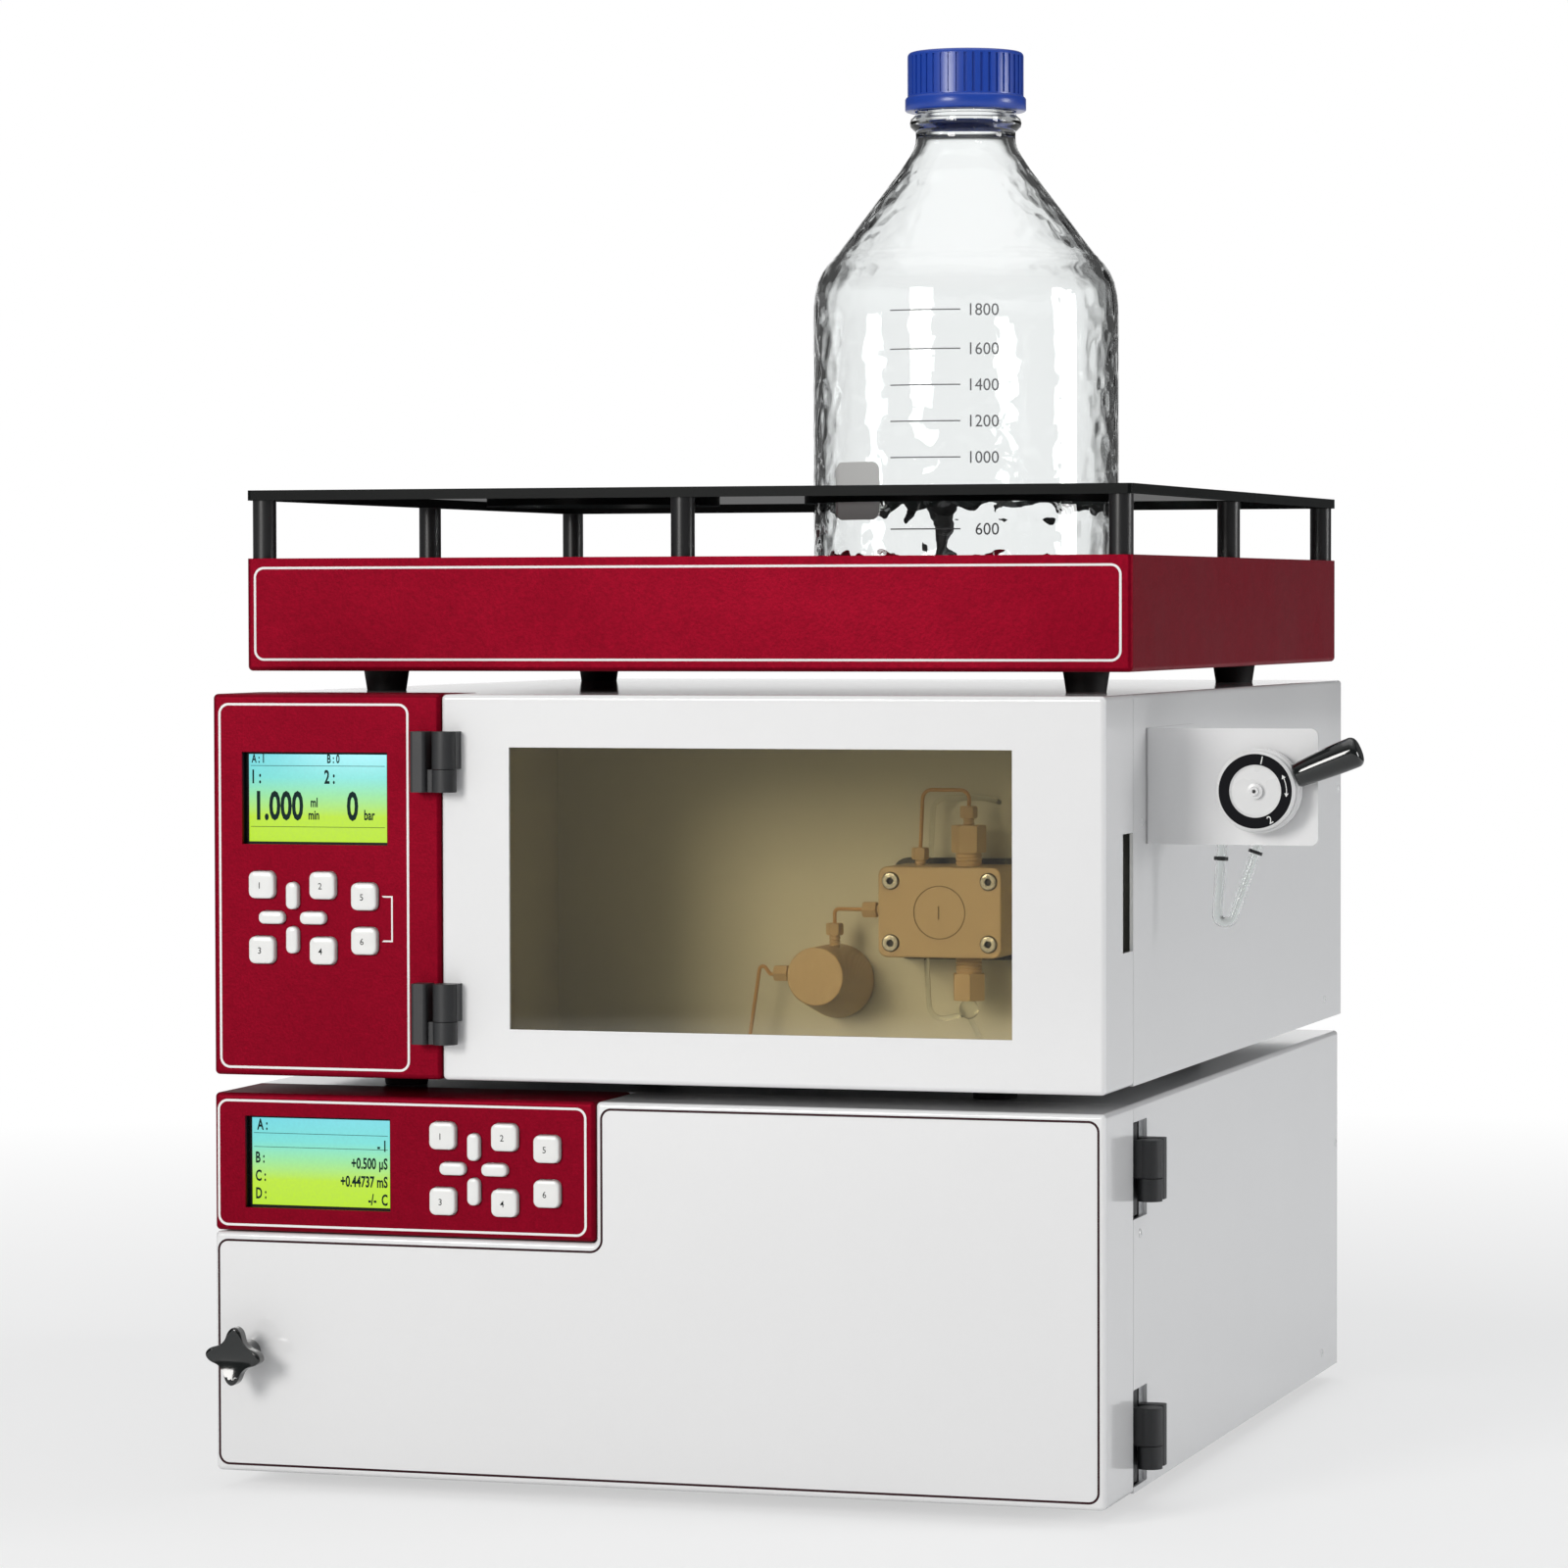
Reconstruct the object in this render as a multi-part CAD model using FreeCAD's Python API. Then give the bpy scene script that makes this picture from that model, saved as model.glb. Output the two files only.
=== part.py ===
import FreeCAD, Part
import math
import os

# A bench-top ion chromatograph: a detector and column-oven cabinet, a pump cabinet on top of it and a
# reagent tray with a bottle rail on top of both. All sizes are millimetres. While it is built, x runs
# right from the cabinets' left side, y runs back from the doors' front face and z runs up from the
# lower cabinet's bottom edge. The finished model is then moved so that its origin is the bottom
# centre of its bounding box.
V = FreeCAD.Vector

# Cabinets
CABINET_WIDTH = 383.0
CABINET_DEPTH = 457.5
UPPER_EXTRA_DEPTH = 8.0
LOWER_HEIGHT = 158.5
UPPER_HEIGHT = 159.0
FRONT_DEPTH = 47.0
SHEET = 1.5
SEAM = 0.5
BEND_RADIUS = 2.0
UPSTAND = 13.0
FOOT_HEIGHT = 7.5
FOOT_RADIUS = 10.0
FOOT_INSET = 62.0

# Control panels and keypads
UPPER_PANEL_WIDTH = 101.2
LOWER_PANEL_WIDTH = 168.0
LOWER_PANEL_HEIGHT = 57.6
DISPLAY_WIDTH = 64.8
DISPLAY_HEIGHT = 38.4
DISPLAY_DEPTH = 8.0
DISPLAY_BEZEL_DEPTH = 2.5
DISPLAY_BEZEL = 1.5
LOWER_DISPLAY_LEFT = 13.7
LOWER_DISPLAY_TOP = 9.4
UPPER_DISPLAY_LEFT = 13.1
UPPER_DISPLAY_TOP = 24.1
LOWER_PAD_LEFT = 115.8
LOWER_PAD_TOP = 29.0
UPPER_PAD_LEFT = 36.1
UPPER_PAD_TOP = 92.9
KEY_PITCH = 13.55
OVAL_PITCH = 9.2
SIDE_KEY_OFFSET = 32.0
KEY_SIZE = 11.3
KEY_CORNER = 2.7
OVAL_LENGTH = 11.2
OVAL_WIDTH = 5.2
KEY_PROUD = 3.0
KEY_EDGE = 1.0
KEY_CLEARANCE = 0.3
KEY_FLANGE = 0.9
KEY_FLANGE_THICKNESS = 1.0
KEY_TRAVEL = 1.2
BOARD_GAP = 0.4
BOARD_THICKNESS = 1.6
BOARD_MARGIN = 6.0
SPACER_RADIUS = 2.5

# Doors
WINDOW_LEFT_MARGIN = 29.6
WINDOW_RIGHT_MARGIN = 38.3
WINDOW_TOP_MARGIN = 21.6
WINDOW_BOTTOM_MARGIN = 21.5
WINDOW_LAP = 10.0
WINDOW_THICKNESS = 3.0
FINGER_SLOT_DEPTH = 17.2
FINGER_SLOT_HEIGHT = 48.0
FINGER_SLOT_TOP = 56.0
JAMB_GAP = 6.0

# Lift-off hinges: u runs from the fixed half to the door, w stands proud of the face
HINGE_HEIGHT = 25.0
KNUCKLE_HEIGHT = 9.3
KNUCKLE_GAP = 0.3
KNUCKLE_RADIUS = 5.1
HINGE_AXIS_PROUD = 5.5
HINGE_PIN_RADIUS = 2.0
HINGE_PIN_CLEARANCE = 0.05
HINGE_PIN_REACH = 11.0
STRIP_NEAR = 7.0
STRIP_WIDTH = 7.0
STRIP_PROUD = 9.5
STRIP_WEB = 3.0
PAD_REACH = 5.4
PAD_PROUD = 6.0
UPPER_AXIS_FROM_SEAM = 3.4
UPPER_HINGE_INSET = 27.6
LOWER_AXIS_BEHIND_SEAM = 6.2
LOWER_HINGE_TOP_INSET = 27.1
LOWER_HINGE_BOTTOM_INSET = 22.2
LEAF_PAD_REACH = 4.4
NOTCH_DEPTH = 23.5
NOTCH_HALF_HEIGHT = 19.8
LEAF_LAP = 16.0
LEAF_TAIL = 6.3
LEAF_CLEARANCE = 1.0
POST_SETBACK = 3.0
POST_WIDTH = 18.0

# Star knob and its captive screw
KNOB_FROM_LEFT = 15.4
KNOB_FROM_BOTTOM = 50.5
KNOB_RADIUS = 12.2
KNOB_LOBES = 4
KNOB_WAIST_RADIUS = 7.4
KNOB_TURN = 4.0
KNOB_DISH_RADIUS = 30.0
KNOB_DISH_DEPTH = 1.6
KNOB_THICKNESS = 6.5
KNOB_HUB_RADIUS = 6.2
KNOB_HUB_LENGTH = 12.7
KNOB_GAP = 0.3
SCREW_RADIUS = 2.5
SCREW_CLEARANCE = 0.08
LATCH_GAP = 0.4
LATCH_BOSS_RADIUS = 7.0
LATCH_BOSS_LENGTH = 9.0

# Pump compartment
BULKHEAD_DEPTH = 146.0
HEAD_FROM_RIGHT = 99.1
HEAD_FROM_BOTTOM = 65.8
HEAD_WIDTH = 53.8
HEAD_HEIGHT = 38.4
HEAD_DEPTH = 30.7
HEAD_CORNER = 4.0
HEAD_EDGE = 0.8
HEAD_RING_RADIUS = 10.9
HEAD_RING_WIDTH = 0.5
HEAD_RING_DEPTH = 0.3
SCREW_PITCH_X = 42.8
SCREW_PITCH_Z = 26.3
SCREW_HEAD_RADIUS = 3.5
SCREW_HEAD_HEIGHT = 3.6
SCREW_HEAD_SINK = 2.4
SCREW_WELL_CLEARANCE = 0.35
SCREW_SOCKET_RADIUS = 1.7
SCREW_SOCKET_DEPTH = 2.0
SCREW_SHANK_RADIUS = 2.0
FLANGE_LIP = 2.4
FLANGE_THICKNESS = 4.6
FLANGE_CORNER = 7.0
MOTOR_SIDE = 56.0
MOTOR_LENGTH = 120.0
MOTOR_CORNER = 6.0
MOTOR_NECK_RADIUS = 16.0
MOTOR_NECK_CLEARANCE = 0.2
PORT_FROM_FRONT = 15.3
CHECK_VALVE_X = 8.7
CHECK_HEX_FLATS = 12.8
CHECK_TOP_NECK = 5.6
CHECK_TOP_HEX = 11.6
CHECK_NUT_NECK = 3.0
CHECK_BOTTOM_NECK = 7.2
CHECK_BOTTOM_HEX = 11.4
CHECK_NECK_RADIUS = 5.6
THREAD_RIDGE = 0.5
THREAD_PITCH = 1.5
FERRULE_RADIUS = 4.2
NUT_FLATS = 6.4
NUT_LENGTH = 5.1
NUT_NECK_RADIUS = 2.4
OUTLET_X = -12.6
OUTLET_NECK = 2.4
SIDE_NUT_LENGTH = 6.0
SIDE_NUT_NECK = 4.8
CAPILLARY_RADIUS = 0.8
CAPILLARY_BEND = 4.0
CAPILLARY_ARCH = 32.0
CLEAR_TUBE_RADIUS = 1.1
CLEAR_TUBE_BEND = 6.0
TUBE_END_LAP = 1.0
DAMPER_X = -54.6
DAMPER_Z = -27.9
DAMPER_FRONT_RADIUS = 12.4
DAMPER_REAR_RADIUS = 16.0
DAMPER_DROP = 3.8
DAMPER_LENGTH = 36.0
DAMPER_COLLAR = 4.0
DAMPER_EDGE = 0.8
DAMPER_PORT_SETBACK = 18.0
DAMPER_PORT_X = 3.4
DAMPER_PORT_SINK = 1.3
DAMPER_NECK = 5.6
DAMPER_SIDE_NECK = 4.2

# Injection valve on its bracket
BRACKET_SETBACK = 69.0
BRACKET_REACH = 70.0
BRACKET_HEIGHT = 47.5
BRACKET_TOP_INSET = 14.0
BRACKET_FLANGE = 80.0
BRACKET_BEND = 3.0
BRACKET_CORNER = 3.0
DIAL_FROM_SIDE = 48.6
DIAL_FROM_TOP = 25.1
DIAL_FRONT = 14.0
DIAL_RADIUS = 16.2
DIAL_THICKNESS = 3.2
DIAL_RIM = 1.0
DIAL_DISH_RADIUS = 10.8
DIAL_DISH_DEPTH = 0.6
NEEDLE_PORT_RADIUS = 3.2
NEEDLE_PORT_LENGTH = 3.2
NEEDLE_BORE_RADIUS = 0.8
VALVE_NECK_RADIUS = 7.0
LEVER_HUB_RADIUS = 17.2
LEVER_HUB_LENGTH = 7.6
LEVER_HUB_GAP = 0.4
LEVER_BORE_CLEARANCE = 0.08
LEVER_ANGLE = 22.0
LEVER_ROD_RADIUS = 2.5
GRIP_BORE_CLEARANCE = 0.1
GRIP_SEAT_CLEARANCE = 0.3
GRIP_START = 16.6
GRIP_LENGTH = 28.0
GRIP_INNER_RADIUS = 5.1
GRIP_OUTER_RADIUS = 6.3
GRIP_ROUND = 2.6
VALVE_BODY_RADIUS = 17.5
VALVE_BODY_LENGTH = 24.0
VALVE_STATOR_RADIUS = 15.0
VALVE_STATOR_LENGTH = 14.0
VALVE_PORT_COUNT = 6
VALVE_PORT_CIRCLE = 8.5
VALVE_PORT_RADIUS = 3.0
VALVE_PORT_LENGTH = 9.0
LOOP_TUBE_RADIUS = 2.2
LOOP_TUBE_BORE = 1.5
LOOP_CLAMP_RADIUS = 3.0
LOOP_CLAMP_LENGTH = 1.4

# Oven
OVEN_WALL = 4.0
OVEN_FRONT = 6.0
OVEN_DEPTH = 150.0
OVEN_LEFT = 36.0
OVEN_RIGHT_GAP = 9.0
OVEN_TOP_GAP = 6.0
OVEN_STEP_GAP = 6.5
HEATER_LEFT = 205.0
HEATER_LENGTH = 130.0
HEATER_DEPTH = 30.0
HEATER_HEIGHT = 40.0
HEATER_FROM_FLOOR = 26.0
COLUMN_RADIUS = 8.0
COLUMN_END_RADIUS = 10.5
COLUMN_END_LENGTH = 13.0
CELL_WIDTH = 46.0
CELL_HEIGHT = 30.0
CELL_DEPTH = 38.0
CELL_ABOVE_HEATER = 14.0
CELL_PORT_RADIUS = 5.0
CELL_PORT_LENGTH = 8.0

# Tray, rail and bottle
TRAY_OVERHANG = 1.65
TRAY_SHIFT = -2.0
TRAY_SETBACK = 46.5
TRAY_BACK_INSET = 11.8
TRAY_HEIGHT = 47.7
TRAY_RIM = 13.0
TRAY_FOOT_HEIGHT = 9.0
TRAY_FOOT_TOP_RADIUS = 9.9
TRAY_FOOT_BOTTOM_RADIUS = 8.5
TRAY_FOOT_INSET_X = 35.3
TRAY_FOOT_INSET_Y = 63.0
POST_HEIGHT = 24.6
POST_RADIUS = 5.0
POST_INSET = 5.9
RAIL_THICKNESS = 4.3
RAIL_CORNER = 2.0
BOTTLE_RADIUS = 68.0
BOTTLE_HOLE_GAP = 4.0
BOTTLE_FROM_RIGHT = 125.4
BOTTLE_WALL = 3.2
BOTTLE_HEEL = 9.0
BOTTLE_BODY_HEIGHT = 156.0
BOTTLE_SHOULDER_RADIUS = 59.0
BOTTLE_SHOULDER_HEIGHT = 179.0
BOTTLE_NECK_RADIUS = 22.2
BOTTLE_NECK_START = 230.0
BOTTLE_BEAD_RADIUS = 24.9
BOTTLE_BEAD_HEIGHT = 239.5
BOTTLE_MOUTH_RADIUS = 16.5
BOTTLE_HEIGHT = 268.4
SPARE_HOLE_RADIUS = 53.0
SPARE_HOLE_FROM_LEFT = 90.0
CAP_HEIGHT = 26.1
CAP_RADIUS = 25.8
CAP_SKIRT_RADIUS = 26.9
CAP_SKIRT_HEIGHT = 6.5
CAP_TOP = 2.5
CAP_CLEARANCE = 0.4
CAP_RIBS = 44
CAP_RIB_DEPTH = 0.7

# Rear inlets and switches
INLET_WIDTH = 50.0
INLET_HEIGHT = 30.0
INLET_LEFT = 30.0
INLET_FROM_BOTTOM = 34.0
INLET_FLANGE = 2.0
INLET_BODY_DEPTH = 26.0
INLET_LAP = 3.0
SOCKET_WIDTH = 24.0
SOCKET_HEIGHT = 16.5
SOCKET_DEPTH = 16.0
SOCKET_CHAMFER = 4.0
PIN_LENGTH = 12.0
ROCKER_WIDTH = 10.0
ROCKER_RADIUS = 8.0
ROCKER_CLEARANCE = 0.3
ROCKER_TILT = 10.0
ROCKER_FACET = 12.0
ROCKER_PIN_RADIUS = 1.2
ROCKER_PIN_LENGTH = 1.5
ROCKER_PIN_CLEARANCE = 0.05
VENT_COUNT = 12
VENT_WIDTH = 3.0
VENT_HEIGHT = 60.0
VENT_PITCH = 9.0
VENT_RIGHT = 40.0

# Places worked out from the sizes above
UPPER_DEPTH = CABINET_DEPTH + UPPER_EXTRA_DEPTH
UPPER_BOTTOM = LOWER_HEIGHT + FOOT_HEIGHT
UPPER_TOP = UPPER_BOTTOM + UPPER_HEIGHT
LOWER_PANEL_BOTTOM = LOWER_HEIGHT - LOWER_PANEL_HEIGHT
TRAY_LEFT = TRAY_SHIFT - TRAY_OVERHANG
TRAY_RIGHT = CABINET_WIDTH + TRAY_OVERHANG + TRAY_SHIFT
TRAY_BACK = UPPER_DEPTH - TRAY_BACK_INSET
TRAY_BOTTOM = UPPER_TOP + TRAY_FOOT_HEIGHT
TRAY_TOP = TRAY_BOTTOM + TRAY_HEIGHT
RAIL_BOTTOM = TRAY_TOP + POST_HEIGHT
RAIL_TOP = RAIL_BOTTOM + RAIL_THICKNESS
BOTTLE_X = TRAY_RIGHT - BOTTLE_FROM_RIGHT
BOTTLE_Y = (TRAY_SETBACK + TRAY_BACK) / 2
BOTTLE_BASE = TRAY_BOTTOM + SHEET
HEAD_X = CABINET_WIDTH - HEAD_FROM_RIGHT
HEAD_Z = UPPER_BOTTOM + HEAD_FROM_BOTTOM
HEAD_BACK = BULKHEAD_DEPTH - FLANGE_THICKNESS
HEAD_FRONT = HEAD_BACK - HEAD_DEPTH
PORT_Y = HEAD_FRONT + PORT_FROM_FRONT
DAMPER_CENTRE_X = HEAD_X + DAMPER_X
DAMPER_CENTRE_Z = HEAD_Z + DAMPER_Z
DAMPER_PORT_Y = BULKHEAD_DEPTH - DAMPER_PORT_SETBACK
DIAL_X = CABINET_WIDTH + DIAL_FROM_SIDE
DIAL_Z = UPPER_TOP - BRACKET_TOP_INSET - DIAL_FROM_TOP
DIAL_Y = BRACKET_SETBACK - DIAL_FRONT
BRACKET_BACK = BRACKET_SETBACK + SHEET
UPPER_AXIS_X = UPPER_PANEL_WIDTH + SEAM + UPPER_AXIS_FROM_SEAM
UPPER_AXIS_Y = -HINGE_AXIS_PROUD
LOWER_AXIS_X = CABINET_WIDTH + HINGE_AXIS_PROUD
LOWER_AXIS_Y = FRONT_DEPTH + LOWER_AXIS_BEHIND_SEAM
UPPER_HINGES = (UPPER_BOTTOM + UPPER_HINGE_INSET, UPPER_TOP - UPPER_HINGE_INSET)
LOWER_HINGES = (LOWER_HINGE_BOTTOM_INSET, LOWER_HEIGHT - LOWER_HINGE_TOP_INSET)
BOARD_Y = SHEET + KEY_FLANGE_THICKNESS + KEY_TRAVEL + BOARD_GAP
CELL_BOTTOM = SHEET + OVEN_WALL + HEATER_FROM_FLOOR + HEATER_HEIGHT + CELL_ABOVE_HEATER


def box(x0, x1, y0, y1, z0, z1):
    """A block between two corners."""
    return Part.makeBox(x1 - x0, y1 - y0, z1 - z0, V(x0, y0, z0))


def fuse(shapes):
    """One solid from touching or crossing shapes, with its seams removed."""
    return shapes[0].multiFuse(shapes[1:]).removeSplitter()


def polygon(points):
    """A closed wire through the points."""
    return Part.makePolygon([*points, points[0]])


def prism(points, direction):
    """A block with the outline through the points, extruded along a vector."""
    return Part.Face(polygon(points)).extrude(direction)


def front_outline(corners, y):
    """Turns (x, z) corners into points on the plane at depth y."""
    return [V(x, y, z) for x, z in corners]


def rounded_front(x0, x1, z0, z1, radius, y0, y1):
    """A plate facing front whose four corners, seen from the front, are round."""
    plate = box(x0, x1, y0, y1, z0, z1)
    corners = [edge for edge in plate.Edges if edge.tangentAt(edge.FirstParameter).cross(V(0, 1, 0)).Length < 1e-6]
    return plate.makeFillet(radius, corners)


def stadium_front(x, z, length, width, y0, y1, upright):
    """A plate facing front with two half-round ends."""
    half_length = length / 2
    half_width = width / 2
    if upright:
        return rounded_front(x - half_width, x + half_width, z - half_length, z + half_length,
                             half_width - 0.01, y0, y1)
    return rounded_front(x - half_length, x + half_length, z - half_width, z + half_width,
                         half_width - 0.01, y0, y1)


def cylinder(x, y, z, radius, length, axis):
    """A round bar that starts at a point and runs along an axis."""
    return Part.makeCylinder(radius, length, V(x, y, z), axis)


def hexagon(x, y, z, flats, length, axis, turn):
    """A hexagon bar, its size given across the flats."""
    radius = flats / math.sqrt(3)
    points = [V(radius * math.cos(math.radians(turn + 60 * i)), radius * math.sin(math.radians(turn + 60 * i)), 0)
              for i in range(6)]
    bar = prism(points, V(0, 0, length))
    cone_low = Part.makeCone(radius - 0.5, radius + length, length + 0.5, V(0, 0, 0), V(0, 0, 1))
    cone_high = Part.makeCone(radius - 0.5, radius + length, length + 0.5, V(0, 0, length), V(0, 0, -1))
    bar = bar.common(cone_low).common(cone_high)
    bar.Placement = FreeCAD.Placement(V(x, y, z), FreeCAD.Rotation(V(0, 0, 1), axis))
    return bar


def threaded_neck(x, y, z, radius, length, axis):
    """A round neck with shallow ridges, the look of a coarse thread."""
    ridges = int(length / THREAD_PITCH)
    start = (length - ridges * THREAD_PITCH) / 2
    outline = [V(0, 0, 0), V(radius - THREAD_RIDGE, 0, 0)]
    for i in range(ridges):
        low = start + i * THREAD_PITCH
        outline.append(V(radius - THREAD_RIDGE, 0, low + 0.01))
        outline.append(V(radius, 0, low + THREAD_PITCH * 0.35))
        outline.append(V(radius, 0, low + THREAD_PITCH * 0.65))
    outline.append(V(radius - THREAD_RIDGE, 0, length))
    outline.append(V(0, 0, length))
    neck = Part.Face(polygon(outline)).revolve(V(0, 0, 0), V(0, 0, 1), 360)
    neck.Placement = FreeCAD.Placement(V(x, y, z), FreeCAD.Rotation(V(0, 0, 1), axis))
    return neck


def tube(points, bend, radius, bore=0.0):
    """A round tube along straight runs that are joined by tangent arcs."""
    edges = []
    start = points[0]
    for i in range(1, len(points) - 1):
        corner = points[i]
        back = (points[i - 1] - corner).normalize()
        ahead = (points[i + 1] - corner).normalize()
        half = back.getAngle(ahead) / 2
        reach = bend / math.tan(half)
        enter = corner + back * reach
        leave = corner + ahead * reach
        to_centre = (back + ahead).normalize()
        centre = corner + to_centre * (bend / math.sin(half))
        middle = centre - to_centre * bend
        edges.append(Part.LineSegment(start, enter).toShape())
        edges.append(Part.Arc(enter, middle, leave).toShape())
        start = leave
    edges.append(Part.LineSegment(start, points[-1]).toShape())
    path = Part.Wire(edges)
    ring = Part.Wire(Part.makeCircle(radius, points[0], points[1] - points[0]))
    outer = path.makePipeShell([ring], True, False)
    if not bore:
        return outer
    inner_ring = Part.Wire(Part.makeCircle(bore, points[0], points[1] - points[0]))
    return outer.cut(path.makePipeShell([inner_ring], True, False))


def revolved(profile, x, y, z, axis):
    """A turned piece: profile holds (radius, distance along the axis) corners."""
    piece = Part.Face(polygon([V(r, 0, h) for r, h in profile])).revolve(V(0, 0, 0), V(0, 0, 1), 360)
    piece.Placement = FreeCAD.Placement(V(x, y, z), FreeCAD.Rotation(V(0, 0, 1), axis))
    return piece


def front_pan(corners, depth):
    """A folded sheet pan, open at the back, whose front face has the outline given as (x, z) corners."""
    outline = polygon(front_outline(corners, 0))
    outer = Part.Face(outline).extrude(V(0, depth, 0))
    folds = []
    for edge in outer.Edges:
        along = edge.tangentAt(edge.FirstParameter)
        at_front = max(vertex.Y for vertex in edge.Vertexes) < 1e-6
        if at_front or along.cross(V(0, 1, 0)).Length < 1e-6:
            folds.append(edge)
    outer = outer.makeFillet(BEND_RADIUS, folds)
    inner_wire = outline.makeOffset2D(-SHEET, 2)
    if inner_wire.BoundBox.XLength > outline.BoundBox.XLength:
        inner_wire = outline.makeOffset2D(SHEET, 2)
    hollow = Part.Face(inner_wire).extrude(V(0, FRONT_DEPTH, 0))
    hollow.translate(V(0, SHEET, 0))
    return outer.cut(hollow)


def key_places(pad_x, pad_z):
    """Yields name, x, z and shape of each of a keypad's ten keys."""
    places = [
        ("1", -KEY_PITCH, KEY_PITCH, "square"),
        ("2", KEY_PITCH, KEY_PITCH, "square"),
        ("3", -KEY_PITCH, -KEY_PITCH, "square"),
        ("4", KEY_PITCH, -KEY_PITCH, "square"),
        ("5", SIDE_KEY_OFFSET, OVAL_PITCH, "square"),
        ("6", SIDE_KEY_OFFSET, -OVAL_PITCH, "square"),
        ("up", 0, OVAL_PITCH, "upright"),
        ("down", 0, -OVAL_PITCH, "upright"),
        ("left", -OVAL_PITCH, 0, "level"),
        ("right", OVAL_PITCH, 0, "level"),
    ]
    return [(name, pad_x + dx, pad_z + dz, shape) for name, dx, dz, shape in places]


def key_plate(x, z, shape, grow, y0, y1):
    """A key's outline as a plate, grown on every side."""
    if shape == "square":
        half = KEY_SIZE / 2 + grow
        return rounded_front(x - half, x + half, z - half, z + half, KEY_CORNER + grow, y0, y1)
    return stadium_front(x, z, OVAL_LENGTH + 2 * grow, OVAL_WIDTH + 2 * grow, y0, y1, shape == "upright")


def key(x, z, shape):
    """A key cap with a soft edge, and the flange behind the panel that keeps it in."""
    cap = key_plate(x, z, shape, 0, -KEY_PROUD, SHEET + 0.5)
    rim = [edge for edge in cap.Edges if max(vertex.Y for vertex in edge.Vertexes) < -KEY_PROUD + 1e-6]
    cap = cap.makeFillet(KEY_EDGE, rim)
    flange = key_plate(x, z, shape, KEY_FLANGE, SHEET, SHEET + KEY_FLANGE_THICKNESS)
    return fuse([cap, flange])


def control_panel(corners, display_left, display_top, pad_x, pad_z, top):
    """A red front pan with the display's opening and the key holes."""
    pan = front_pan(corners, FRONT_DEPTH)
    cutters = [box(display_left, display_left + DISPLAY_WIDTH, -1, SHEET + 1,
                   top - display_top - DISPLAY_HEIGHT, top - display_top)]
    for _, x, z, shape in key_places(pad_x, pad_z):
        cutters.append(key_plate(x, z, shape, KEY_CLEARANCE, -1, SHEET + 1))
    return pan.cut(Part.makeCompound(cutters))


def lower_control_panel():
    """The lower cabinet's red panel, at its top left."""
    corners = [(0, LOWER_PANEL_BOTTOM), (LOWER_PANEL_WIDTH, LOWER_PANEL_BOTTOM),
               (LOWER_PANEL_WIDTH, LOWER_HEIGHT), (0, LOWER_HEIGHT)]
    return control_panel(corners, LOWER_DISPLAY_LEFT, LOWER_DISPLAY_TOP,
                         LOWER_PAD_LEFT, LOWER_HEIGHT - LOWER_PAD_TOP, LOWER_HEIGHT)


def pump_control_panel():
    """The upper cabinet's red panel, left of the pump door."""
    corners = [(0, UPPER_BOTTOM), (UPPER_PANEL_WIDTH, UPPER_BOTTOM),
               (UPPER_PANEL_WIDTH, UPPER_TOP), (0, UPPER_TOP)]
    return control_panel(corners, UPPER_DISPLAY_LEFT, UPPER_DISPLAY_TOP,
                         UPPER_PAD_LEFT, UPPER_TOP - UPPER_PAD_TOP, UPPER_TOP)


def display_board(x0, x1, z0, z1, display_left, display_top):
    """A circuit board on four spacers behind a panel, with the display module in its cut-out."""
    left = x0 + BOARD_MARGIN
    right = x1 - BOARD_MARGIN
    low = z0 + BOARD_MARGIN
    high = z1 - BOARD_MARGIN
    glass_left = display_left - DISPLAY_BEZEL
    glass_right = display_left + DISPLAY_WIDTH + DISPLAY_BEZEL
    glass_high = z1 - display_top + DISPLAY_BEZEL
    glass_low = z1 - display_top - DISPLAY_HEIGHT - DISPLAY_BEZEL
    module = box(glass_left, glass_right, SHEET, SHEET + DISPLAY_DEPTH, glass_low, glass_high)
    recess = box(display_left, display_left + DISPLAY_WIDTH, 0, SHEET + DISPLAY_BEZEL_DEPTH,
                 glass_low + DISPLAY_BEZEL, glass_high - DISPLAY_BEZEL)
    board = box(left, right, BOARD_Y, BOARD_Y + BOARD_THICKNESS, low, high)
    window = box(glass_left, glass_right, 0, FRONT_DEPTH, glass_low, glass_high)
    solids = [module.cut(recess), board.cut(window)]
    for x in (left + SPACER_RADIUS, right - SPACER_RADIUS):
        for z in (low + SPACER_RADIUS, high - SPACER_RADIUS):
            solids.append(cylinder(x, SHEET, z, SPACER_RADIUS, BOARD_Y - SHEET, V(0, 1, 0)))
    return solids


def display_boards():
    """Both cabinets' boards and displays, seated on the panels' inner faces."""
    lower = display_board(0, LOWER_PANEL_WIDTH, LOWER_PANEL_BOTTOM, LOWER_HEIGHT,
                          LOWER_DISPLAY_LEFT, LOWER_DISPLAY_TOP)
    upper = display_board(0, UPPER_PANEL_WIDTH, UPPER_BOTTOM, UPPER_TOP,
                          UPPER_DISPLAY_LEFT, UPPER_DISPLAY_TOP)
    return Part.makeCompound(lower + upper)


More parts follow.
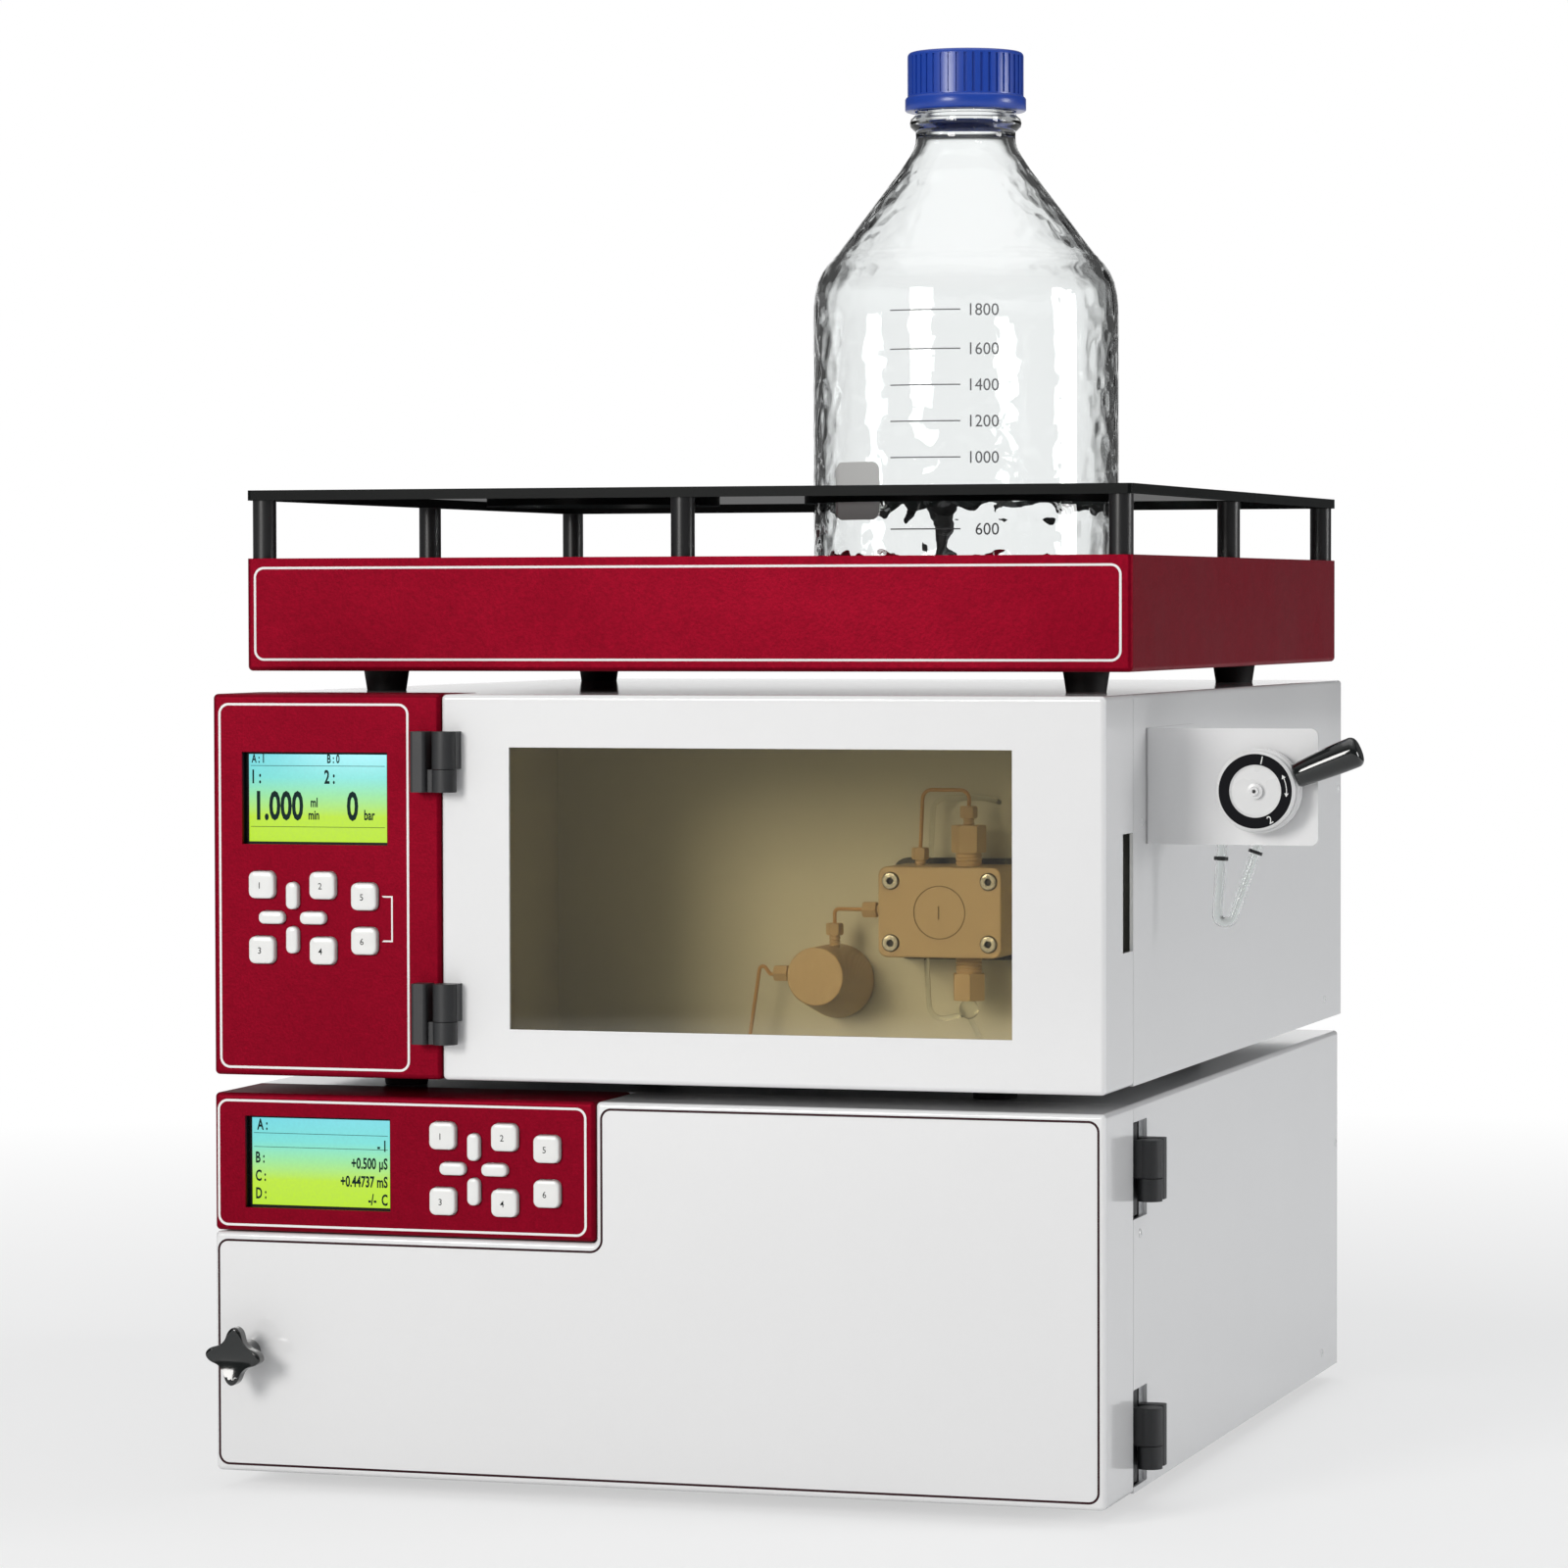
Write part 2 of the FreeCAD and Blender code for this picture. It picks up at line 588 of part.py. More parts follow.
def cabinet_cover(bottom, height, depth):
    """The folded cover of a cabinet: two sides and a top, open at front and back."""
    top = bottom + height
    outer = box(0, CABINET_WIDTH, FRONT_DEPTH, depth, bottom, top)
    folds = []
    for edge in outer.Edges:
        along = edge.tangentAt(edge.FirstParameter)
        at_top = min(vertex.Z for vertex in edge.Vertexes) > top - 1e-6
        if at_top and along.cross(V(0, 1, 0)).Length < 1e-6:
            folds.append(edge)
    outer = outer.makeFillet(BEND_RADIUS, folds)
    hollow = box(SHEET, CABINET_WIDTH - SHEET, FRONT_DEPTH - 1, depth + 1, bottom - 1, top - SHEET)
    return outer.cut(hollow)


def lower_cover():
    """The lower cabinet's cover, notched at the front for the door's hinges."""
    cover = cabinet_cover(0, LOWER_HEIGHT, CABINET_DEPTH)
    for z in LOWER_HINGES:
        notch = box(CABINET_WIDTH - 2 * SHEET, CABINET_WIDTH + 1, FRONT_DEPTH - 1, FRONT_DEPTH + NOTCH_DEPTH,
                    z - NOTCH_HALF_HEIGHT, z + NOTCH_HALF_HEIGHT)
        cover = cover.cut(notch)
    return cover


def rear_panel(bottom, height, depth):
    """A cabinet's back with the inlet's opening and cooling slots."""
    panel = box(SHEET, CABINET_WIDTH - SHEET, depth - SHEET, depth, bottom, bottom + height - SHEET)
    inlet_x = INLET_LEFT + INLET_LAP
    cutters = [box(inlet_x, INLET_LEFT + INLET_WIDTH - INLET_LAP, depth - 2 * SHEET, depth + 1,
                   bottom + INLET_FROM_BOTTOM + INLET_LAP,
                   bottom + INLET_FROM_BOTTOM + INLET_HEIGHT - INLET_LAP)]
    for i in range(VENT_COUNT):
        x = CABINET_WIDTH - VENT_RIGHT - i * VENT_PITCH
        middle = bottom + height / 2
        cutters.append(stadium_front(x, middle, VENT_HEIGHT, VENT_WIDTH, depth - 2 * SHEET, depth + 1, True))
    return panel.cut(Part.makeCompound(cutters))


def floor_plate(bottom, depth):
    """A cabinet's bottom sheet with its two folded upstands."""
    left = SHEET
    right = CABINET_WIDTH - SHEET
    return [
        box(left, right, FRONT_DEPTH, depth - SHEET, bottom, bottom + SHEET),
        box(left, left + SHEET, FRONT_DEPTH, depth - SHEET, bottom, bottom + UPSTAND),
        box(right - SHEET, right, FRONT_DEPTH + NOTCH_DEPTH + LEAF_CLEARANCE, depth - SHEET,
            bottom, bottom + UPSTAND),
    ]


def lower_chassis():
    """The zinc-plated chassis: floor, back, the hinge post at right and the latch post at left."""
    right = CABINET_WIDTH - SHEET
    post_front = LOWER_AXIS_Y + LEAF_TAIL + POST_SETBACK
    pieces = floor_plate(0, CABINET_DEPTH)
    pieces.append(rear_panel(0, LOWER_HEIGHT, CABINET_DEPTH))
    pieces.append(box(right - SHEET, right, post_front, post_front + POST_WIDTH, 0, LOWER_HEIGHT - SHEET))
    latch_front = FRONT_DEPTH + LATCH_BOSS_LENGTH
    latch_left = KNOB_FROM_LEFT - LATCH_BOSS_RADIUS - 2
    latch_right = KNOB_FROM_LEFT + LATCH_BOSS_RADIUS + 2
    pieces.append(box(latch_left, latch_right, latch_front, latch_front + SHEET, 0,
                      KNOB_FROM_BOTTOM + 2 * LATCH_BOSS_RADIUS))
    pieces.append(cylinder(KNOB_FROM_LEFT, FRONT_DEPTH + LATCH_GAP, KNOB_FROM_BOTTOM, LATCH_BOSS_RADIUS,
                           LATCH_BOSS_LENGTH, V(0, 1, 0)))
    bore = cylinder(KNOB_FROM_LEFT, FRONT_DEPTH, KNOB_FROM_BOTTOM, SCREW_RADIUS,
                    2 * LATCH_BOSS_LENGTH, V(0, 1, 0))
    return fuse(pieces).cut(bore)


def upper_chassis():
    """The pump cabinet's floor and back, with slots for the drive's cooling air."""
    pieces = floor_plate(UPPER_BOTTOM, UPPER_DEPTH)
    pieces.append(rear_panel(UPPER_BOTTOM, UPPER_HEIGHT, UPPER_DEPTH))
    return fuse(pieces)


def oven_door():
    """The lower cabinet's L-shaped door pan, cut away round the red panel, with the knob's hole."""
    step_x = LOWER_PANEL_WIDTH + SEAM
    step_z = LOWER_PANEL_BOTTOM - SEAM
    corners = [(0, 0), (CABINET_WIDTH, 0), (CABINET_WIDTH, LOWER_HEIGHT),
               (step_x, LOWER_HEIGHT), (step_x, step_z), (0, step_z)]
    hole = cylinder(KNOB_FROM_LEFT, -1, KNOB_FROM_BOTTOM, SCREW_RADIUS + SCREW_CLEARANCE,
                    SHEET + 2, V(0, 1, 0))
    return front_pan(corners, FRONT_DEPTH - SEAM).cut(hole)


def pump_door():
    """The upper cabinet's door pan with its window opening and a finger slot in the right flange."""
    left = UPPER_PANEL_WIDTH + SEAM
    corners = [(left, UPPER_BOTTOM), (CABINET_WIDTH, UPPER_BOTTOM),
               (CABINET_WIDTH, UPPER_TOP), (left, UPPER_TOP)]
    opening = box(left + WINDOW_LEFT_MARGIN, CABINET_WIDTH - WINDOW_RIGHT_MARGIN, -1, SHEET + 1,
                  UPPER_BOTTOM + WINDOW_BOTTOM_MARGIN, UPPER_TOP - WINDOW_TOP_MARGIN)
    slot_top = UPPER_TOP - FINGER_SLOT_TOP
    slot = box(CABINET_WIDTH - 2 * SHEET, CABINET_WIDTH + 1, FRONT_DEPTH - SEAM - FINGER_SLOT_DEPTH,
               FRONT_DEPTH + 1, slot_top - FINGER_SLOT_HEIGHT, slot_top)
    return front_pan(corners, FRONT_DEPTH - SEAM).cut(opening).cut(slot)


def door_window():
    """The smoked pane behind the pump door's opening."""
    left = UPPER_PANEL_WIDTH + SEAM + WINDOW_LEFT_MARGIN - WINDOW_LAP
    right = CABINET_WIDTH - WINDOW_RIGHT_MARGIN + WINDOW_LAP
    return box(left, right, SHEET, SHEET + WINDOW_THICKNESS,
               UPPER_BOTTOM + WINDOW_BOTTOM_MARGIN - WINDOW_LAP, UPPER_TOP - WINDOW_TOP_MARGIN + WINDOW_LAP)


def fixed_hinge_half(base):
    """The half that stays on the cabinet, in hinge axes: the strip, the lower knuckle and the pin.

    The hinge axis is z. u, along x here, runs to the door, and the face lies at y = HINGE_AXIS_PROUD.
    base is how far behind the face's outer side the half is seated."""
    low = -HINGE_HEIGHT / 2
    strip = box(-STRIP_NEAR - STRIP_WIDTH, -STRIP_NEAR, HINGE_AXIS_PROUD - STRIP_PROUD, HINGE_AXIS_PROUD + base,
                low, low + HINGE_HEIGHT)
    outer_edges = [edge for edge in strip.Edges
                   if edge.tangentAt(edge.FirstParameter).cross(V(0, 0, 1)).Length < 1e-6
                   and max(vertex.Y for vertex in edge.Vertexes) < 0]
    strip = strip.makeFillet(1.8, outer_edges)
    knuckle = cylinder(0, 0, low, KNUCKLE_RADIUS, KNUCKLE_HEIGHT, V(0, 0, 1))
    web = box(-STRIP_NEAR - 1, 0, -STRIP_WEB / 2, STRIP_WEB / 2, low, low + KNUCKLE_HEIGHT)
    pin = cylinder(0, 0, low, HINGE_PIN_RADIUS, KNUCKLE_HEIGHT + HINGE_PIN_REACH, V(0, 0, 1))
    return fuse([strip, knuckle, web, pin])


def moving_hinge_half(base, reach):
    """The half that lifts off with the door, in hinge axes: the upper knuckle and its pad."""
    low = -HINGE_HEIGHT / 2 + KNUCKLE_HEIGHT + KNUCKLE_GAP
    high = HINGE_HEIGHT / 2
    knuckle = cylinder(0, 0, low, KNUCKLE_RADIUS, high - low, V(0, 0, 1))
    pad = box(0, reach, HINGE_AXIS_PROUD - PAD_PROUD, HINGE_AXIS_PROUD + base, low, high)
    bore = cylinder(0, 0, low - 1, HINGE_PIN_RADIUS + HINGE_PIN_CLEARANCE, HINGE_PIN_REACH + 2, V(0, 0, 1))
    return fuse([knuckle, pad]).cut(bore)


def place_hinge(shape, x, y, z, side):
    """Moves a hinge from its own axes to a door: on the front face, or on the right side."""
    turned = shape.copy()
    if side:
        mirror = turned.mirror(V(0, 0, 0), V(1, 0, 0))
        mirror.rotate(V(0, 0, 0), V(0, 0, 1), 90)
        turned = mirror
    turned.translate(V(x, y, z))
    return turned


def body_hinges():
    """The four fixed hinge halves: two on the red panel's face, two on the lower hinge post."""
    front = fixed_hinge_half(0)
    side = fixed_hinge_half(SHEET)
    halves = [place_hinge(front, UPPER_AXIS_X, UPPER_AXIS_Y, z, False) for z in UPPER_HINGES]
    halves += [place_hinge(side, LOWER_AXIS_X, LOWER_AXIS_Y, z, True) for z in LOWER_HINGES]
    return Part.makeCompound(halves)


def pump_door_hinges():
    """The pump door's two hinge halves."""
    half = moving_hinge_half(0, PAD_REACH)
    return Part.makeCompound([place_hinge(half, UPPER_AXIS_X, UPPER_AXIS_Y, z, False) for z in UPPER_HINGES])


def oven_door_hinges():
    """The oven door's two hinge halves, each on a plate that is fixed inside the door's right flange."""
    right = CABINET_WIDTH - SHEET
    solids = []
    for z in LOWER_HINGES:
        knuckle = place_hinge(moving_hinge_half(SHEET, LEAF_PAD_REACH), LOWER_AXIS_X, LOWER_AXIS_Y, z, True)
        reach = NOTCH_HALF_HEIGHT - LEAF_CLEARANCE
        leaf = box(right - SHEET, right, FRONT_DEPTH - SEAM - LEAF_LAP, LOWER_AXIS_Y + LEAF_TAIL,
                   max(z - reach, SHEET + LEAF_CLEARANCE), z + reach)
        solids.append(knuckle)
        solids.append(leaf)
    return Part.makeCompound(solids)


def star_knob():
    """A four-lobed dished grip with a hub and a captive screw that ends short of its nut on the cabinet."""
    points = []
    steps = 8
    for i in range(KNOB_LOBES * steps):
        angle = 2 * math.pi * i / (KNOB_LOBES * steps)
        swing = (1 + math.cos(KNOB_LOBES * angle)) / 2
        radius = KNOB_WAIST_RADIUS + (KNOB_RADIUS - KNOB_WAIST_RADIUS) * swing ** 1.5
        points.append(V(radius * math.cos(angle), 0, radius * math.sin(angle)))
    outline = Part.BSplineCurve()
    outline.interpolate(points, PeriodicFlag=True)
    grip = Part.Face(Part.Wire(outline.toShape())).extrude(V(0, KNOB_THICKNESS, 0))
    grip = grip.makeFillet(1.2, grip.Edges)
    dish = Part.makeSphere(KNOB_DISH_RADIUS, V(0, KNOB_DISH_DEPTH - KNOB_DISH_RADIUS, 0))
    grip = grip.cut(dish)
    hub = Part.makeCone(KNOB_HUB_RADIUS, KNOB_HUB_RADIUS - 1.2, KNOB_HUB_LENGTH + 0.5,
                        V(0, KNOB_THICKNESS - 0.5, 0), V(0, 1, 0))
    front = -(KNOB_THICKNESS + KNOB_HUB_LENGTH + KNOB_GAP)
    screw = cylinder(0, KNOB_THICKNESS, 0, SCREW_RADIUS, FRONT_DEPTH - front - KNOB_THICKNESS, V(0, 1, 0))
    collar_start = SHEET + KNOB_GAP - front
    collar = cylinder(0, collar_start, 0, 2 * SCREW_RADIUS, 2.0, V(0, 1, 0))
    knob = fuse([grip, hub, screw, collar])
    knob.rotate(V(0, 0, 0), V(0, 1, 0), KNOB_TURN)
    knob.translate(V(KNOB_FROM_LEFT, front, KNOB_FROM_BOTTOM))
    return knob


def oven_outline(inset):
    """The oven's L-shaped front outline, drawn in from its outer side, as (x, z) corners."""
    left = OVEN_LEFT + inset
    right = CABINET_WIDTH - OVEN_RIGHT_GAP - inset
    low = SHEET + inset
    high = LOWER_HEIGHT - OVEN_TOP_GAP - inset
    step_x = LOWER_PANEL_WIDTH + OVEN_STEP_GAP + inset
    step_z = LOWER_PANEL_BOTTOM - OVEN_STEP_GAP - inset
    return [(left, low), (right, low), (right, high), (step_x, high), (step_x, step_z), (left, step_z)]


def oven_liner():
    """The insulated oven box, open at the front."""
    start = FRONT_DEPTH + OVEN_FRONT
    outer = prism(front_outline(oven_outline(0), start), V(0, OVEN_DEPTH, 0))
    inner = prism(front_outline(oven_outline(OVEN_WALL), start - 1), V(0, OVEN_DEPTH + 1 - OVEN_WALL, 0))
    return outer.cut(inner)


def oven_back():
    """Depth of the oven's inner back wall."""
    return FRONT_DEPTH + OVEN_FRONT + OVEN_DEPTH - OVEN_WALL


def column_axis():
    """Depth and height of the separation column's axis."""
    low = SHEET + OVEN_WALL + HEATER_FROM_FLOOR
    return oven_back() - HEATER_DEPTH, low + HEATER_HEIGHT / 2


def heater_block():
    """The aluminium heater with a groove that carries the column."""
    axis_y, axis_z = column_axis()
    block = box(HEATER_LEFT, HEATER_LEFT + HEATER_LENGTH, axis_y, oven_back(),
                axis_z - HEATER_HEIGHT / 2, axis_z + HEATER_HEIGHT / 2)
    groove = cylinder(HEATER_LEFT - 1, axis_y, axis_z, COLUMN_RADIUS,
                      HEATER_LENGTH + 2, V(1, 0, 0))
    holes = [cylinder(HEATER_LEFT + HEATER_LENGTH * share, axis_y - 1, axis_z + HEATER_HEIGHT * 0.36, 2.2,
                      HEATER_DEPTH, V(0, 1, 0)) for share in (0.15, 0.85)]
    return block.cut(groove).cut(Part.makeCompound(holes))


def separation_column():
    """The column tube with its two end fittings, lying in the heater's groove."""
    axis_y, axis_z = column_axis()
    middle = HEATER_LEFT + HEATER_LENGTH / 2
    tube_length = HEATER_LENGTH + 4
    end = tube_length / 2
    tip = -end - COLUMN_END_LENGTH
    profile = [(0, tip - 5), (3, tip - 5), (3, tip), (COLUMN_END_RADIUS - 1, tip), (COLUMN_END_RADIUS, tip + 1),
               (COLUMN_END_RADIUS, -end), (COLUMN_RADIUS, -end)]
    profile += [(r, -h) for r, h in reversed(profile)]
    return revolved(profile, middle, axis_y, axis_z, V(1, 0, 0))


def conductivity_cell():
    """The detector cell on the oven's back wall, above the heater, with two ports in front."""
    back = oven_back()
    left = HEATER_LEFT + HEATER_LENGTH - CELL_WIDTH
    block = box(left, left + CELL_WIDTH, back - CELL_DEPTH, back, CELL_BOTTOM, CELL_BOTTOM + CELL_HEIGHT)
    uprights = [edge for edge in block.Edges if edge.tangentAt(edge.FirstParameter).cross(V(0, 1, 0)).Length < 1e-6]
    block = block.makeFillet(3, uprights)
    ports = [cylinder(left + CELL_WIDTH * share, back - CELL_DEPTH - CELL_PORT_LENGTH,
                      CELL_BOTTOM + CELL_HEIGHT / 2, CELL_PORT_RADIUS, CELL_PORT_LENGTH + 1, V(0, 1, 0))
             for share in (0.28, 0.72)]
    return fuse([block, *ports])


def pump_bulkhead():
    """The folded sheet behind the pump head: back wall, left wall, and a jamb beside the door's slot."""
    left = UPPER_PANEL_WIDTH
    jamb = CABINET_WIDTH - SHEET - JAMB_GAP
    low = UPPER_BOTTOM + SHEET
    high = UPPER_TOP - SHEET
    back = box(left - SHEET, jamb, BULKHEAD_DEPTH, BULKHEAD_DEPTH + SHEET, low, high)
    left_wall = box(left - SHEET, left, FRONT_DEPTH, BULKHEAD_DEPTH + SHEET, low, high)
    jamb_front = FRONT_DEPTH - SEAM - FINGER_SLOT_DEPTH - 4
    right_wall = box(jamb - SHEET, jamb, jamb_front, BULKHEAD_DEPTH + SHEET, low, high)
    hole_radius = MOTOR_NECK_RADIUS + MOTOR_NECK_CLEARANCE
    hole = cylinder(HEAD_X, BULKHEAD_DEPTH - 1, HEAD_Z, hole_radius, SHEET + 2, V(0, 1, 0))
    return fuse([back, left_wall, right_wall]).cut(hole)


def pump_drive():
    """The black flange that carries the pump head, and the geared motor behind the bulkhead."""
    half_width = HEAD_WIDTH / 2 + FLANGE_LIP
    half_height = HEAD_HEIGHT / 2 + FLANGE_LIP
    flange = rounded_front(HEAD_X - half_width, HEAD_X + half_width, HEAD_Z - half_height, HEAD_Z + half_height,
                           FLANGE_CORNER, HEAD_BACK, BULKHEAD_DEPTH)
    neck = cylinder(HEAD_X, BULKHEAD_DEPTH - 1, HEAD_Z, MOTOR_NECK_RADIUS, SHEET + 2, V(0, 1, 0))
    half = MOTOR_SIDE / 2
    start = BULKHEAD_DEPTH + SHEET
    motor = rounded_front(HEAD_X - half, HEAD_X + half, HEAD_Z - half, HEAD_Z + half, MOTOR_CORNER,
                          start, start + MOTOR_LENGTH)
    return fuse([flange, neck, motor])


def screw_places():
    """The four screws' centres on the pump head."""
    return [(HEAD_X + dx, HEAD_Z + dz) for dx in (-SCREW_PITCH_X / 2, SCREW_PITCH_X / 2)
            for dz in (-SCREW_PITCH_Z / 2, SCREW_PITCH_Z / 2)]


def pump_head():
    """The machined head block with screw wells and an engraved ring."""
    half_width = HEAD_WIDTH / 2
    half_height = HEAD_HEIGHT / 2
    block = rounded_front(HEAD_X - half_width, HEAD_X + half_width, HEAD_Z - half_height, HEAD_Z + half_height,
                          HEAD_CORNER, HEAD_FRONT, HEAD_BACK)
    front = [edge for edge in block.Edges if max(vertex.Y for vertex in edge.Vertexes) < HEAD_FRONT + 1e-6]
    block = block.makeFillet(HEAD_EDGE, front)
    cutters = []
    for x, z in screw_places():
        cutters.append(cylinder(x, HEAD_FRONT - 1, z, SCREW_HEAD_RADIUS + SCREW_WELL_CLEARANCE,
                                SCREW_HEAD_SINK + 1, V(0, 1, 0)))
        cutters.append(cylinder(x, HEAD_FRONT, z, SCREW_SHANK_RADIUS, HEAD_DEPTH + 1, V(0, 1, 0)))
    outer = cylinder(HEAD_X, HEAD_FRONT - 1, HEAD_Z, HEAD_RING_RADIUS + HEAD_RING_WIDTH, HEAD_RING_DEPTH + 1,
                     V(0, 1, 0))
    inner = cylinder(HEAD_X, HEAD_FRONT - 1, HEAD_Z, HEAD_RING_RADIUS, HEAD_RING_DEPTH + 1, V(0, 1, 0))
    return block.cut(Part.makeCompound(cutters)).cut(outer.cut(inner))


def pump_head_screws():
    """Four socket-head screws, seated in the head's wells."""
    screws = []
    seat = HEAD_FRONT + SCREW_HEAD_SINK
    for x, z in screw_places():
        head = cylinder(x, seat - SCREW_HEAD_HEIGHT, z, SCREW_HEAD_RADIUS, SCREW_HEAD_HEIGHT, V(0, 1, 0))
        rim = [edge for edge in head.Edges if abs(edge.CenterOfMass.y - (seat - SCREW_HEAD_HEIGHT)) < 1e-6]
        head = head.makeFillet(0.4, rim)
        socket = hexagon(x, seat - SCREW_HEAD_HEIGHT - 0.5, z, SCREW_SOCKET_RADIUS * math.sqrt(3),
                         SCREW_SOCKET_DEPTH + 0.5, V(0, 1, 0), 0)
        shank = cylinder(x, seat, z, SCREW_SHANK_RADIUS - 0.1, HEAD_BACK - seat, V(0, 1, 0))
        screws.append(fuse([head.cut(socket), shank]))
    return Part.makeCompound(screws)


def head_top():
    """Height of the pump head's top face."""
    return HEAD_Z + HEAD_HEIGHT / 2


def head_bottom():
    """Height of the pump head's bottom face."""
    return HEAD_Z - HEAD_HEIGHT / 2


def capillary_nut(x, y, z, neck, length, axis, turn):
    """A small fingertight nut with its neck, seated at a port."""
    stem = threaded_neck(x, y, z, NUT_NECK_RADIUS, neck, axis)
    start = V(x, y, z) + axis * (neck - 0.01)
    return fuse([stem, hexagon(start.x, start.y, start.z, NUT_FLATS, length, axis, turn)])


def damper_share(y):
    """How far back along the damper's flare a depth lies, from 0 at its front face to 1."""
    front = BULKHEAD_DEPTH - DAMPER_LENGTH
    return (y - front) / (DAMPER_LENGTH - DAMPER_COLLAR)


def damper_radius(y):
    """The damper's radius at a depth."""
    return DAMPER_FRONT_RADIUS + (DAMPER_REAR_RADIUS - DAMPER_FRONT_RADIUS) * damper_share(y)


def damper_top_port():
    """Where the nut on the damper's top is seated."""
    top = DAMPER_CENTRE_Z + DAMPER_FRONT_RADIUS
    return V(DAMPER_CENTRE_X + DAMPER_PORT_X, DAMPER_PORT_Y, top - DAMPER_PORT_SINK)


def damper_side_port():
    """Where the nut on the damper's left is seated."""
    left = DAMPER_CENTRE_X - damper_radius(DAMPER_PORT_Y)
    return V(left + DAMPER_PORT_SINK, DAMPER_PORT_Y, DAMPER_CENTRE_Z)


def peek_fittings():
    """The two check valves and the small nuts on the head and the damper."""
    up = V(0, 0, 1)
    down = V(0, 0, -1)
    left = V(-1, 0, 0)
    valve_x = HEAD_X + CHECK_VALVE_X
    top = head_top()
    bottom = head_bottom()
    hex_top = top + CHECK_TOP_NECK + CHECK_TOP_HEX
    upper = fuse([
        threaded_neck(valve_x, PORT_Y, top, CHECK_NECK_RADIUS, CHECK_TOP_NECK, up),
        hexagon(valve_x, PORT_Y, top + CHECK_TOP_NECK - 0.01, CHECK_HEX_FLATS, CHECK_TOP_HEX, up, 12),
        capillary_nut(valve_x, PORT_Y, hex_top - 0.02, CHECK_NUT_NECK, NUT_LENGTH, up, 12),
    ])
    lower = fuse([
        threaded_neck(valve_x, PORT_Y, bottom, CHECK_NECK_RADIUS, CHECK_BOTTOM_NECK, down),
        hexagon(valve_x, PORT_Y, bottom - CHECK_BOTTOM_NECK + 0.01, CHECK_HEX_FLATS, CHECK_BOTTOM_HEX, down, 12),
    ])
    top_port = damper_top_port()
    side_port = damper_side_port()
    nuts = [
        capillary_nut(HEAD_X + OUTLET_X, PORT_Y, top, OUTLET_NECK, NUT_LENGTH, up, 12),
        capillary_nut(HEAD_X - HEAD_WIDTH / 2, PORT_Y, HEAD_Z, SIDE_NUT_NECK, SIDE_NUT_LENGTH, left, 30),
        capillary_nut(top_port.x, top_port.y, top_port.z, DAMPER_NECK, NUT_LENGTH, up, 12),
        capillary_nut(side_port.x, side_port.y, side_port.z, DAMPER_SIDE_NECK, SIDE_NUT_LENGTH, left, 30),
    ]
    return Part.makeCompound([upper, lower, *nuts])


def pulse_damper():
    """The pulse damper: a body that flares back and down from its round face to a collar on the bulkhead."""
    front = BULKHEAD_DEPTH - DAMPER_LENGTH
    collar_front = BULKHEAD_DEPTH - DAMPER_COLLAR
    back = V(0, 1, 0)
    face = Part.Wire(Part.makeCircle(DAMPER_FRONT_RADIUS, V(DAMPER_CENTRE_X, front, DAMPER_CENTRE_Z), back))
    rear_centre = V(DAMPER_CENTRE_X, collar_front, DAMPER_CENTRE_Z - DAMPER_DROP)
    rear = Part.Wire(Part.makeCircle(DAMPER_REAR_RADIUS, rear_centre, back))
    flare = Part.makeLoft([face, rear], True, True)
    rim = [edge for edge in flare.Edges if abs(edge.CenterOfMass.y - front) < 1e-6 and edge.Closed]
    flare = flare.makeFillet(DAMPER_EDGE, rim)
    collar = Part.makeCylinder(DAMPER_REAR_RADIUS - 0.4, DAMPER_COLLAR, rear_centre, back)
    ports = [Part.makeCylinder(NUT_NECK_RADIUS, 2 * DAMPER_PORT_SINK, damper_top_port(), V(0, 0, 1)),
             Part.makeCylinder(NUT_NECK_RADIUS, 2 * DAMPER_PORT_SINK, damper_side_port(), V(-1, 0, 0))]
    return fuse([flare, collar]).cut(Part.makeCompound(ports))


def behind_bulkhead():
    """The space behind the bulkhead's front face, which trims the tubes that end on it."""
    return box(UPPER_PANEL_WIDTH, CABINET_WIDTH, BULKHEAD_DEPTH, BULKHEAD_DEPTH + 10, UPPER_BOTTOM, UPPER_TOP)


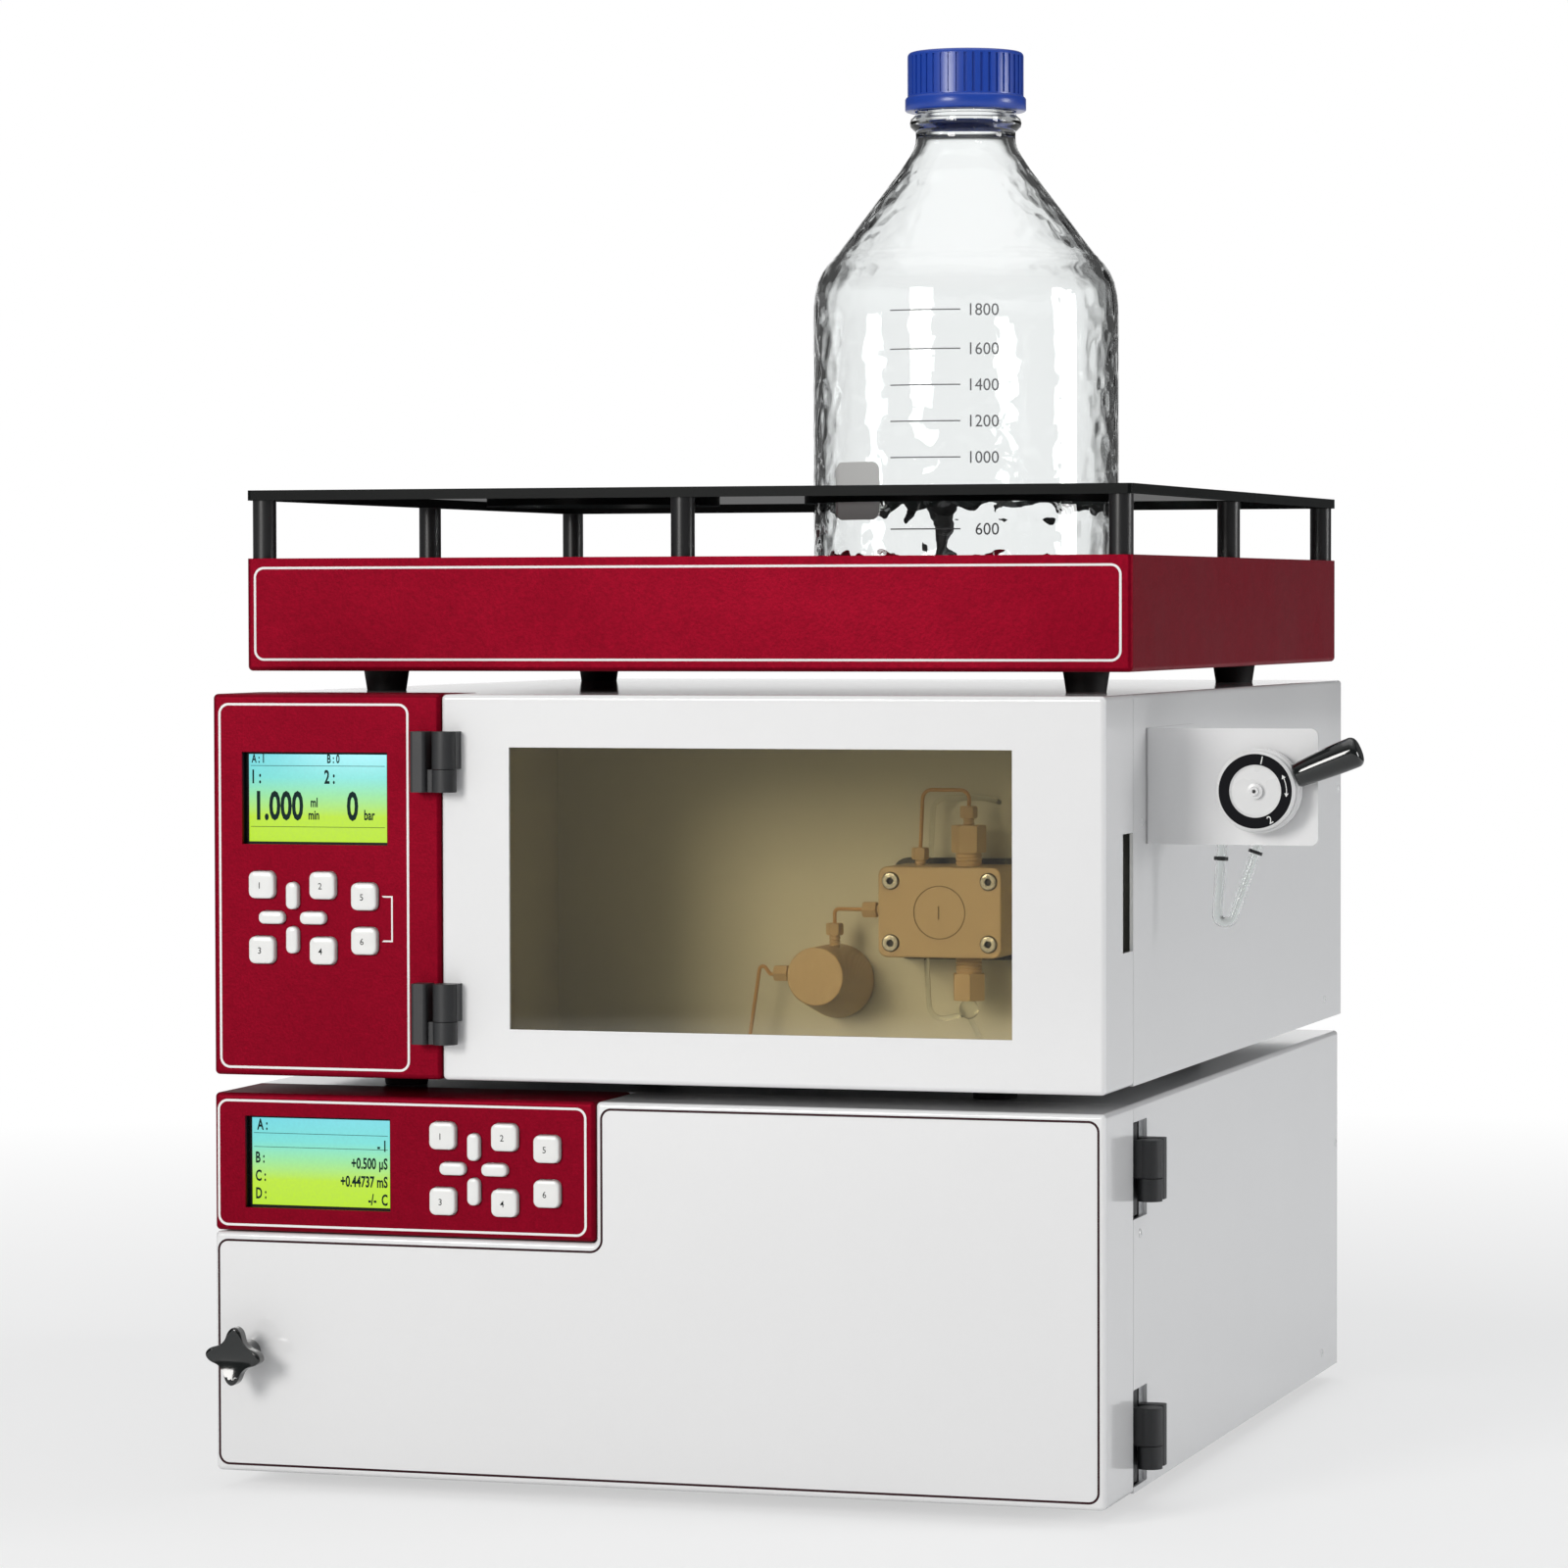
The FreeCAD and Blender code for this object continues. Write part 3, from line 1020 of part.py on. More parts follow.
def capillaries():
    """The bent plastic capillaries between the fittings, and one from the damper down to the outlet.

    Each is drawn TUBE_END_LAP into what it meets and then trimmed flush with it.
    """
    top = head_top()
    outlet_x = HEAD_X + OUTLET_X
    valve_x = HEAD_X + CHECK_VALVE_X
    valve_start = top + CHECK_TOP_NECK + CHECK_TOP_HEX + CHECK_NUT_NECK + NUT_LENGTH - TUBE_END_LAP
    arch = tube([V(outlet_x, PORT_Y, top + OUTLET_NECK + NUT_LENGTH - TUBE_END_LAP),
                 V(outlet_x + 1.2, PORT_Y, top + CAPILLARY_ARCH),
                 V(valve_x + 0.6, PORT_Y, top + CAPILLARY_ARCH),
                 V(valve_x, PORT_Y, valve_start)], CAPILLARY_BEND, CAPILLARY_RADIUS)
    nut_left = HEAD_X - HEAD_WIDTH / 2 - SIDE_NUT_NECK - SIDE_NUT_LENGTH
    top_port = damper_top_port()
    link = tube([V(nut_left + TUBE_END_LAP, PORT_Y, HEAD_Z), V(top_port.x, DAMPER_PORT_Y, HEAD_Z),
                 top_port + V(0, 0, DAMPER_NECK + NUT_LENGTH - TUBE_END_LAP)], 2.0, CAPILLARY_RADIUS)
    face = damper_side_port() - V(DAMPER_SIDE_NECK + SIDE_NUT_LENGTH, 0, 0)
    drop = tube([face + V(TUBE_END_LAP, 0, 0), face + V(-2.1, 0, -0.7), face + V(-6.4, 0, 5.3),
                 face + V(-11.5, 0, -28.0), V(face.x - 11.5, BULKHEAD_DEPTH + TUBE_END_LAP, face.z - 32.0)],
                1.6, CAPILLARY_RADIUS)
    stops = Part.makeCompound([peek_fittings(), behind_bulkhead()])
    return Part.makeCompound([run.cut(stops) for run in (arch, link, drop)])


def rinse_hoses():
    """The clear hoses round the head: one looped over its top, one under it to the supply's ferrule."""
    valve_x = HEAD_X + CHECK_VALVE_X
    low = head_bottom()
    hex_low = low - CHECK_BOTTOM_NECK - CHECK_BOTTOM_HEX
    ball = Part.makeSphere(FERRULE_RADIUS, V(valve_x, PORT_Y, hex_low - FERRULE_RADIUS + 0.4))
    ball = ball.cut(box(valve_x - 9, valve_x + 9, PORT_Y - 9, PORT_Y + 9, hex_low, hex_low + 9))
    start = V(valve_x, PORT_Y, hex_low - 1.5 * FERRULE_RADIUS)
    back = BULKHEAD_DEPTH + TUBE_END_LAP
    supply = tube([start, start + V(6.8, 2, -15.5), V(start.x + 15, back, start.z - 15.5)], 3.0, CLEAR_TUBE_RADIUS)
    under = tube([V(HEAD_X - 10.1, PORT_Y, low + TUBE_END_LAP), V(HEAD_X - 8.5, PORT_Y, low - 28),
                  V(valve_x - FERRULE_RADIUS + 1, PORT_Y, low - 25)], CLEAR_TUBE_BEND, CLEAR_TUBE_RADIUS)
    top = head_top()
    hose_y = HEAD_BACK - 4.4
    over = tube([V(HEAD_X - 11.3, hose_y, top - TUBE_END_LAP), V(HEAD_X - 9.7, hose_y, top + 28.2),
                 V(HEAD_X + 13, hose_y + 3, top + 28.2), V(HEAD_X + 17, back, top + 26)],
                CLEAR_TUBE_BEND, CLEAR_TUBE_RADIUS)
    stops = Part.makeCompound([pump_head(), behind_bulkhead()])
    return [fuse([ball, supply, under]).cut(stops), over.cut(stops)]


def valve_loop_path():
    """The corners of the clear hose that hangs from the injection valve."""
    x = DIAL_X - 20.6
    y = BRACKET_BACK + 19.5
    return [V(x + 8, y, DIAL_Z - 7), V(x, y, DIAL_Z - 7), V(x - 3.0, y, DIAL_Z - 55.2),
            V(x + 2.4, y + 2.2, DIAL_Z - 55.2), V(x + 12.6, y + 6, DIAL_Z - 24), V(x + 15, y + 9.5, DIAL_Z - 8)]


def clear_tubes():
    """All the clear hoses: round the pump head, and the loop at the injection valve."""
    loop = tube(valve_loop_path(), 3.0, LOOP_TUBE_RADIUS, LOOP_TUBE_BORE)
    return Part.makeCompound([*rinse_hoses(), loop.cut(rotary_valve())])


def loop_clamps():
    """Two dark clamps on the valve's hose."""
    path = valve_loop_path()
    clamps = []
    for low, high, share in ((path[2], path[1], 0.53), (path[3], path[4], 0.9)):
        along = (high - low).normalize()
        centre = low + (high - low) * share
        ring = Part.makeCylinder(LOOP_CLAMP_RADIUS, LOOP_CLAMP_LENGTH, centre, along)
        clamps.append(ring.cut(Part.makeCylinder(LOOP_TUBE_RADIUS, LOOP_CLAMP_LENGTH, centre, along)))
    return clamps


def valve_bracket():
    """A folded angle bracket: a flange on the cabinet's side and a plate that faces the front."""
    side = CABINET_WIDTH
    outer_corner = V(side, BRACKET_SETBACK, 0)
    top = UPPER_TOP - BRACKET_TOP_INSET
    low = top - BRACKET_HEIGHT
    points = [outer_corner, outer_corner + V(BRACKET_REACH + SHEET, 0, 0),
              outer_corner + V(BRACKET_REACH + SHEET, SHEET, 0), outer_corner + V(SHEET, SHEET, 0),
              outer_corner + V(SHEET, BRACKET_FLANGE, 0), outer_corner + V(0, BRACKET_FLANGE, 0)]
    angle = prism([p + V(0, 0, low) for p in points], V(0, 0, BRACKET_HEIGHT))
    bend = [edge for edge in angle.Edges
            if abs(edge.CenterOfMass.x - side) < 1e-6 and abs(edge.CenterOfMass.y - BRACKET_SETBACK) < 1e-6]
    angle = angle.makeFillet(BRACKET_BEND - SHEET, bend)
    corners = [edge for edge in angle.Edges
               if edge.tangentAt(edge.FirstParameter).cross(V(0, 1, 0)).Length < 1e-6
               and edge.CenterOfMass.x > side + BRACKET_REACH]
    angle = angle.makeFillet(BRACKET_CORNER, corners)
    hole = cylinder(DIAL_X, BRACKET_SETBACK - 1, DIAL_Z, VALVE_NECK_RADIUS, SHEET + 2, V(0, 1, 0))
    return angle.cut(hole)


def rotary_valve():
    """The rotary valve behind the bracket: body, stator with its six ports, and the neck in front."""
    back = V(0, 1, 0)
    body = cylinder(DIAL_X, BRACKET_BACK, DIAL_Z, VALVE_BODY_RADIUS, VALVE_BODY_LENGTH, back)
    stator = cylinder(DIAL_X, BRACKET_BACK + VALVE_BODY_LENGTH - 0.5, DIAL_Z, VALVE_STATOR_RADIUS,
                      VALVE_STATOR_LENGTH + 0.5, back)
    neck_front = DIAL_Y + DIAL_THICKNESS
    neck = cylinder(DIAL_X, neck_front, DIAL_Z, VALVE_NECK_RADIUS, BRACKET_BACK - neck_front + 0.5, back)
    ports = []
    start = BRACKET_BACK + VALVE_BODY_LENGTH + VALVE_STATOR_LENGTH
    for i in range(VALVE_PORT_COUNT):
        angle = math.radians(30 + 360 * i / VALVE_PORT_COUNT)
        x = DIAL_X + VALVE_PORT_CIRCLE * math.cos(angle)
        z = DIAL_Z + VALVE_PORT_CIRCLE * math.sin(angle)
        ports.append(hexagon(x, start - 0.5, z, 2 * VALVE_PORT_RADIUS, VALVE_PORT_LENGTH + 0.5, back, 0))
    return fuse([body, stator, neck, *ports])


def valve_body():
    """The rotary valve and the clamps on its hose."""
    return Part.makeCompound([rotary_valve(), *loop_clamps()])


def valve_dial():
    """The fixed dial in front of the lever, dished, with the needle port in its middle."""
    back = V(0, 1, 0)
    disc = revolved([(0, DIAL_DISH_DEPTH), (DIAL_DISH_RADIUS - 1, DIAL_DISH_DEPTH), (DIAL_DISH_RADIUS, 0),
                     (DIAL_RADIUS - DIAL_RIM, 0), (DIAL_RADIUS, DIAL_RIM), (DIAL_RADIUS, DIAL_THICKNESS),
                     (0, DIAL_THICKNESS)], DIAL_X, DIAL_Y, DIAL_Z, back)
    nose = DIAL_DISH_DEPTH - NEEDLE_PORT_LENGTH
    seat = DIAL_DISH_DEPTH + 0.2
    tip = NEEDLE_PORT_RADIUS - 1.6
    port = revolved([(NEEDLE_BORE_RADIUS, nose), (tip, nose), (tip + 0.4, nose + 1.2),
                     (NEEDLE_PORT_RADIUS, nose + 1.4), (NEEDLE_PORT_RADIUS, seat), (NEEDLE_BORE_RADIUS, seat)],
                    DIAL_X, DIAL_Y, DIAL_Z, back)
    bore = cylinder(DIAL_X, DIAL_Y - NEEDLE_PORT_LENGTH, DIAL_Z, NEEDLE_BORE_RADIUS,
                    NEEDLE_PORT_LENGTH + DIAL_THICKNESS * 0.6, back)
    return fuse([disc, port]).cut(bore)


def lever_y():
    """Depth of the lever hub's middle."""
    return DIAL_Y + DIAL_THICKNESS + LEVER_HUB_GAP + LEVER_HUB_LENGTH / 2


def lever_direction():
    """The direction the lever points in at rest."""
    angle = math.radians(LEVER_ANGLE)
    return V(math.cos(angle), 0, math.sin(angle))


def valve_lever():
    """The hub that turns on the valve's neck, with a flat seat and the threaded rod that hold the grip."""
    half = LEVER_HUB_LENGTH / 2
    inner = VALVE_NECK_RADIUS + LEVER_BORE_CLEARANCE
    hub = revolved([(inner, -half), (LEVER_HUB_RADIUS - 0.8, -half), (LEVER_HUB_RADIUS, 0.8 - half),
                    (LEVER_HUB_RADIUS, half - 0.8), (LEVER_HUB_RADIUS - 0.8, half), (inner, half)],
                   DIAL_X, lever_y(), DIAL_Z, V(0, 1, 0))
    centre = V(DIAL_X, lever_y(), DIAL_Z)
    along = lever_direction()
    seat = Part.makeCylinder(GRIP_INNER_RADIUS + GRIP_SEAT_CLEARANCE, LEVER_HUB_RADIUS,
                             centre + along * GRIP_START, along)
    rod = Part.makeCylinder(LEVER_ROD_RADIUS, GRIP_START + GRIP_LENGTH / 2 - inner - 2,
                            centre + along * (inner + 2), along)
    return fuse([hub.cut(seat), rod])


def lever_grip():
    """The tapered grip on the lever's rod."""
    bore = LEVER_ROD_RADIUS + GRIP_BORE_CLEARANCE
    profile = [(bore, GRIP_START), (GRIP_INNER_RADIUS - 0.6, GRIP_START),
               (GRIP_INNER_RADIUS, GRIP_START + 0.8), (GRIP_OUTER_RADIUS, GRIP_START + GRIP_LENGTH - GRIP_ROUND)]
    steps = 6
    for i in range(1, steps + 1):
        angle = math.pi / 2 * i / steps
        profile.append((GRIP_OUTER_RADIUS - GRIP_ROUND * (1 - math.cos(angle)),
                        GRIP_START + GRIP_LENGTH - GRIP_ROUND + GRIP_ROUND * math.sin(angle)))
    rod_end = GRIP_START + GRIP_LENGTH / 2
    profile += [(0, GRIP_START + GRIP_LENGTH), (0, rod_end), (bore, rod_end)]
    return revolved(profile, DIAL_X, lever_y(), DIAL_Z, lever_direction())


def reagent_tray():
    """The folded tray: floor, four walls and the inward rim that carries the rail's posts."""
    outer = box(TRAY_LEFT, TRAY_RIGHT, TRAY_SETBACK, TRAY_BACK, TRAY_BOTTOM, TRAY_TOP)
    folds = [edge for edge in outer.Edges
             if edge.tangentAt(edge.FirstParameter).cross(V(0, 0, 1)).Length < 1e-6
             or max(vertex.Z for vertex in edge.Vertexes) < TRAY_BOTTOM + 1e-6]
    outer = outer.makeFillet(BEND_RADIUS, folds)
    hollow = box(TRAY_LEFT + SHEET, TRAY_RIGHT - SHEET, TRAY_SETBACK + SHEET, TRAY_BACK - SHEET,
                 TRAY_BOTTOM + SHEET, TRAY_TOP - SHEET)
    opening = box(TRAY_LEFT + TRAY_RIM, TRAY_RIGHT - TRAY_RIM, TRAY_SETBACK + TRAY_RIM, TRAY_BACK - TRAY_RIM,
                  TRAY_TOP - 2 * SHEET, TRAY_TOP + 1)
    return outer.cut(hollow).cut(opening)


def post_places():
    """The centres of the eight rail posts: corners and the middle of each side."""
    xs = (TRAY_LEFT + POST_INSET, (TRAY_LEFT + TRAY_RIGHT) / 2, TRAY_RIGHT - POST_INSET)
    ys = (TRAY_SETBACK + POST_INSET, (TRAY_SETBACK + TRAY_BACK) / 2, TRAY_BACK - POST_INSET)
    return [(x, y) for i, x in enumerate(xs) for j, y in enumerate(ys) if (i, j) != (1, 1)]


def rail_posts():
    """The eight posts between the tray's rim and the rail."""
    return Part.makeCompound([cylinder(x, y, TRAY_TOP, POST_RADIUS, POST_HEIGHT, V(0, 0, 1))
                              for x, y in post_places()])


def rail_plate():
    """The bottle rail: a clear dark sheet with a round hole for each bottle."""
    plate = box(TRAY_LEFT, TRAY_RIGHT, TRAY_SETBACK, TRAY_BACK, RAIL_BOTTOM, RAIL_TOP)
    corners = [edge for edge in plate.Edges if edge.tangentAt(edge.FirstParameter).cross(V(0, 0, 1)).Length < 1e-6]
    plate = plate.makeFillet(RAIL_CORNER, corners)
    holes = [cylinder(BOTTLE_X, BOTTLE_Y, RAIL_BOTTOM - 1, BOTTLE_RADIUS + BOTTLE_HOLE_GAP,
                      RAIL_THICKNESS + 2, V(0, 0, 1)),
             cylinder(TRAY_LEFT + SPARE_HOLE_FROM_LEFT, BOTTLE_Y, RAIL_BOTTOM - 1, SPARE_HOLE_RADIUS,
                      RAIL_THICKNESS + 2, V(0, 0, 1))]
    return plate.cut(Part.makeCompound(holes))


def bottle_half_profile(wall):
    """A bottle wall's half outline from the axis at the base to the mouth, drawn in by the wall."""
    body = BOTTLE_RADIUS - wall
    heel = max(BOTTLE_HEEL - wall, 1)
    shoulder = BOTTLE_SHOULDER_RADIUS - wall
    neck = BOTTLE_NECK_RADIUS - wall
    lean = wall * 0.5
    arc_middle = V(body - heel * (1 - math.cos(math.pi / 4)), 0, wall + heel * (1 - math.sin(math.pi / 4)))
    bend_height = (BOTTLE_BODY_HEIGHT + BOTTLE_SHOULDER_HEIGHT) / 2 + 1.8 - lean
    shoulder_bend = V((body + shoulder) / 2 + 2.0, 0, bend_height)
    neck_bend = V(neck + 2.4, 0, BOTTLE_NECK_START - 4.4)
    neck_foot = V(neck + 6.4, 0, BOTTLE_NECK_START - 10.4 - lean)
    return [
        Part.LineSegment(V(0, 0, wall), V(body - heel, 0, wall)).toShape(),
        Part.Arc(V(body - heel, 0, wall), arc_middle, V(body, 0, wall + heel)).toShape(),
        Part.LineSegment(V(body, 0, wall + heel), V(body, 0, BOTTLE_BODY_HEIGHT - lean)).toShape(),
        Part.Arc(V(body, 0, BOTTLE_BODY_HEIGHT - lean), shoulder_bend,
                 V(shoulder, 0, BOTTLE_SHOULDER_HEIGHT - lean)).toShape(),
        Part.LineSegment(V(shoulder, 0, BOTTLE_SHOULDER_HEIGHT - lean), neck_foot).toShape(),
        Part.Arc(neck_foot, neck_bend, V(neck, 0, BOTTLE_NECK_START)).toShape(),
    ]


def reagent_bottle():
    """The glass bottle: heel, straight body, sloping shoulder, neck with its bead, and open mouth."""
    bead_low = BOTTLE_BEAD_HEIGHT - 3
    bead_high = BOTTLE_BEAD_HEIGHT + 3
    neck = BOTTLE_NECK_RADIUS
    outer = bottle_half_profile(0)
    outer += [
        Part.LineSegment(V(neck, 0, BOTTLE_NECK_START), V(neck, 0, bead_low)).toShape(),
        Part.Arc(V(neck, 0, bead_low), V(BOTTLE_BEAD_RADIUS, 0, BOTTLE_BEAD_HEIGHT),
                 V(neck, 0, bead_high)).toShape(),
        Part.LineSegment(V(neck, 0, bead_high), V(neck, 0, BOTTLE_HEIGHT)).toShape(),
        Part.LineSegment(V(neck, 0, BOTTLE_HEIGHT), V(BOTTLE_MOUTH_RADIUS, 0, BOTTLE_HEIGHT)).toShape(),
    ]
    inner = bottle_half_profile(BOTTLE_WALL)
    inside_neck = BOTTLE_NECK_RADIUS - BOTTLE_WALL
    throat = V(BOTTLE_MOUTH_RADIUS, 0, bead_high)
    inner += [
        Part.LineSegment(V(inside_neck, 0, BOTTLE_NECK_START), throat).toShape(),
        Part.LineSegment(throat, V(BOTTLE_MOUTH_RADIUS, 0, BOTTLE_HEIGHT)).toShape(),
    ]
    floor = Part.LineSegment(V(0, 0, 0), V(0, 0, BOTTLE_WALL)).toShape()
    wire = Part.Wire(Part.__sortEdges__([floor, *outer, *inner]))
    bottle = Part.Face(wire).revolve(V(0, 0, 0), V(0, 0, 1), 360)
    bottle.translate(V(BOTTLE_X, BOTTLE_Y, BOTTLE_BASE))
    return bottle


def bottle_cap():
    """The screw cap: ribbed side, plain skirt at the bottom, seated on the bottle's mouth."""
    low = BOTTLE_HEIGHT + CAP_TOP - CAP_HEIGHT
    points = []
    for i in range(CAP_RIBS):
        step = 2 * math.pi / CAP_RIBS
        for share, radius in ((0.0, CAP_RADIUS), (0.45, CAP_RADIUS), (0.6, CAP_RADIUS - CAP_RIB_DEPTH),
                              (0.85, CAP_RADIUS - CAP_RIB_DEPTH)):
            angle = step * (i + share)
            points.append(V(radius * math.cos(angle), radius * math.sin(angle), low + CAP_SKIRT_HEIGHT))
    side = prism(points, V(0, 0, CAP_HEIGHT - CAP_SKIRT_HEIGHT))
    crown = Part.makeCone(CAP_RADIUS + CAP_HEIGHT - 1.2, CAP_RADIUS - 1.2, CAP_HEIGHT, V(0, 0, low), V(0, 0, 1))
    side = side.common(crown)
    edge = CAP_SKIRT_HEIGHT
    skirt = revolved([(0, 0), (CAP_SKIRT_RADIUS - 0.6, 0), (CAP_SKIRT_RADIUS, 0.6), (CAP_SKIRT_RADIUS, edge - 1),
                      (CAP_RADIUS, edge + 0.3), (0, edge + 0.3)], 0, 0, low, V(0, 0, 1))
    bore = cylinder(0, 0, low - 1, BOTTLE_NECK_RADIUS + CAP_CLEARANCE, CAP_HEIGHT - CAP_TOP + 1, V(0, 0, 1))
    cap = fuse([side, skirt]).cut(bore)
    cap.translate(V(BOTTLE_X, BOTTLE_Y, BOTTLE_BASE))
    return cap


def rubber_feet():
    """The feet of both cabinets and the tapered feet of the tray."""
    feet = []
    for bottom in (-FOOT_HEIGHT, LOWER_HEIGHT):
        for x in (FOOT_INSET, CABINET_WIDTH - FOOT_INSET):
            for y in (FOOT_INSET, CABINET_DEPTH - FOOT_INSET):
                feet.append(Part.makeCone(FOOT_RADIUS - 1, FOOT_RADIUS, FOOT_HEIGHT, V(x, y, bottom), V(0, 0, 1)))
    for x in (TRAY_FOOT_INSET_X, CABINET_WIDTH - TRAY_FOOT_INSET_X):
        for y in (TRAY_SETBACK + TRAY_FOOT_INSET_Y, TRAY_BACK - TRAY_FOOT_INSET_Y):
            feet.append(Part.makeCone(TRAY_FOOT_BOTTOM_RADIUS, TRAY_FOOT_TOP_RADIUS, TRAY_FOOT_HEIGHT,
                                      V(x, y, UPPER_TOP), V(0, 0, 1)))
    return Part.makeCompound(feet)


def cabinets():
    """Bottom and depth of the lower and the upper cabinet."""
    return ((0, CABINET_DEPTH), (UPPER_BOTTOM, UPPER_DEPTH))


def rocker_axis(bottom, depth):
    """The pivot of a cabinet's power switch."""
    x = INLET_LEFT + INLET_WIDTH - INLET_LAP - 2 - ROCKER_WIDTH / 2
    return V(x, depth + INLET_FLANGE - 4.5, bottom + INLET_FROM_BOTTOM + INLET_HEIGHT / 2)


def rocker_pin(centre, grow):
    """A rocker's pivot pin, drawn larger by a clearance for its holes."""
    reach = ROCKER_WIDTH / 2 + ROCKER_CLEARANCE + ROCKER_PIN_LENGTH + grow
    return cylinder(centre.x - reach, centre.y, centre.z, ROCKER_PIN_RADIUS + grow, 2 * reach, V(1, 0, 0))


def power_inlet(bottom, depth):
    """A three-pin mains inlet and a switch well in one module, set into the cabinet's back."""
    low = bottom + INLET_FROM_BOTTOM
    flange = rounded_front(INLET_LEFT, INLET_LEFT + INLET_WIDTH, low, low + INLET_HEIGHT, 2,
                           depth, depth + INLET_FLANGE)
    body = box(INLET_LEFT + INLET_LAP, INLET_LEFT + INLET_WIDTH - INLET_LAP, depth - INLET_BODY_DEPTH, depth + 0.5,
               low + INLET_LAP, low + INLET_HEIGHT - INLET_LAP)
    socket_left = INLET_LEFT + INLET_LAP + 2
    middle = low + INLET_HEIGHT / 2
    face = depth + INLET_FLANGE
    high = middle + SOCKET_HEIGHT / 2
    base = middle - SOCKET_HEIGHT / 2
    right = socket_left + SOCKET_WIDTH
    outline = [(socket_left, base), (right, base), (right, high - SOCKET_CHAMFER), (right - SOCKET_CHAMFER, high),
               (socket_left + SOCKET_CHAMFER, high), (socket_left, high - SOCKET_CHAMFER)]
    socket = prism(front_outline(outline, face + 1), V(0, -SOCKET_DEPTH - 1, 0))
    axis = rocker_axis(bottom, depth)
    half = ROCKER_WIDTH / 2 + ROCKER_CLEARANCE
    reach = ROCKER_RADIUS + ROCKER_CLEARANCE
    well = box(axis.x - half, axis.x + half, axis.y - reach, face + 1, axis.z - reach, axis.z + reach)
    bore = rocker_pin(axis, ROCKER_PIN_CLEARANCE)
    pins = []
    centre = socket_left + SOCKET_WIDTH / 2
    for dx, dz in ((-7, -1), (7, -1), (0, 3)):
        pins.append(box(centre + dx - 1, centre + dx + 1, face - SOCKET_DEPTH - 0.5, face - SOCKET_DEPTH + PIN_LENGTH,
                        middle + dz - 2, middle + dz + 2))
    return fuse([fuse([flange, body]).cut(socket).cut(well).cut(bore), *pins])


def power_inlets():
    """Both cabinets' inlets."""
    return Part.makeCompound([power_inlet(bottom, depth) for bottom, depth in cabinets()])


def power_switch(bottom, depth):
    """A rocker with two facets, pressed in at its top edge."""
    axis = rocker_axis(bottom, depth)
    drum = cylinder(-ROCKER_WIDTH / 2, 0, 0, ROCKER_RADIUS, ROCKER_WIDTH, V(1, 0, 0))
    crown = ROCKER_RADIUS * 0.72
    slope = math.tan(math.radians(ROCKER_FACET)) * ROCKER_RADIUS
    outline = [V(0, -ROCKER_RADIUS, -ROCKER_RADIUS), V(0, crown + slope, -ROCKER_RADIUS), V(0, crown, 0),
               V(0, crown + slope, ROCKER_RADIUS), V(0, -ROCKER_RADIUS, ROCKER_RADIUS)]
    wedge = prism([p - V(ROCKER_WIDTH / 2, 0, 0) for p in outline], V(ROCKER_WIDTH, 0, 0))
    rocker = fuse([drum.common(wedge), rocker_pin(V(0, 0, 0), 0)])
    rocker.rotate(V(0, 0, 0), V(1, 0, 0), ROCKER_TILT)
    rocker.translate(axis)
    return rocker


def build():
    """Every sub-part by name, in the building frame."""
    parts = {
        "lower_chassis": lower_chassis(),
        "lower_cover": lower_cover(),
        "lower_control_panel": lower_control_panel(),
        "display_boards": display_boards(),
        "oven_liner": oven_liner(),
        "heater_block": heater_block(),
        "separation_column": separation_column(),
        "conductivity_cell": conductivity_cell(),
        "oven_door": oven_door(),
        "oven_door_hinges": oven_door_hinges(),
        "star_knob": star_knob(),
        "upper_chassis": upper_chassis(),
        "upper_cover": cabinet_cover(UPPER_BOTTOM, UPPER_HEIGHT, UPPER_DEPTH),
        "pump_control_panel": pump_control_panel(),
        "pump_bulkhead": pump_bulkhead(),
        "pump_door": pump_door(),
        "door_window": door_window(),
        "pump_door_hinges": pump_door_hinges(),
        "body_hinges": body_hinges(),
        "pump_head": pump_head(),
        "pump_head_screws": pump_head_screws(),
        "pump_drive": pump_drive(),
        "peek_fittings": peek_fittings(),
        "capillaries": capillaries(),
        "clear_tubes": clear_tubes(),
        "pulse_damper": pulse_damper(),
        "valve_bracket": valve_bracket(),
        "valve_body": valve_body(),
        "valve_dial": valve_dial(),
        "valve_lever": valve_lever(),
        "lever_grip": lever_grip(),
        "reagent_tray": reagent_tray(),
        "rail_posts": rail_posts(),
        "rail_plate": rail_plate(),
        "reagent_bottle": reagent_bottle(),
        "bottle_cap": bottle_cap(),
        "rubber_feet": rubber_feet(),
        "power_inlets": power_inlets(),
        "lower_power_switch": power_switch(*cabinets()[0]),
        "upper_power_switch": power_switch(*cabinets()[1]),
    }
    for cabinet, pad_x, pad_z in (("lower", LOWER_PAD_LEFT, LOWER_HEIGHT - LOWER_PAD_TOP),
                                  ("upper", UPPER_PAD_LEFT, UPPER_TOP - UPPER_PAD_TOP)):
        for name, x, z, shape in key_places(pad_x, pad_z):
            parts[f"{cabinet}_key_{name}"] = key(x, z, shape)
    return parts


def origin_shift(parts):
    """The move that brings the bottom centre of the whole model's box to the origin."""
    whole = Part.makeCompound(list(parts.values())).optimalBoundingBox(False, False)
    return V(-(whole.XMin + whole.XMax) / 2, -(whole.YMin + whole.YMax) / 2, -whole.ZMin)


def main():
    """Builds every sub-part and writes one STEP file for each."""
    os.makedirs("parts", exist_ok=True)
    parts = build()
    shift = origin_shift(parts)
    print("origin shift", [round(value, 4) for value in shift])
    for name, shape in parts.items():
        moved = shape.copy()
        moved.translate(shift)
        moved.exportStep(f"parts/{name}.step")
        print(name, "solids", len(moved.Solids), "valid", moved.isValid(), "volume", round(moved.Volume, 1))


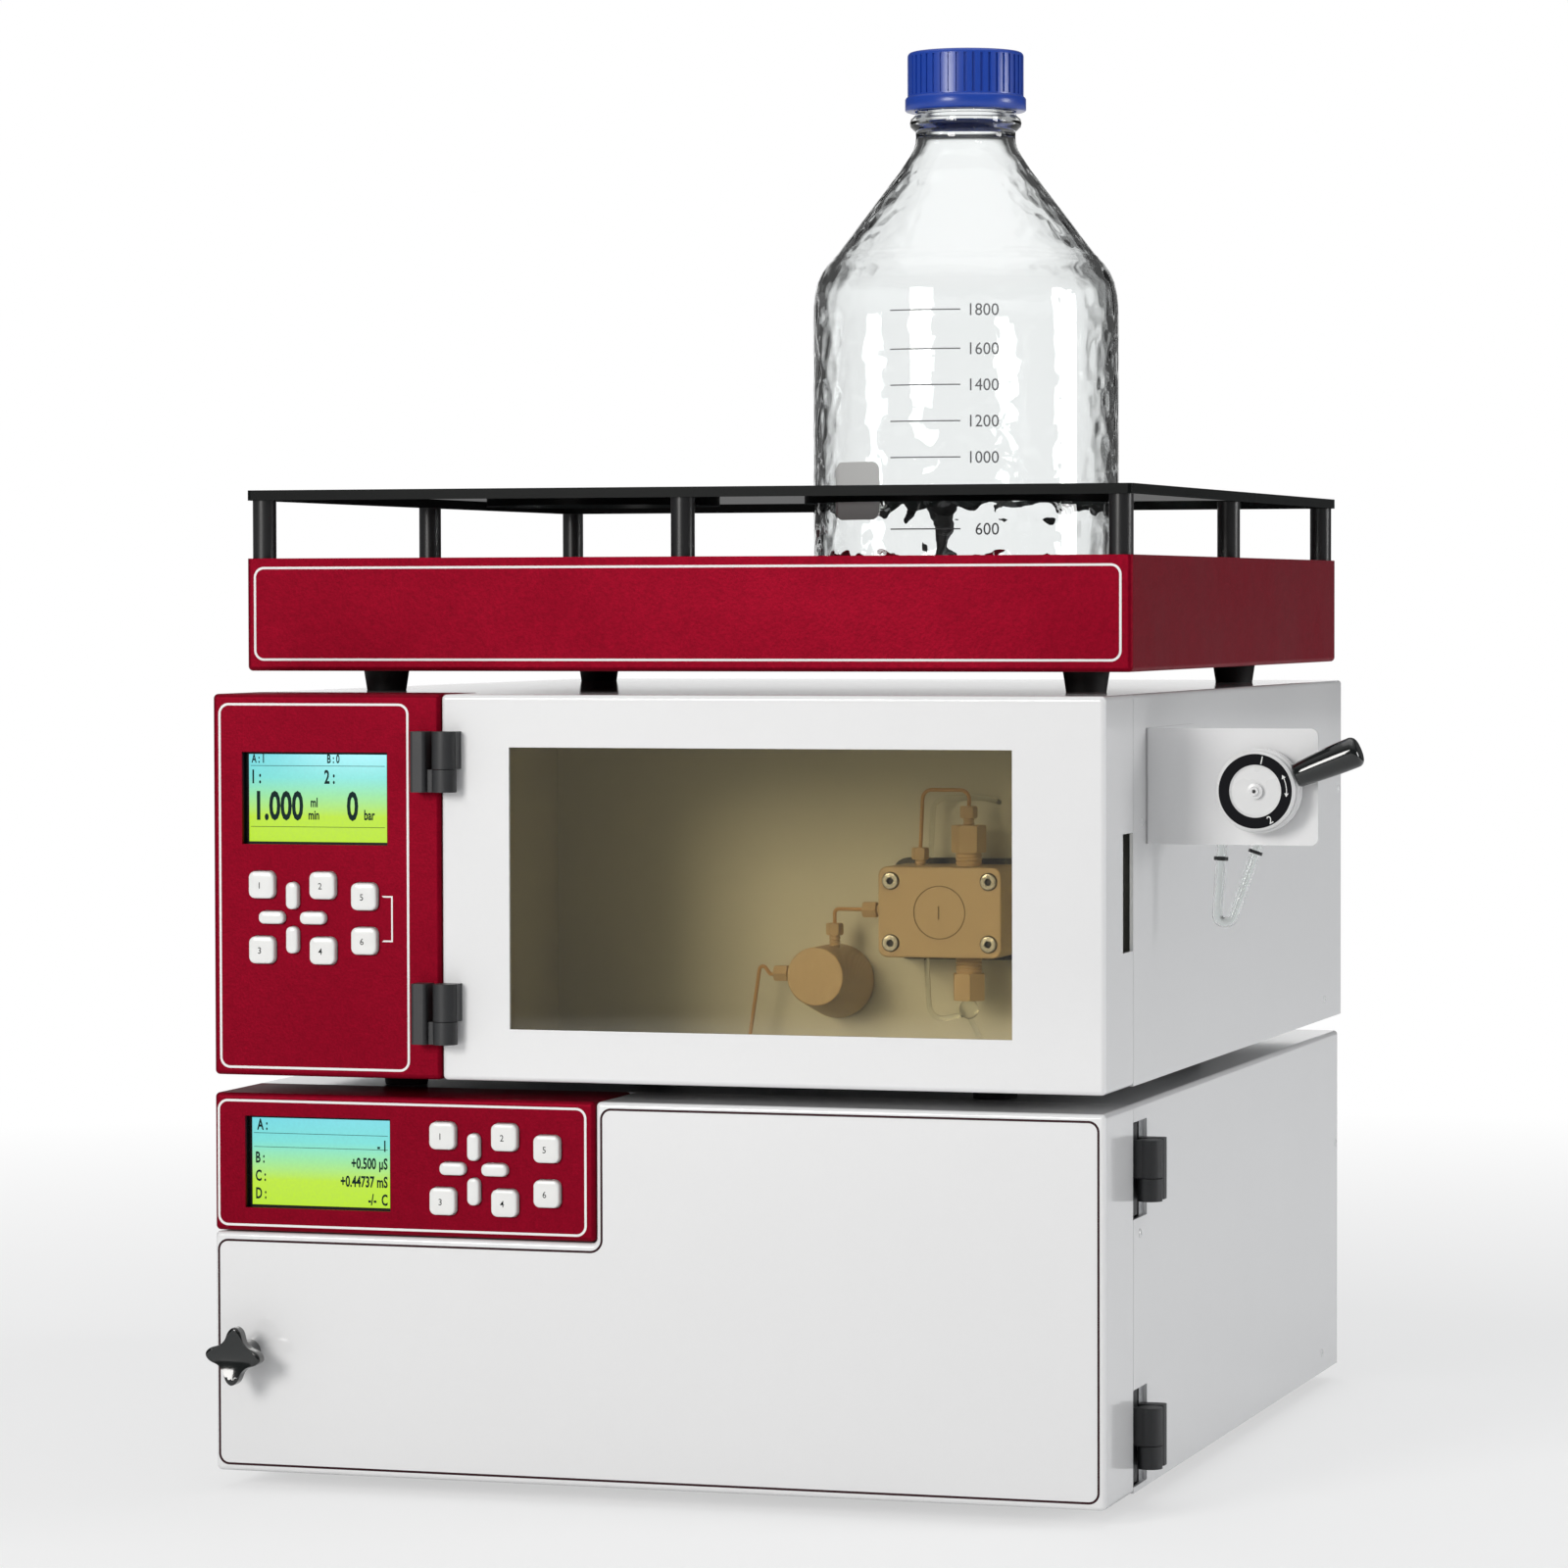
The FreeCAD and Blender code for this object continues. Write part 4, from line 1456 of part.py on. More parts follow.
if __name__ == "__main__":
    main()
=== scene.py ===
"""A bench-top ion chromatograph: finishes, small detail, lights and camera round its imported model.

The maker's lengths are millimetres in the cabinet frame: x runs right from the cabinets' left side, y runs
back from the doors' front face and z runs up from the lower cabinet's bottom edge. Datum.at() turns such a
place into metres in the model's frame.
"""

import logging
import math
from collections.abc import Callable, Iterator, Sequence
from contextlib import contextmanager
from dataclasses import dataclass, field
from enum import Enum

import bmesh
import bpy
from mathutils import Euler, Matrix, Vector


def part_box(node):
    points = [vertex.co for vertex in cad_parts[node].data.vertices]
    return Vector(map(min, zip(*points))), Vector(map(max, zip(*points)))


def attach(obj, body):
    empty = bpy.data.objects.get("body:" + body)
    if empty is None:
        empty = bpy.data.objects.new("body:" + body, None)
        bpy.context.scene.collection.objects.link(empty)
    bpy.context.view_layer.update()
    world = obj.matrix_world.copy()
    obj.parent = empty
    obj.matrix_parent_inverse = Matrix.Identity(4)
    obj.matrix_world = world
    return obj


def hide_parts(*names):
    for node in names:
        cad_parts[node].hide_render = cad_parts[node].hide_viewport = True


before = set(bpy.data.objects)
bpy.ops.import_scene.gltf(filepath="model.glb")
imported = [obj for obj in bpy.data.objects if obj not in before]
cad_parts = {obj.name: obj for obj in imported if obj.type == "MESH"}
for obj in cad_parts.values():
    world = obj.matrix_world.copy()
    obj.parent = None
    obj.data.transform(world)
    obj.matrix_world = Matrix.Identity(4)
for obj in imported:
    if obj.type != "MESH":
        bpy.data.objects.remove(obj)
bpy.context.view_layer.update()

MM = 0.001
LOG = logging.getLogger("ion_chromatograph")
Colour = tuple[float, float, float]
Place = tuple[float, float, float]
Profile = list[tuple[float, float]]

FACING_FRONT = (math.pi / 2, 0.0, 0.0)
FORWARD = Vector((0, -1, 0))
UP = Vector((0, 0, 1))
PRINT_THICKNESS = 0.05
WELD_DISTANCE = 0.00001

# Angles in degrees below which the edges of new pieces are shaded smooth
PRINT_SMOOTH = 20.0
GRIP_SMOOTH = 40.0
MOULDED_SMOOTH = 50.0
BOTTLE_SMOOTH = 60.0

# The lit screens' glow, from their bottom to their top
SCREEN_GLOW = ((0.0, (0.52, 0.84, 0.0)), (0.30, (0.54, 0.85, 0.01)), (0.52, (0.34, 0.84, 0.36)),
               (0.72, (0.20, 0.78, 0.72)), (1.0, (0.17, 0.72, 0.82)))


class Body(str, Enum):
    """The CAD bodies that new pieces ride on, apart from the keys' own bodies."""

    CABINETS = "cabinets"
    OVEN_DOOR = "oven_door"
    VALVE_LEVER = "valve_lever"
    BOTTLE_CAP = "bottle_cap"


class Texture(Enum):
    """The small surface textures that the finishes carry."""

    POWDER = "powder_texture"
    MOULDED = "moulded_texture"
    BRUSHED = "brushed_texture"
    SPANGLE = "spangle_texture"


@dataclass(frozen=True)
class Datum:
    """Where the cabinet frame's zero lies in the model's frame, in metres."""

    corner: Vector

    def at(self, x: float, y: float, z: float) -> Vector:
        """A place given in the cabinet frame, in metres in the model's frame."""
        return self.corner + Vector((x, y, z)) * MM


DATUM = Datum(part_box("oven_door")[0])


# The bench: selecting, editing and finishing pieces

def deselect() -> None:
    """Deselects every object."""
    bpy.ops.object.select_all(action="DESELECT")


def take(piece: bpy.types.Object) -> bpy.types.Object:
    """Makes a piece the only selected and the active object.

    Args:
        piece: The object to work on.

    Returns:
        The same object.
    """
    deselect()
    piece.select_set(True)
    bpy.context.view_layer.objects.active = piece
    return piece


def settle(piece: bpy.types.Object) -> None:
    """Puts a piece's place, turn and size into its mesh."""
    take(piece)
    bpy.ops.object.transform_apply(location=True, rotation=True, scale=True)


def extrude(move: Sequence[float]) -> None:
    """Extrudes what is selected in edit mode by a move in metres."""
    bpy.ops.mesh.extrude_region_move(TRANSFORM_OT_translate={"value": move})


@contextmanager
def editing(piece: bpy.types.Object) -> Iterator[None]:
    """Edit mode on one piece, with nothing selected at the start.

    Args:
        piece: The mesh object to edit.
    """
    take(piece)
    bpy.ops.object.mode_set(mode="EDIT")
    bpy.ops.mesh.select_all(action="DESELECT")
    yield
    bpy.ops.object.mode_set(mode="OBJECT")


def pick_faces(piece: bpy.types.Object, test: Callable[[Vector, Vector], bool]) -> None:
    """Selects the faces whose centre and normal pass a test, and nothing else.

    Args:
        piece: The object in edit mode.
        test: Takes a face's centre and normal.
    """
    bpy.ops.mesh.select_mode(type="FACE")
    mesh = bmesh.from_edit_mesh(piece.data)
    for face in mesh.faces:
        face.select_set(False)
    for face in mesh.faces:
        if test(face.calc_center_median(), face.normal):
            face.select_set(True)
    mesh.select_flush_mode()
    bmesh.update_edit_mesh(piece.data)


def apply_modifier(piece: bpy.types.Object, kind: str, **settings: object) -> None:
    """Adds a modifier to a piece and applies it.

    Args:
        piece: The mesh object.
        kind: The modifier's type.
        settings: Its settings by name.
    """
    take(piece)
    modifier = piece.modifiers.new(kind.lower(), kind)
    for name, value in settings.items():
        setattr(modifier, name, value)
    bpy.ops.object.modifier_apply(modifier=modifier.name)


def hand_over(piece: bpy.types.Object, name: str, body: str, finish: "Dressing", smooth: float = 35.0,
              replaces: Sequence[str] = ()) -> bpy.types.Object:
    """Finishes a new piece: its place goes into its mesh, and it gets its name, shading, finish and body.

    Args:
        piece: The new mesh object.
        name: Its name.
        body: The CAD body that it rides on.
        finish: The finish that it wears.
        smooth: The angle in degrees below which edges are shaded smooth.
        replaces: The CAD nodes that it stands for.

    Returns:
        The same object.
    """
    settle(piece)
    bpy.ops.object.shade_smooth_by_angle(angle=math.radians(smooth))
    piece.name = name
    piece.data.name = name
    piece.data.materials.clear()
    piece.data.materials.append(finish.material())
    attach(piece, str(body.value if isinstance(body, Body) else body))
    if replaces:
        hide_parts(*replaces)
    return piece


def copy_of(piece: bpy.types.Object, offset: Vector) -> bpy.types.Object:
    """A copy of a piece with a mesh of its own, moved by an offset.

    Args:
        piece: The piece to copy, not parented to anything yet.
        offset: The move in metres.

    Returns:
        The new object.
    """
    take(piece)
    bpy.ops.object.duplicate(linked=False)
    twin = bpy.context.view_layer.objects.active
    twin.location = twin.location + offset
    return twin


def join(pieces: Sequence[bpy.types.Object]) -> bpy.types.Object:
    """Joins pieces into the first of them.

    Args:
        pieces: Mesh objects.

    Returns:
        The joined object.
    """
    deselect()
    for piece in pieces:
        piece.select_set(True)
    bpy.context.view_layer.objects.active = pieces[0]
    if len(pieces) > 1:
        bpy.ops.object.join()
    return pieces[0]


def turn_matrix(axis: Vector) -> Matrix:
    """The turn that brings +Z to an axis."""
    return axis.normalized().to_track_quat("Z", "Y").to_matrix().to_4x4()


def plate(centre: Vector, width: float, height: float) -> bpy.types.Object:
    """A flat rectangular plate that faces the front.

    Args:
        centre: Its middle, in metres.
        width: Its width in millimetres.
        height: Its height in millimetres.

    Returns:
        The new object, with its place in its mesh.
    """
    deselect()
    bpy.ops.mesh.primitive_plane_add(size=1.0, location=centre, rotation=FACING_FRONT)
    piece = bpy.context.view_layer.objects.active
    piece.scale = (width * MM, height * MM, 1.0)
    settle(piece)
    return piece


def plate_between(left: float, right: float, low: float, high: float, y: float) -> bpy.types.Object:
    """A flat plate that faces the front, between four edges given in the cabinet frame."""
    middle = DATUM.at((left + right) / 2, y, (low + high) / 2)
    return plate(middle, right - left, high - low)


def turned(profile: Profile, centre: Vector, axis: Vector, steps: int) -> bpy.types.Object:
    """A turned piece, spun from its half profile.

    Args:
        profile: Corners as (radius, distance along the axis), in millimetres.
        centre: Where the profile's zero lies, in metres.
        axis: The turning axis.
        steps: Segments round the piece.

    Returns:
        The new object.
    """
    deselect()
    bpy.ops.mesh.primitive_plane_add(size=0.001)
    piece = bpy.context.view_layer.objects.active
    bpy.ops.object.mode_set(mode="EDIT")
    bpy.ops.mesh.select_mode(type="VERT")
    bpy.ops.mesh.select_all(action="SELECT")
    bpy.ops.mesh.merge(type="CENTER")
    first = profile[0]
    bpy.ops.transform.translate(value=(first[0] * MM, 0.0, first[1] * MM))
    for (r0, h0), (r1, h1) in zip(profile, profile[1:]):
        move = ((r1 - r0) * MM, 0.0, (h1 - h0) * MM)
        extrude(move)
    bpy.ops.mesh.select_all(action="SELECT")
    bpy.ops.mesh.spin(steps=steps, angle=2 * math.pi, center=(0, 0, 0), axis=(0, 0, 1))
    bpy.ops.mesh.select_all(action="SELECT")
    bpy.ops.mesh.remove_doubles(threshold=1e-6)
    bpy.ops.mesh.delete_loose(use_verts=True, use_edges=True, use_faces=False)
    bpy.ops.mesh.select_all(action="SELECT")
    bpy.ops.mesh.normals_make_consistent(inside=False)
    bpy.ops.object.mode_set(mode="OBJECT")
    piece.matrix_world = Matrix.Translation(centre) @ turn_matrix(axis)
    return piece


def lettering(text: str, place: Vector, size: float, squeeze: float, align: str, thickness: float,
              weight: float = 0.0) -> bpy.types.Object:
    """Plain figures as thin raised print that faces the front.

    Args:
        text: The figures.
        place: The middle, or the start, of their base line, in metres.
        size: Their font size in millimetres.
        squeeze: Their width against the font's.
        align: How they lie on the place.
        thickness: The print's thickness in millimetres.
        weight: How much each stroke grows on both sides, in millimetres.

    Returns:
        The new mesh object.
    """
    deselect()
    bpy.ops.object.text_add(location=place, rotation=FACING_FRONT)
    piece = bpy.context.view_layer.objects.active
    piece.data.body = text
    piece.data.size = size * MM
    piece.data.extrude = thickness * MM
    piece.data.offset = weight * MM
    piece.data.align_x = align
    piece.data.resolution_u = 3
    piece.scale = (squeeze, 1.0, 1.0)
    bpy.ops.object.convert(target="MESH")
    bpy.ops.object.transform_apply(location=True, rotation=True, scale=True)
    print_mesh = bpy.context.view_layer.objects.active
    with editing(print_mesh):
        bpy.ops.mesh.select_all(action="SELECT")
        bpy.ops.mesh.remove_doubles(threshold=1e-7)
    return print_mesh


def outline_band(piece: bpy.types.Object, corner: float, width: float) -> None:
    """Turns a flat plate into a printed line along its edge, with round corners.

    Args:
        piece: A flat plate of one face.
        corner: The corners' radius in millimetres.
        width: The line's width in millimetres.
    """
    with editing(piece):
        bpy.ops.mesh.select_mode(type="VERT")
        bpy.ops.mesh.select_all(action="SELECT")
        bpy.ops.mesh.bevel(offset=corner * MM, segments=10, affect="VERTICES")
        bpy.ops.mesh.select_all(action="SELECT")
        bpy.ops.mesh.inset(thickness=width * MM)
        bpy.ops.mesh.delete(type="FACE")
        bpy.ops.mesh.select_all(action="SELECT")
        extrude(FORWARD * (PRINT_THICKNESS * MM))
        bpy.ops.mesh.select_all(action="SELECT")
        bpy.ops.mesh.normals_make_consistent(inside=False)


# Finishes

class Wiring:
    """Adds nodes to one node tree and joins them."""

    def __init__(self, tree: bpy.types.NodeTree) -> None:
        """Works on a node tree."""
        self.tree = tree

    def node(self, kind: str, settings: dict[str, object] | None = None, **sockets: object) -> bpy.types.Node:
        """Adds a node.

        Args:
            kind: The node's type.
            settings: Its settings by name.
            sockets: Values or sockets for its inputs, with _ for a space in their names.

        Returns:
            The new node.
        """
        made = self.tree.nodes.new(kind)
        for name, value in (settings or {}).items():
            setattr(made, name, value)
        for name, value in sockets.items():
            self.feed(made.inputs[name.replace("_", " ")], value)
        return made

    def feed(self, socket: bpy.types.NodeSocket, value: object) -> None:
        """Sets a socket to a value, or joins another socket to it."""
        if isinstance(value, bpy.types.NodeSocket):
            self.tree.links.new(value, socket)
        else:
            socket.default_value = value

    def maths(self, operation: str, first: object, second: object = 0.0,
              clamp: bool = False) -> bpy.types.NodeSocket:
        """The result of a Math node."""
        made = self.node("ShaderNodeMath", {"operation": operation, "use_clamp": clamp})
        self.feed(made.inputs[0], first)
        self.feed(made.inputs[1], second)
        return made.outputs[0]

    def blend(self, share: object, first: object, second: object, mode: str = "MIX") -> bpy.types.NodeSocket:
        """The colour between two colours, at a share."""
        made = self.node("ShaderNodeMix", {"data_type": "RGBA", "blend_type": mode})
        self.feed(made.inputs[0], share)
        self.feed(made.inputs[6], first)
        self.feed(made.inputs[7], second)
        return made.outputs[2]

    def vector(self, operation: str, *entries: object) -> bpy.types.NodeOutputs:
        """The outputs of a Vector Math node."""
        made = self.node("ShaderNodeVectorMath", {"operation": operation})
        for socket, entry in zip(made.inputs, entries):
            self.feed(socket, entry)
        return made.outputs

    def mix_shaders(self, share: object, first: bpy.types.Node, second: bpy.types.Node) -> bpy.types.Node:
        """The node that mixes two shaders' nodes, at a share."""
        made = self.node("ShaderNodeMixShader", Fac=share)
        self.feed(made.inputs[1], first.outputs[0])
        self.feed(made.inputs[2], second.outputs[0])
        return made

    def noise(self, place: object, scale: object, **sockets: object) -> bpy.types.NodeSocket:
        """The grey level of a noise texture."""
        return self.node("ShaderNodeTexNoise", Vector=place, Scale=scale, **sockets).outputs[0]

    def span(self, value: object, from_low: float, from_high: float, to_low: object,
             to_high: object) -> bpy.types.NodeSocket:
        """A value brought from one range into another, and kept inside it."""
        made = self.node("ShaderNodeMapRange", {"clamp": True})
        for socket, entry in zip(made.inputs, (value, from_low, from_high, to_low, to_high)):
            self.feed(socket, entry)
        return made.outputs[0]

    def ramp(self, share: object, stops: Sequence[tuple[float, Colour]]) -> bpy.types.NodeSocket:
        """A colour read from a ramp of (place, colour) stops."""
        made = self.node("ShaderNodeValToRGB", Fac=share)
        elements = made.color_ramp.elements
        while len(elements) < len(stops):
            elements.new(0.5)
        for element, (position, colour) in zip(elements, stops):
            element.position = position
            element.color = (*colour, 1.0)
        return made.outputs["Color"]


def fresh_wiring(owner: bpy.types.Material | bpy.types.World) -> Wiring:
    """The wiring of a material's or a world's emptied node tree."""
    owner.use_nodes = True
    owner.node_tree.nodes.clear()
    return Wiring(owner.node_tree)


class TextureLibrary:
    """Builds each shared texture group once."""

    INPUTS = (("Colour", "NodeSocketColor"), ("Scale", "NodeSocketFloat"), ("Mottle", "NodeSocketFloat"),
              ("Gloss", "NodeSocketFloat"), ("Spread", "NodeSocketFloat"))
    OUTPUTS = (("Colour", "NodeSocketColor"), ("Roughness", "NodeSocketFloat"), ("Height", "NodeSocketFloat"))
    HAZE_SCALE = 14.0
    SHADE_TINT = (0.45, 0.45, 0.47, 1.0)
    FLOW_SCALE = 60.0
    BRUSH_STRETCH = (0.03, 1.0, 1.0)
    SPANGLE_WANDER = 0.012

    def group(self, texture: Texture) -> bpy.types.NodeTree:
        """The node group of a texture, built at its first use.

        Args:
            texture: The texture wanted.

        Returns:
            The node group.
        """
        found = bpy.data.node_groups.get(texture.value)
        if found:
            return found
        tree = bpy.data.node_groups.new(texture.value, "ShaderNodeTree")
        for name, kind in self.INPUTS:
            tree.interface.new_socket(name, in_out="INPUT", socket_type=kind)
        for name, kind in self.OUTPUTS:
            tree.interface.new_socket(name, in_out="OUTPUT", socket_type=kind)
        wiring = Wiring(tree)
        given = tree.nodes.new("NodeGroupInput").outputs
        result = tree.nodes.new("NodeGroupOutput").inputs
        writers = {
            Texture.POWDER: self.powder,
            Texture.MOULDED: self.moulded,
            Texture.BRUSHED: self.brushed,
            Texture.SPANGLE: self.spangle,
        }
        place = wiring.node("ShaderNodeTexCoord").outputs["Object"]
        pattern, height = writers[texture](wiring, place, given)
        haze = wiring.noise(place, self.HAZE_SCALE, Detail=4.0, Roughness=0.6)
        shade = wiring.span(pattern, 0.25, 0.75, 1.0, 0.0)
        dark = wiring.blend(1.0, given["Colour"], self.SHADE_TINT, "MULTIPLY")
        toned = wiring.blend(wiring.maths("MULTIPLY", shade, given["Mottle"]), given["Colour"], dark)
        dull = wiring.maths("MULTIPLY", wiring.span(haze, 0.3, 0.7, -1.0, 1.0), given["Spread"])
        wiring.feed(result["Colour"], toned)
        wiring.feed(result["Roughness"], wiring.maths("ADD", given["Gloss"], dull, True))
        wiring.feed(result["Height"], height)
        return tree

    def powder(self, wiring: Wiring, place: object, given: object) -> tuple[object, object]:
        """The pebbled skin of a sprayed and baked coat: its pattern and its height."""
        pebbles = wiring.noise(place, given["Scale"], Detail=2.5, Roughness=0.55)
        coarse = wiring.maths("MULTIPLY", given["Scale"], 0.31)
        swell = wiring.noise(place, coarse, Detail=1.0)
        fine_share = wiring.maths("MULTIPLY", pebbles, 0.7)
        coarse_share = wiring.maths("MULTIPLY", swell, 0.3)
        both = wiring.maths("ADD", fine_share, coarse_share)
        return both, both

    def moulded(self, wiring: Wiring, place: object, given: object) -> tuple[object, object]:
        """The faint flow and fine tooth of a moulded or machined plastic."""
        tooth = wiring.noise(place, given["Scale"], Detail=3.0, Roughness=0.7)
        flow = wiring.noise(place, self.FLOW_SCALE, Detail=2.0, Distortion=1.2)
        tooth_share = wiring.maths("MULTIPLY", tooth, 0.5)
        flow_share = wiring.maths("MULTIPLY", flow, 0.5)
        return wiring.maths("ADD", tooth_share, flow_share), tooth

    def brushed(self, wiring: Wiring, place: object, given: object) -> tuple[object, object]:
        """Fine lines along x, as a brush or a cutter leaves on metal."""
        stretched = wiring.node("ShaderNodeMapping", Vector=place, Scale=self.BRUSH_STRETCH).outputs[0]
        lines = wiring.noise(stretched, given["Scale"], Detail=4.0, Roughness=0.7)
        return lines, lines

    def spangle(self, wiring: Wiring, place: object, given: object) -> tuple[object, object]:
        """The flat crystals of hot-dipped zinc."""
        bent = wiring.node("ShaderNodeTexNoise", Vector=place, Scale=300.0, Detail=2.0).outputs["Color"]
        wander = wiring.blend(self.SPANGLE_WANDER, place, bent)
        cells = wiring.node("ShaderNodeTexVoronoi", Vector=wander, Scale=given["Scale"]).outputs["Color"]
        tone = wiring.node("ShaderNodeRGBToBW", Color=cells).outputs[0]
        return tone, wiring.maths("MULTIPLY", tone, 0.3)


LIBRARY = TextureLibrary()


@dataclass(frozen=True)
class Dressing:
    """What every finish has: its name and the record's material slot that it belongs to."""

    name: str
    slot: str

    def material(self) -> bpy.types.Material:
        """The finish's material, built at its first use.

        Returns:
            The material.
        """
        found = bpy.data.materials.get(self.name)
        if found:
            return found
        made = bpy.data.materials.new(self.name)
        wiring = fresh_wiring(made)
        surface = self.surface(wiring)
        wiring.node("ShaderNodeOutputMaterial", Surface=surface)
        return made

    def surface(self, wiring: Wiring) -> bpy.types.NodeSocket:
        """The shader of the finish; each kind of finish writes its own."""
        raise NotImplementedError


@dataclass(frozen=True)
class Coat(Dressing):
    """An opaque finish with a fine texture: paint, moulded plastic, rubber or metal."""

    colour: Colour
    gloss: float = 0.4
    spread: float = 0.05
    metallic: float = 0.0
    texture: Texture = Texture.POWDER
    grain: float = 0.6
    depth: float = 0.02
    mottle: float = 0.06
    clear: float = 0.0
    clear_gloss: float = 0.1
    specular: float = 0.5
    alpha: float = 1.0

    def surface(self, wiring: Wiring) -> bpy.types.NodeSocket:
        """A principled shader over the finish's texture group."""
        grouped = wiring.node("ShaderNodeGroup", {"node_tree": LIBRARY.group(self.texture)},
                              Colour=(*self.colour, 1.0), Scale=1.0 / (self.grain * MM), Mottle=self.mottle,
                              Gloss=self.gloss, Spread=self.spread)
        bump = wiring.node("ShaderNodeBump", Strength=1.0, Distance=self.depth * MM,
                           Height=grouped.outputs["Height"])
        shader = wiring.node("ShaderNodeBsdfPrincipled", Base_Color=grouped.outputs["Colour"],
                             Roughness=grouped.outputs["Roughness"], Metallic=self.metallic,
                             Normal=bump.outputs[0], Coat_Weight=self.clear, Coat_Roughness=self.clear_gloss,
                             Specular_IOR_Level=self.specular, Alpha=self.alpha)
        return shader.outputs[0]


@dataclass(frozen=True)
class TurnedCoat(Coat):
    """A machined plastic or metal with fine rings round an axis that is parallel to y."""

    centre: Place = (0.0, 0.0, 0.0)
    pitch: float = 0.35

    def surface(self, wiring: Wiring) -> bpy.types.NodeSocket:
        """The coat's shader with turning rings in its bump and colour."""
        place = wiring.node("ShaderNodeTexCoord").outputs["Object"]
        middle = DATUM.at(*self.centre)
        moved = wiring.node("ShaderNodeMapping", Vector=place, Location=(-middle.x, 0.0, -middle.z))
        flat = wiring.vector("MULTIPLY", moved.outputs[0], (1.0, 0.0, 1.0))[0]
        reach = wiring.vector("LENGTH", flat)["Value"]
        phase = wiring.maths("MULTIPLY", reach, 2 * math.pi / (self.pitch * MM))
        waves = wiring.maths("SINE", phase)
        uneven = wiring.noise(place, 500.0, Detail=3.0)
        rings = wiring.maths("MULTIPLY_ADD", waves, 0.25)
        wiring.feed(rings.node.inputs[2], uneven)
        light = wiring.span(rings, 0.2, 0.8, 0.0, self.mottle)
        paler = tuple(min(1.0, value * 1.35 + 0.02) for value in self.colour)
        toned = wiring.blend(light, (*self.colour, 1.0), (*paler, 1.0))
        bump = wiring.node("ShaderNodeBump", Strength=1.0, Distance=self.depth * MM, Height=rings)
        dull = wiring.span(uneven, 0.3, 0.7, self.gloss - self.spread, self.gloss + self.spread)
        shader = wiring.node("ShaderNodeBsdfPrincipled", Base_Color=toned, Metallic=self.metallic,
                             Roughness=dull, Normal=bump.outputs[0], Coat_Weight=self.clear,
                             Coat_Roughness=self.clear_gloss)
        return shader.outputs[0]


@dataclass(frozen=True)
class Glass(Dressing):
    """Clear or tinted glass or plastic, through which lamps still reach what lies behind it."""

    colour: Colour
    shadow: Colour = (0.9, 0.9, 0.9)
    gloss: float = 0.0
    index: float = 1.47

    def surface(self, wiring: Wiring) -> bpy.types.NodeSocket:
        """A principled glass whose shadow is a clear tint."""
        shader = wiring.node("ShaderNodeBsdfPrincipled", Base_Color=(*self.colour, 1.0),
                             Transmission_Weight=1.0, Roughness=self.gloss, IOR=self.index)
        clear = wiring.node("ShaderNodeBsdfTransparent", Color=(*self.shadow, 1.0))
        rays = wiring.node("ShaderNodeLightPath")
        return wiring.mix_shaders(rays.outputs["Is Shadow Ray"], shader, clear).outputs[0]


@dataclass(frozen=True)
class LitScreen(Dressing):
    """A lit display whose glow runs from cyan at the top to yellow-green at the bottom."""

    bottom: float
    top: float

    def surface(self, wiring: Wiring) -> bpy.types.NodeSocket:
        """A glowing principled shader under a slight gloss."""
        place = wiring.node("ShaderNodeTexCoord").outputs["Object"]
        height = wiring.node("ShaderNodeSeparateXYZ", Vector=place).outputs["Z"]
        low = DATUM.at(0, 0, self.bottom).z
        high = DATUM.at(0, 0, self.top).z
        share = wiring.span(height, low, high, 0.0, 1.0)
        glow = wiring.ramp(share, SCREEN_GLOW)
        grid = wiring.noise(place, 900.0, Detail=1.0)
        toned = wiring.blend(wiring.span(grid, 0.3, 0.7, 0.0, 0.06), glow, (0.1, 0.2, 0.2, 1.0))
        shader = wiring.node("ShaderNodeBsdfPrincipled", Base_Color=(0.02, 0.03, 0.03, 1.0), Roughness=0.25,
                             Emission_Color=toned, Emission_Strength=0.92)
        return shader.outputs[0]


RED_POWDER = Coat("red_powder_coat", "red_paint", (0.255, 0.0016, 0.0155), gloss=0.48, spread=0.06,
                  metallic=0.5, grain=1.15, depth=0.13, mottle=0.6, specular=0.05)
WHITE_POWDER = Coat("white_powder_coat", "white_paint", (0.80, 0.80, 0.805), gloss=0.36, grain=1.4,
                    depth=0.012, mottle=0.02, clear=0.95, clear_gloss=0.08)
ZINC_SHEET = Coat("zinc_plated_sheet", "zinc_sheet", (0.55, 0.56, 0.57), gloss=0.42, spread=0.08,
                  metallic=1.0, texture=Texture.SPANGLE, grain=3.2, depth=0.004, mottle=0.5)
STAINLESS = Coat("brushed_stainless", "stainless", (0.60, 0.60, 0.60), gloss=0.34, spread=0.08,
                 metallic=1.0, texture=Texture.BRUSHED, grain=0.4, depth=0.004, mottle=0.2)
ALUMINIUM = Coat("machined_aluminium", "aluminium_block", (0.75, 0.75, 0.77), gloss=0.38, spread=0.07,
                 metallic=1.0, texture=Texture.BRUSHED, grain=0.5, depth=0.004, mottle=0.2)
BULKHEAD_COAT = Coat("warm_grey_coat", "bulkhead_paint", (0.74, 0.745, 0.69), gloss=0.5, spread=0.06,
                     grain=1.2, depth=0.012, mottle=0.03, specular=0.3)
HINGE_COAT = Coat("charcoal_coat", "hinge_black", (0.026, 0.027, 0.029), gloss=0.46, spread=0.06, grain=0.5,
                  depth=0.03, mottle=0.35)
BLACK_COAT = Coat("satin_black_coat", "black_paint", (0.010, 0.010, 0.011), spread=0.07, depth=0.015,
                  mottle=0.3)
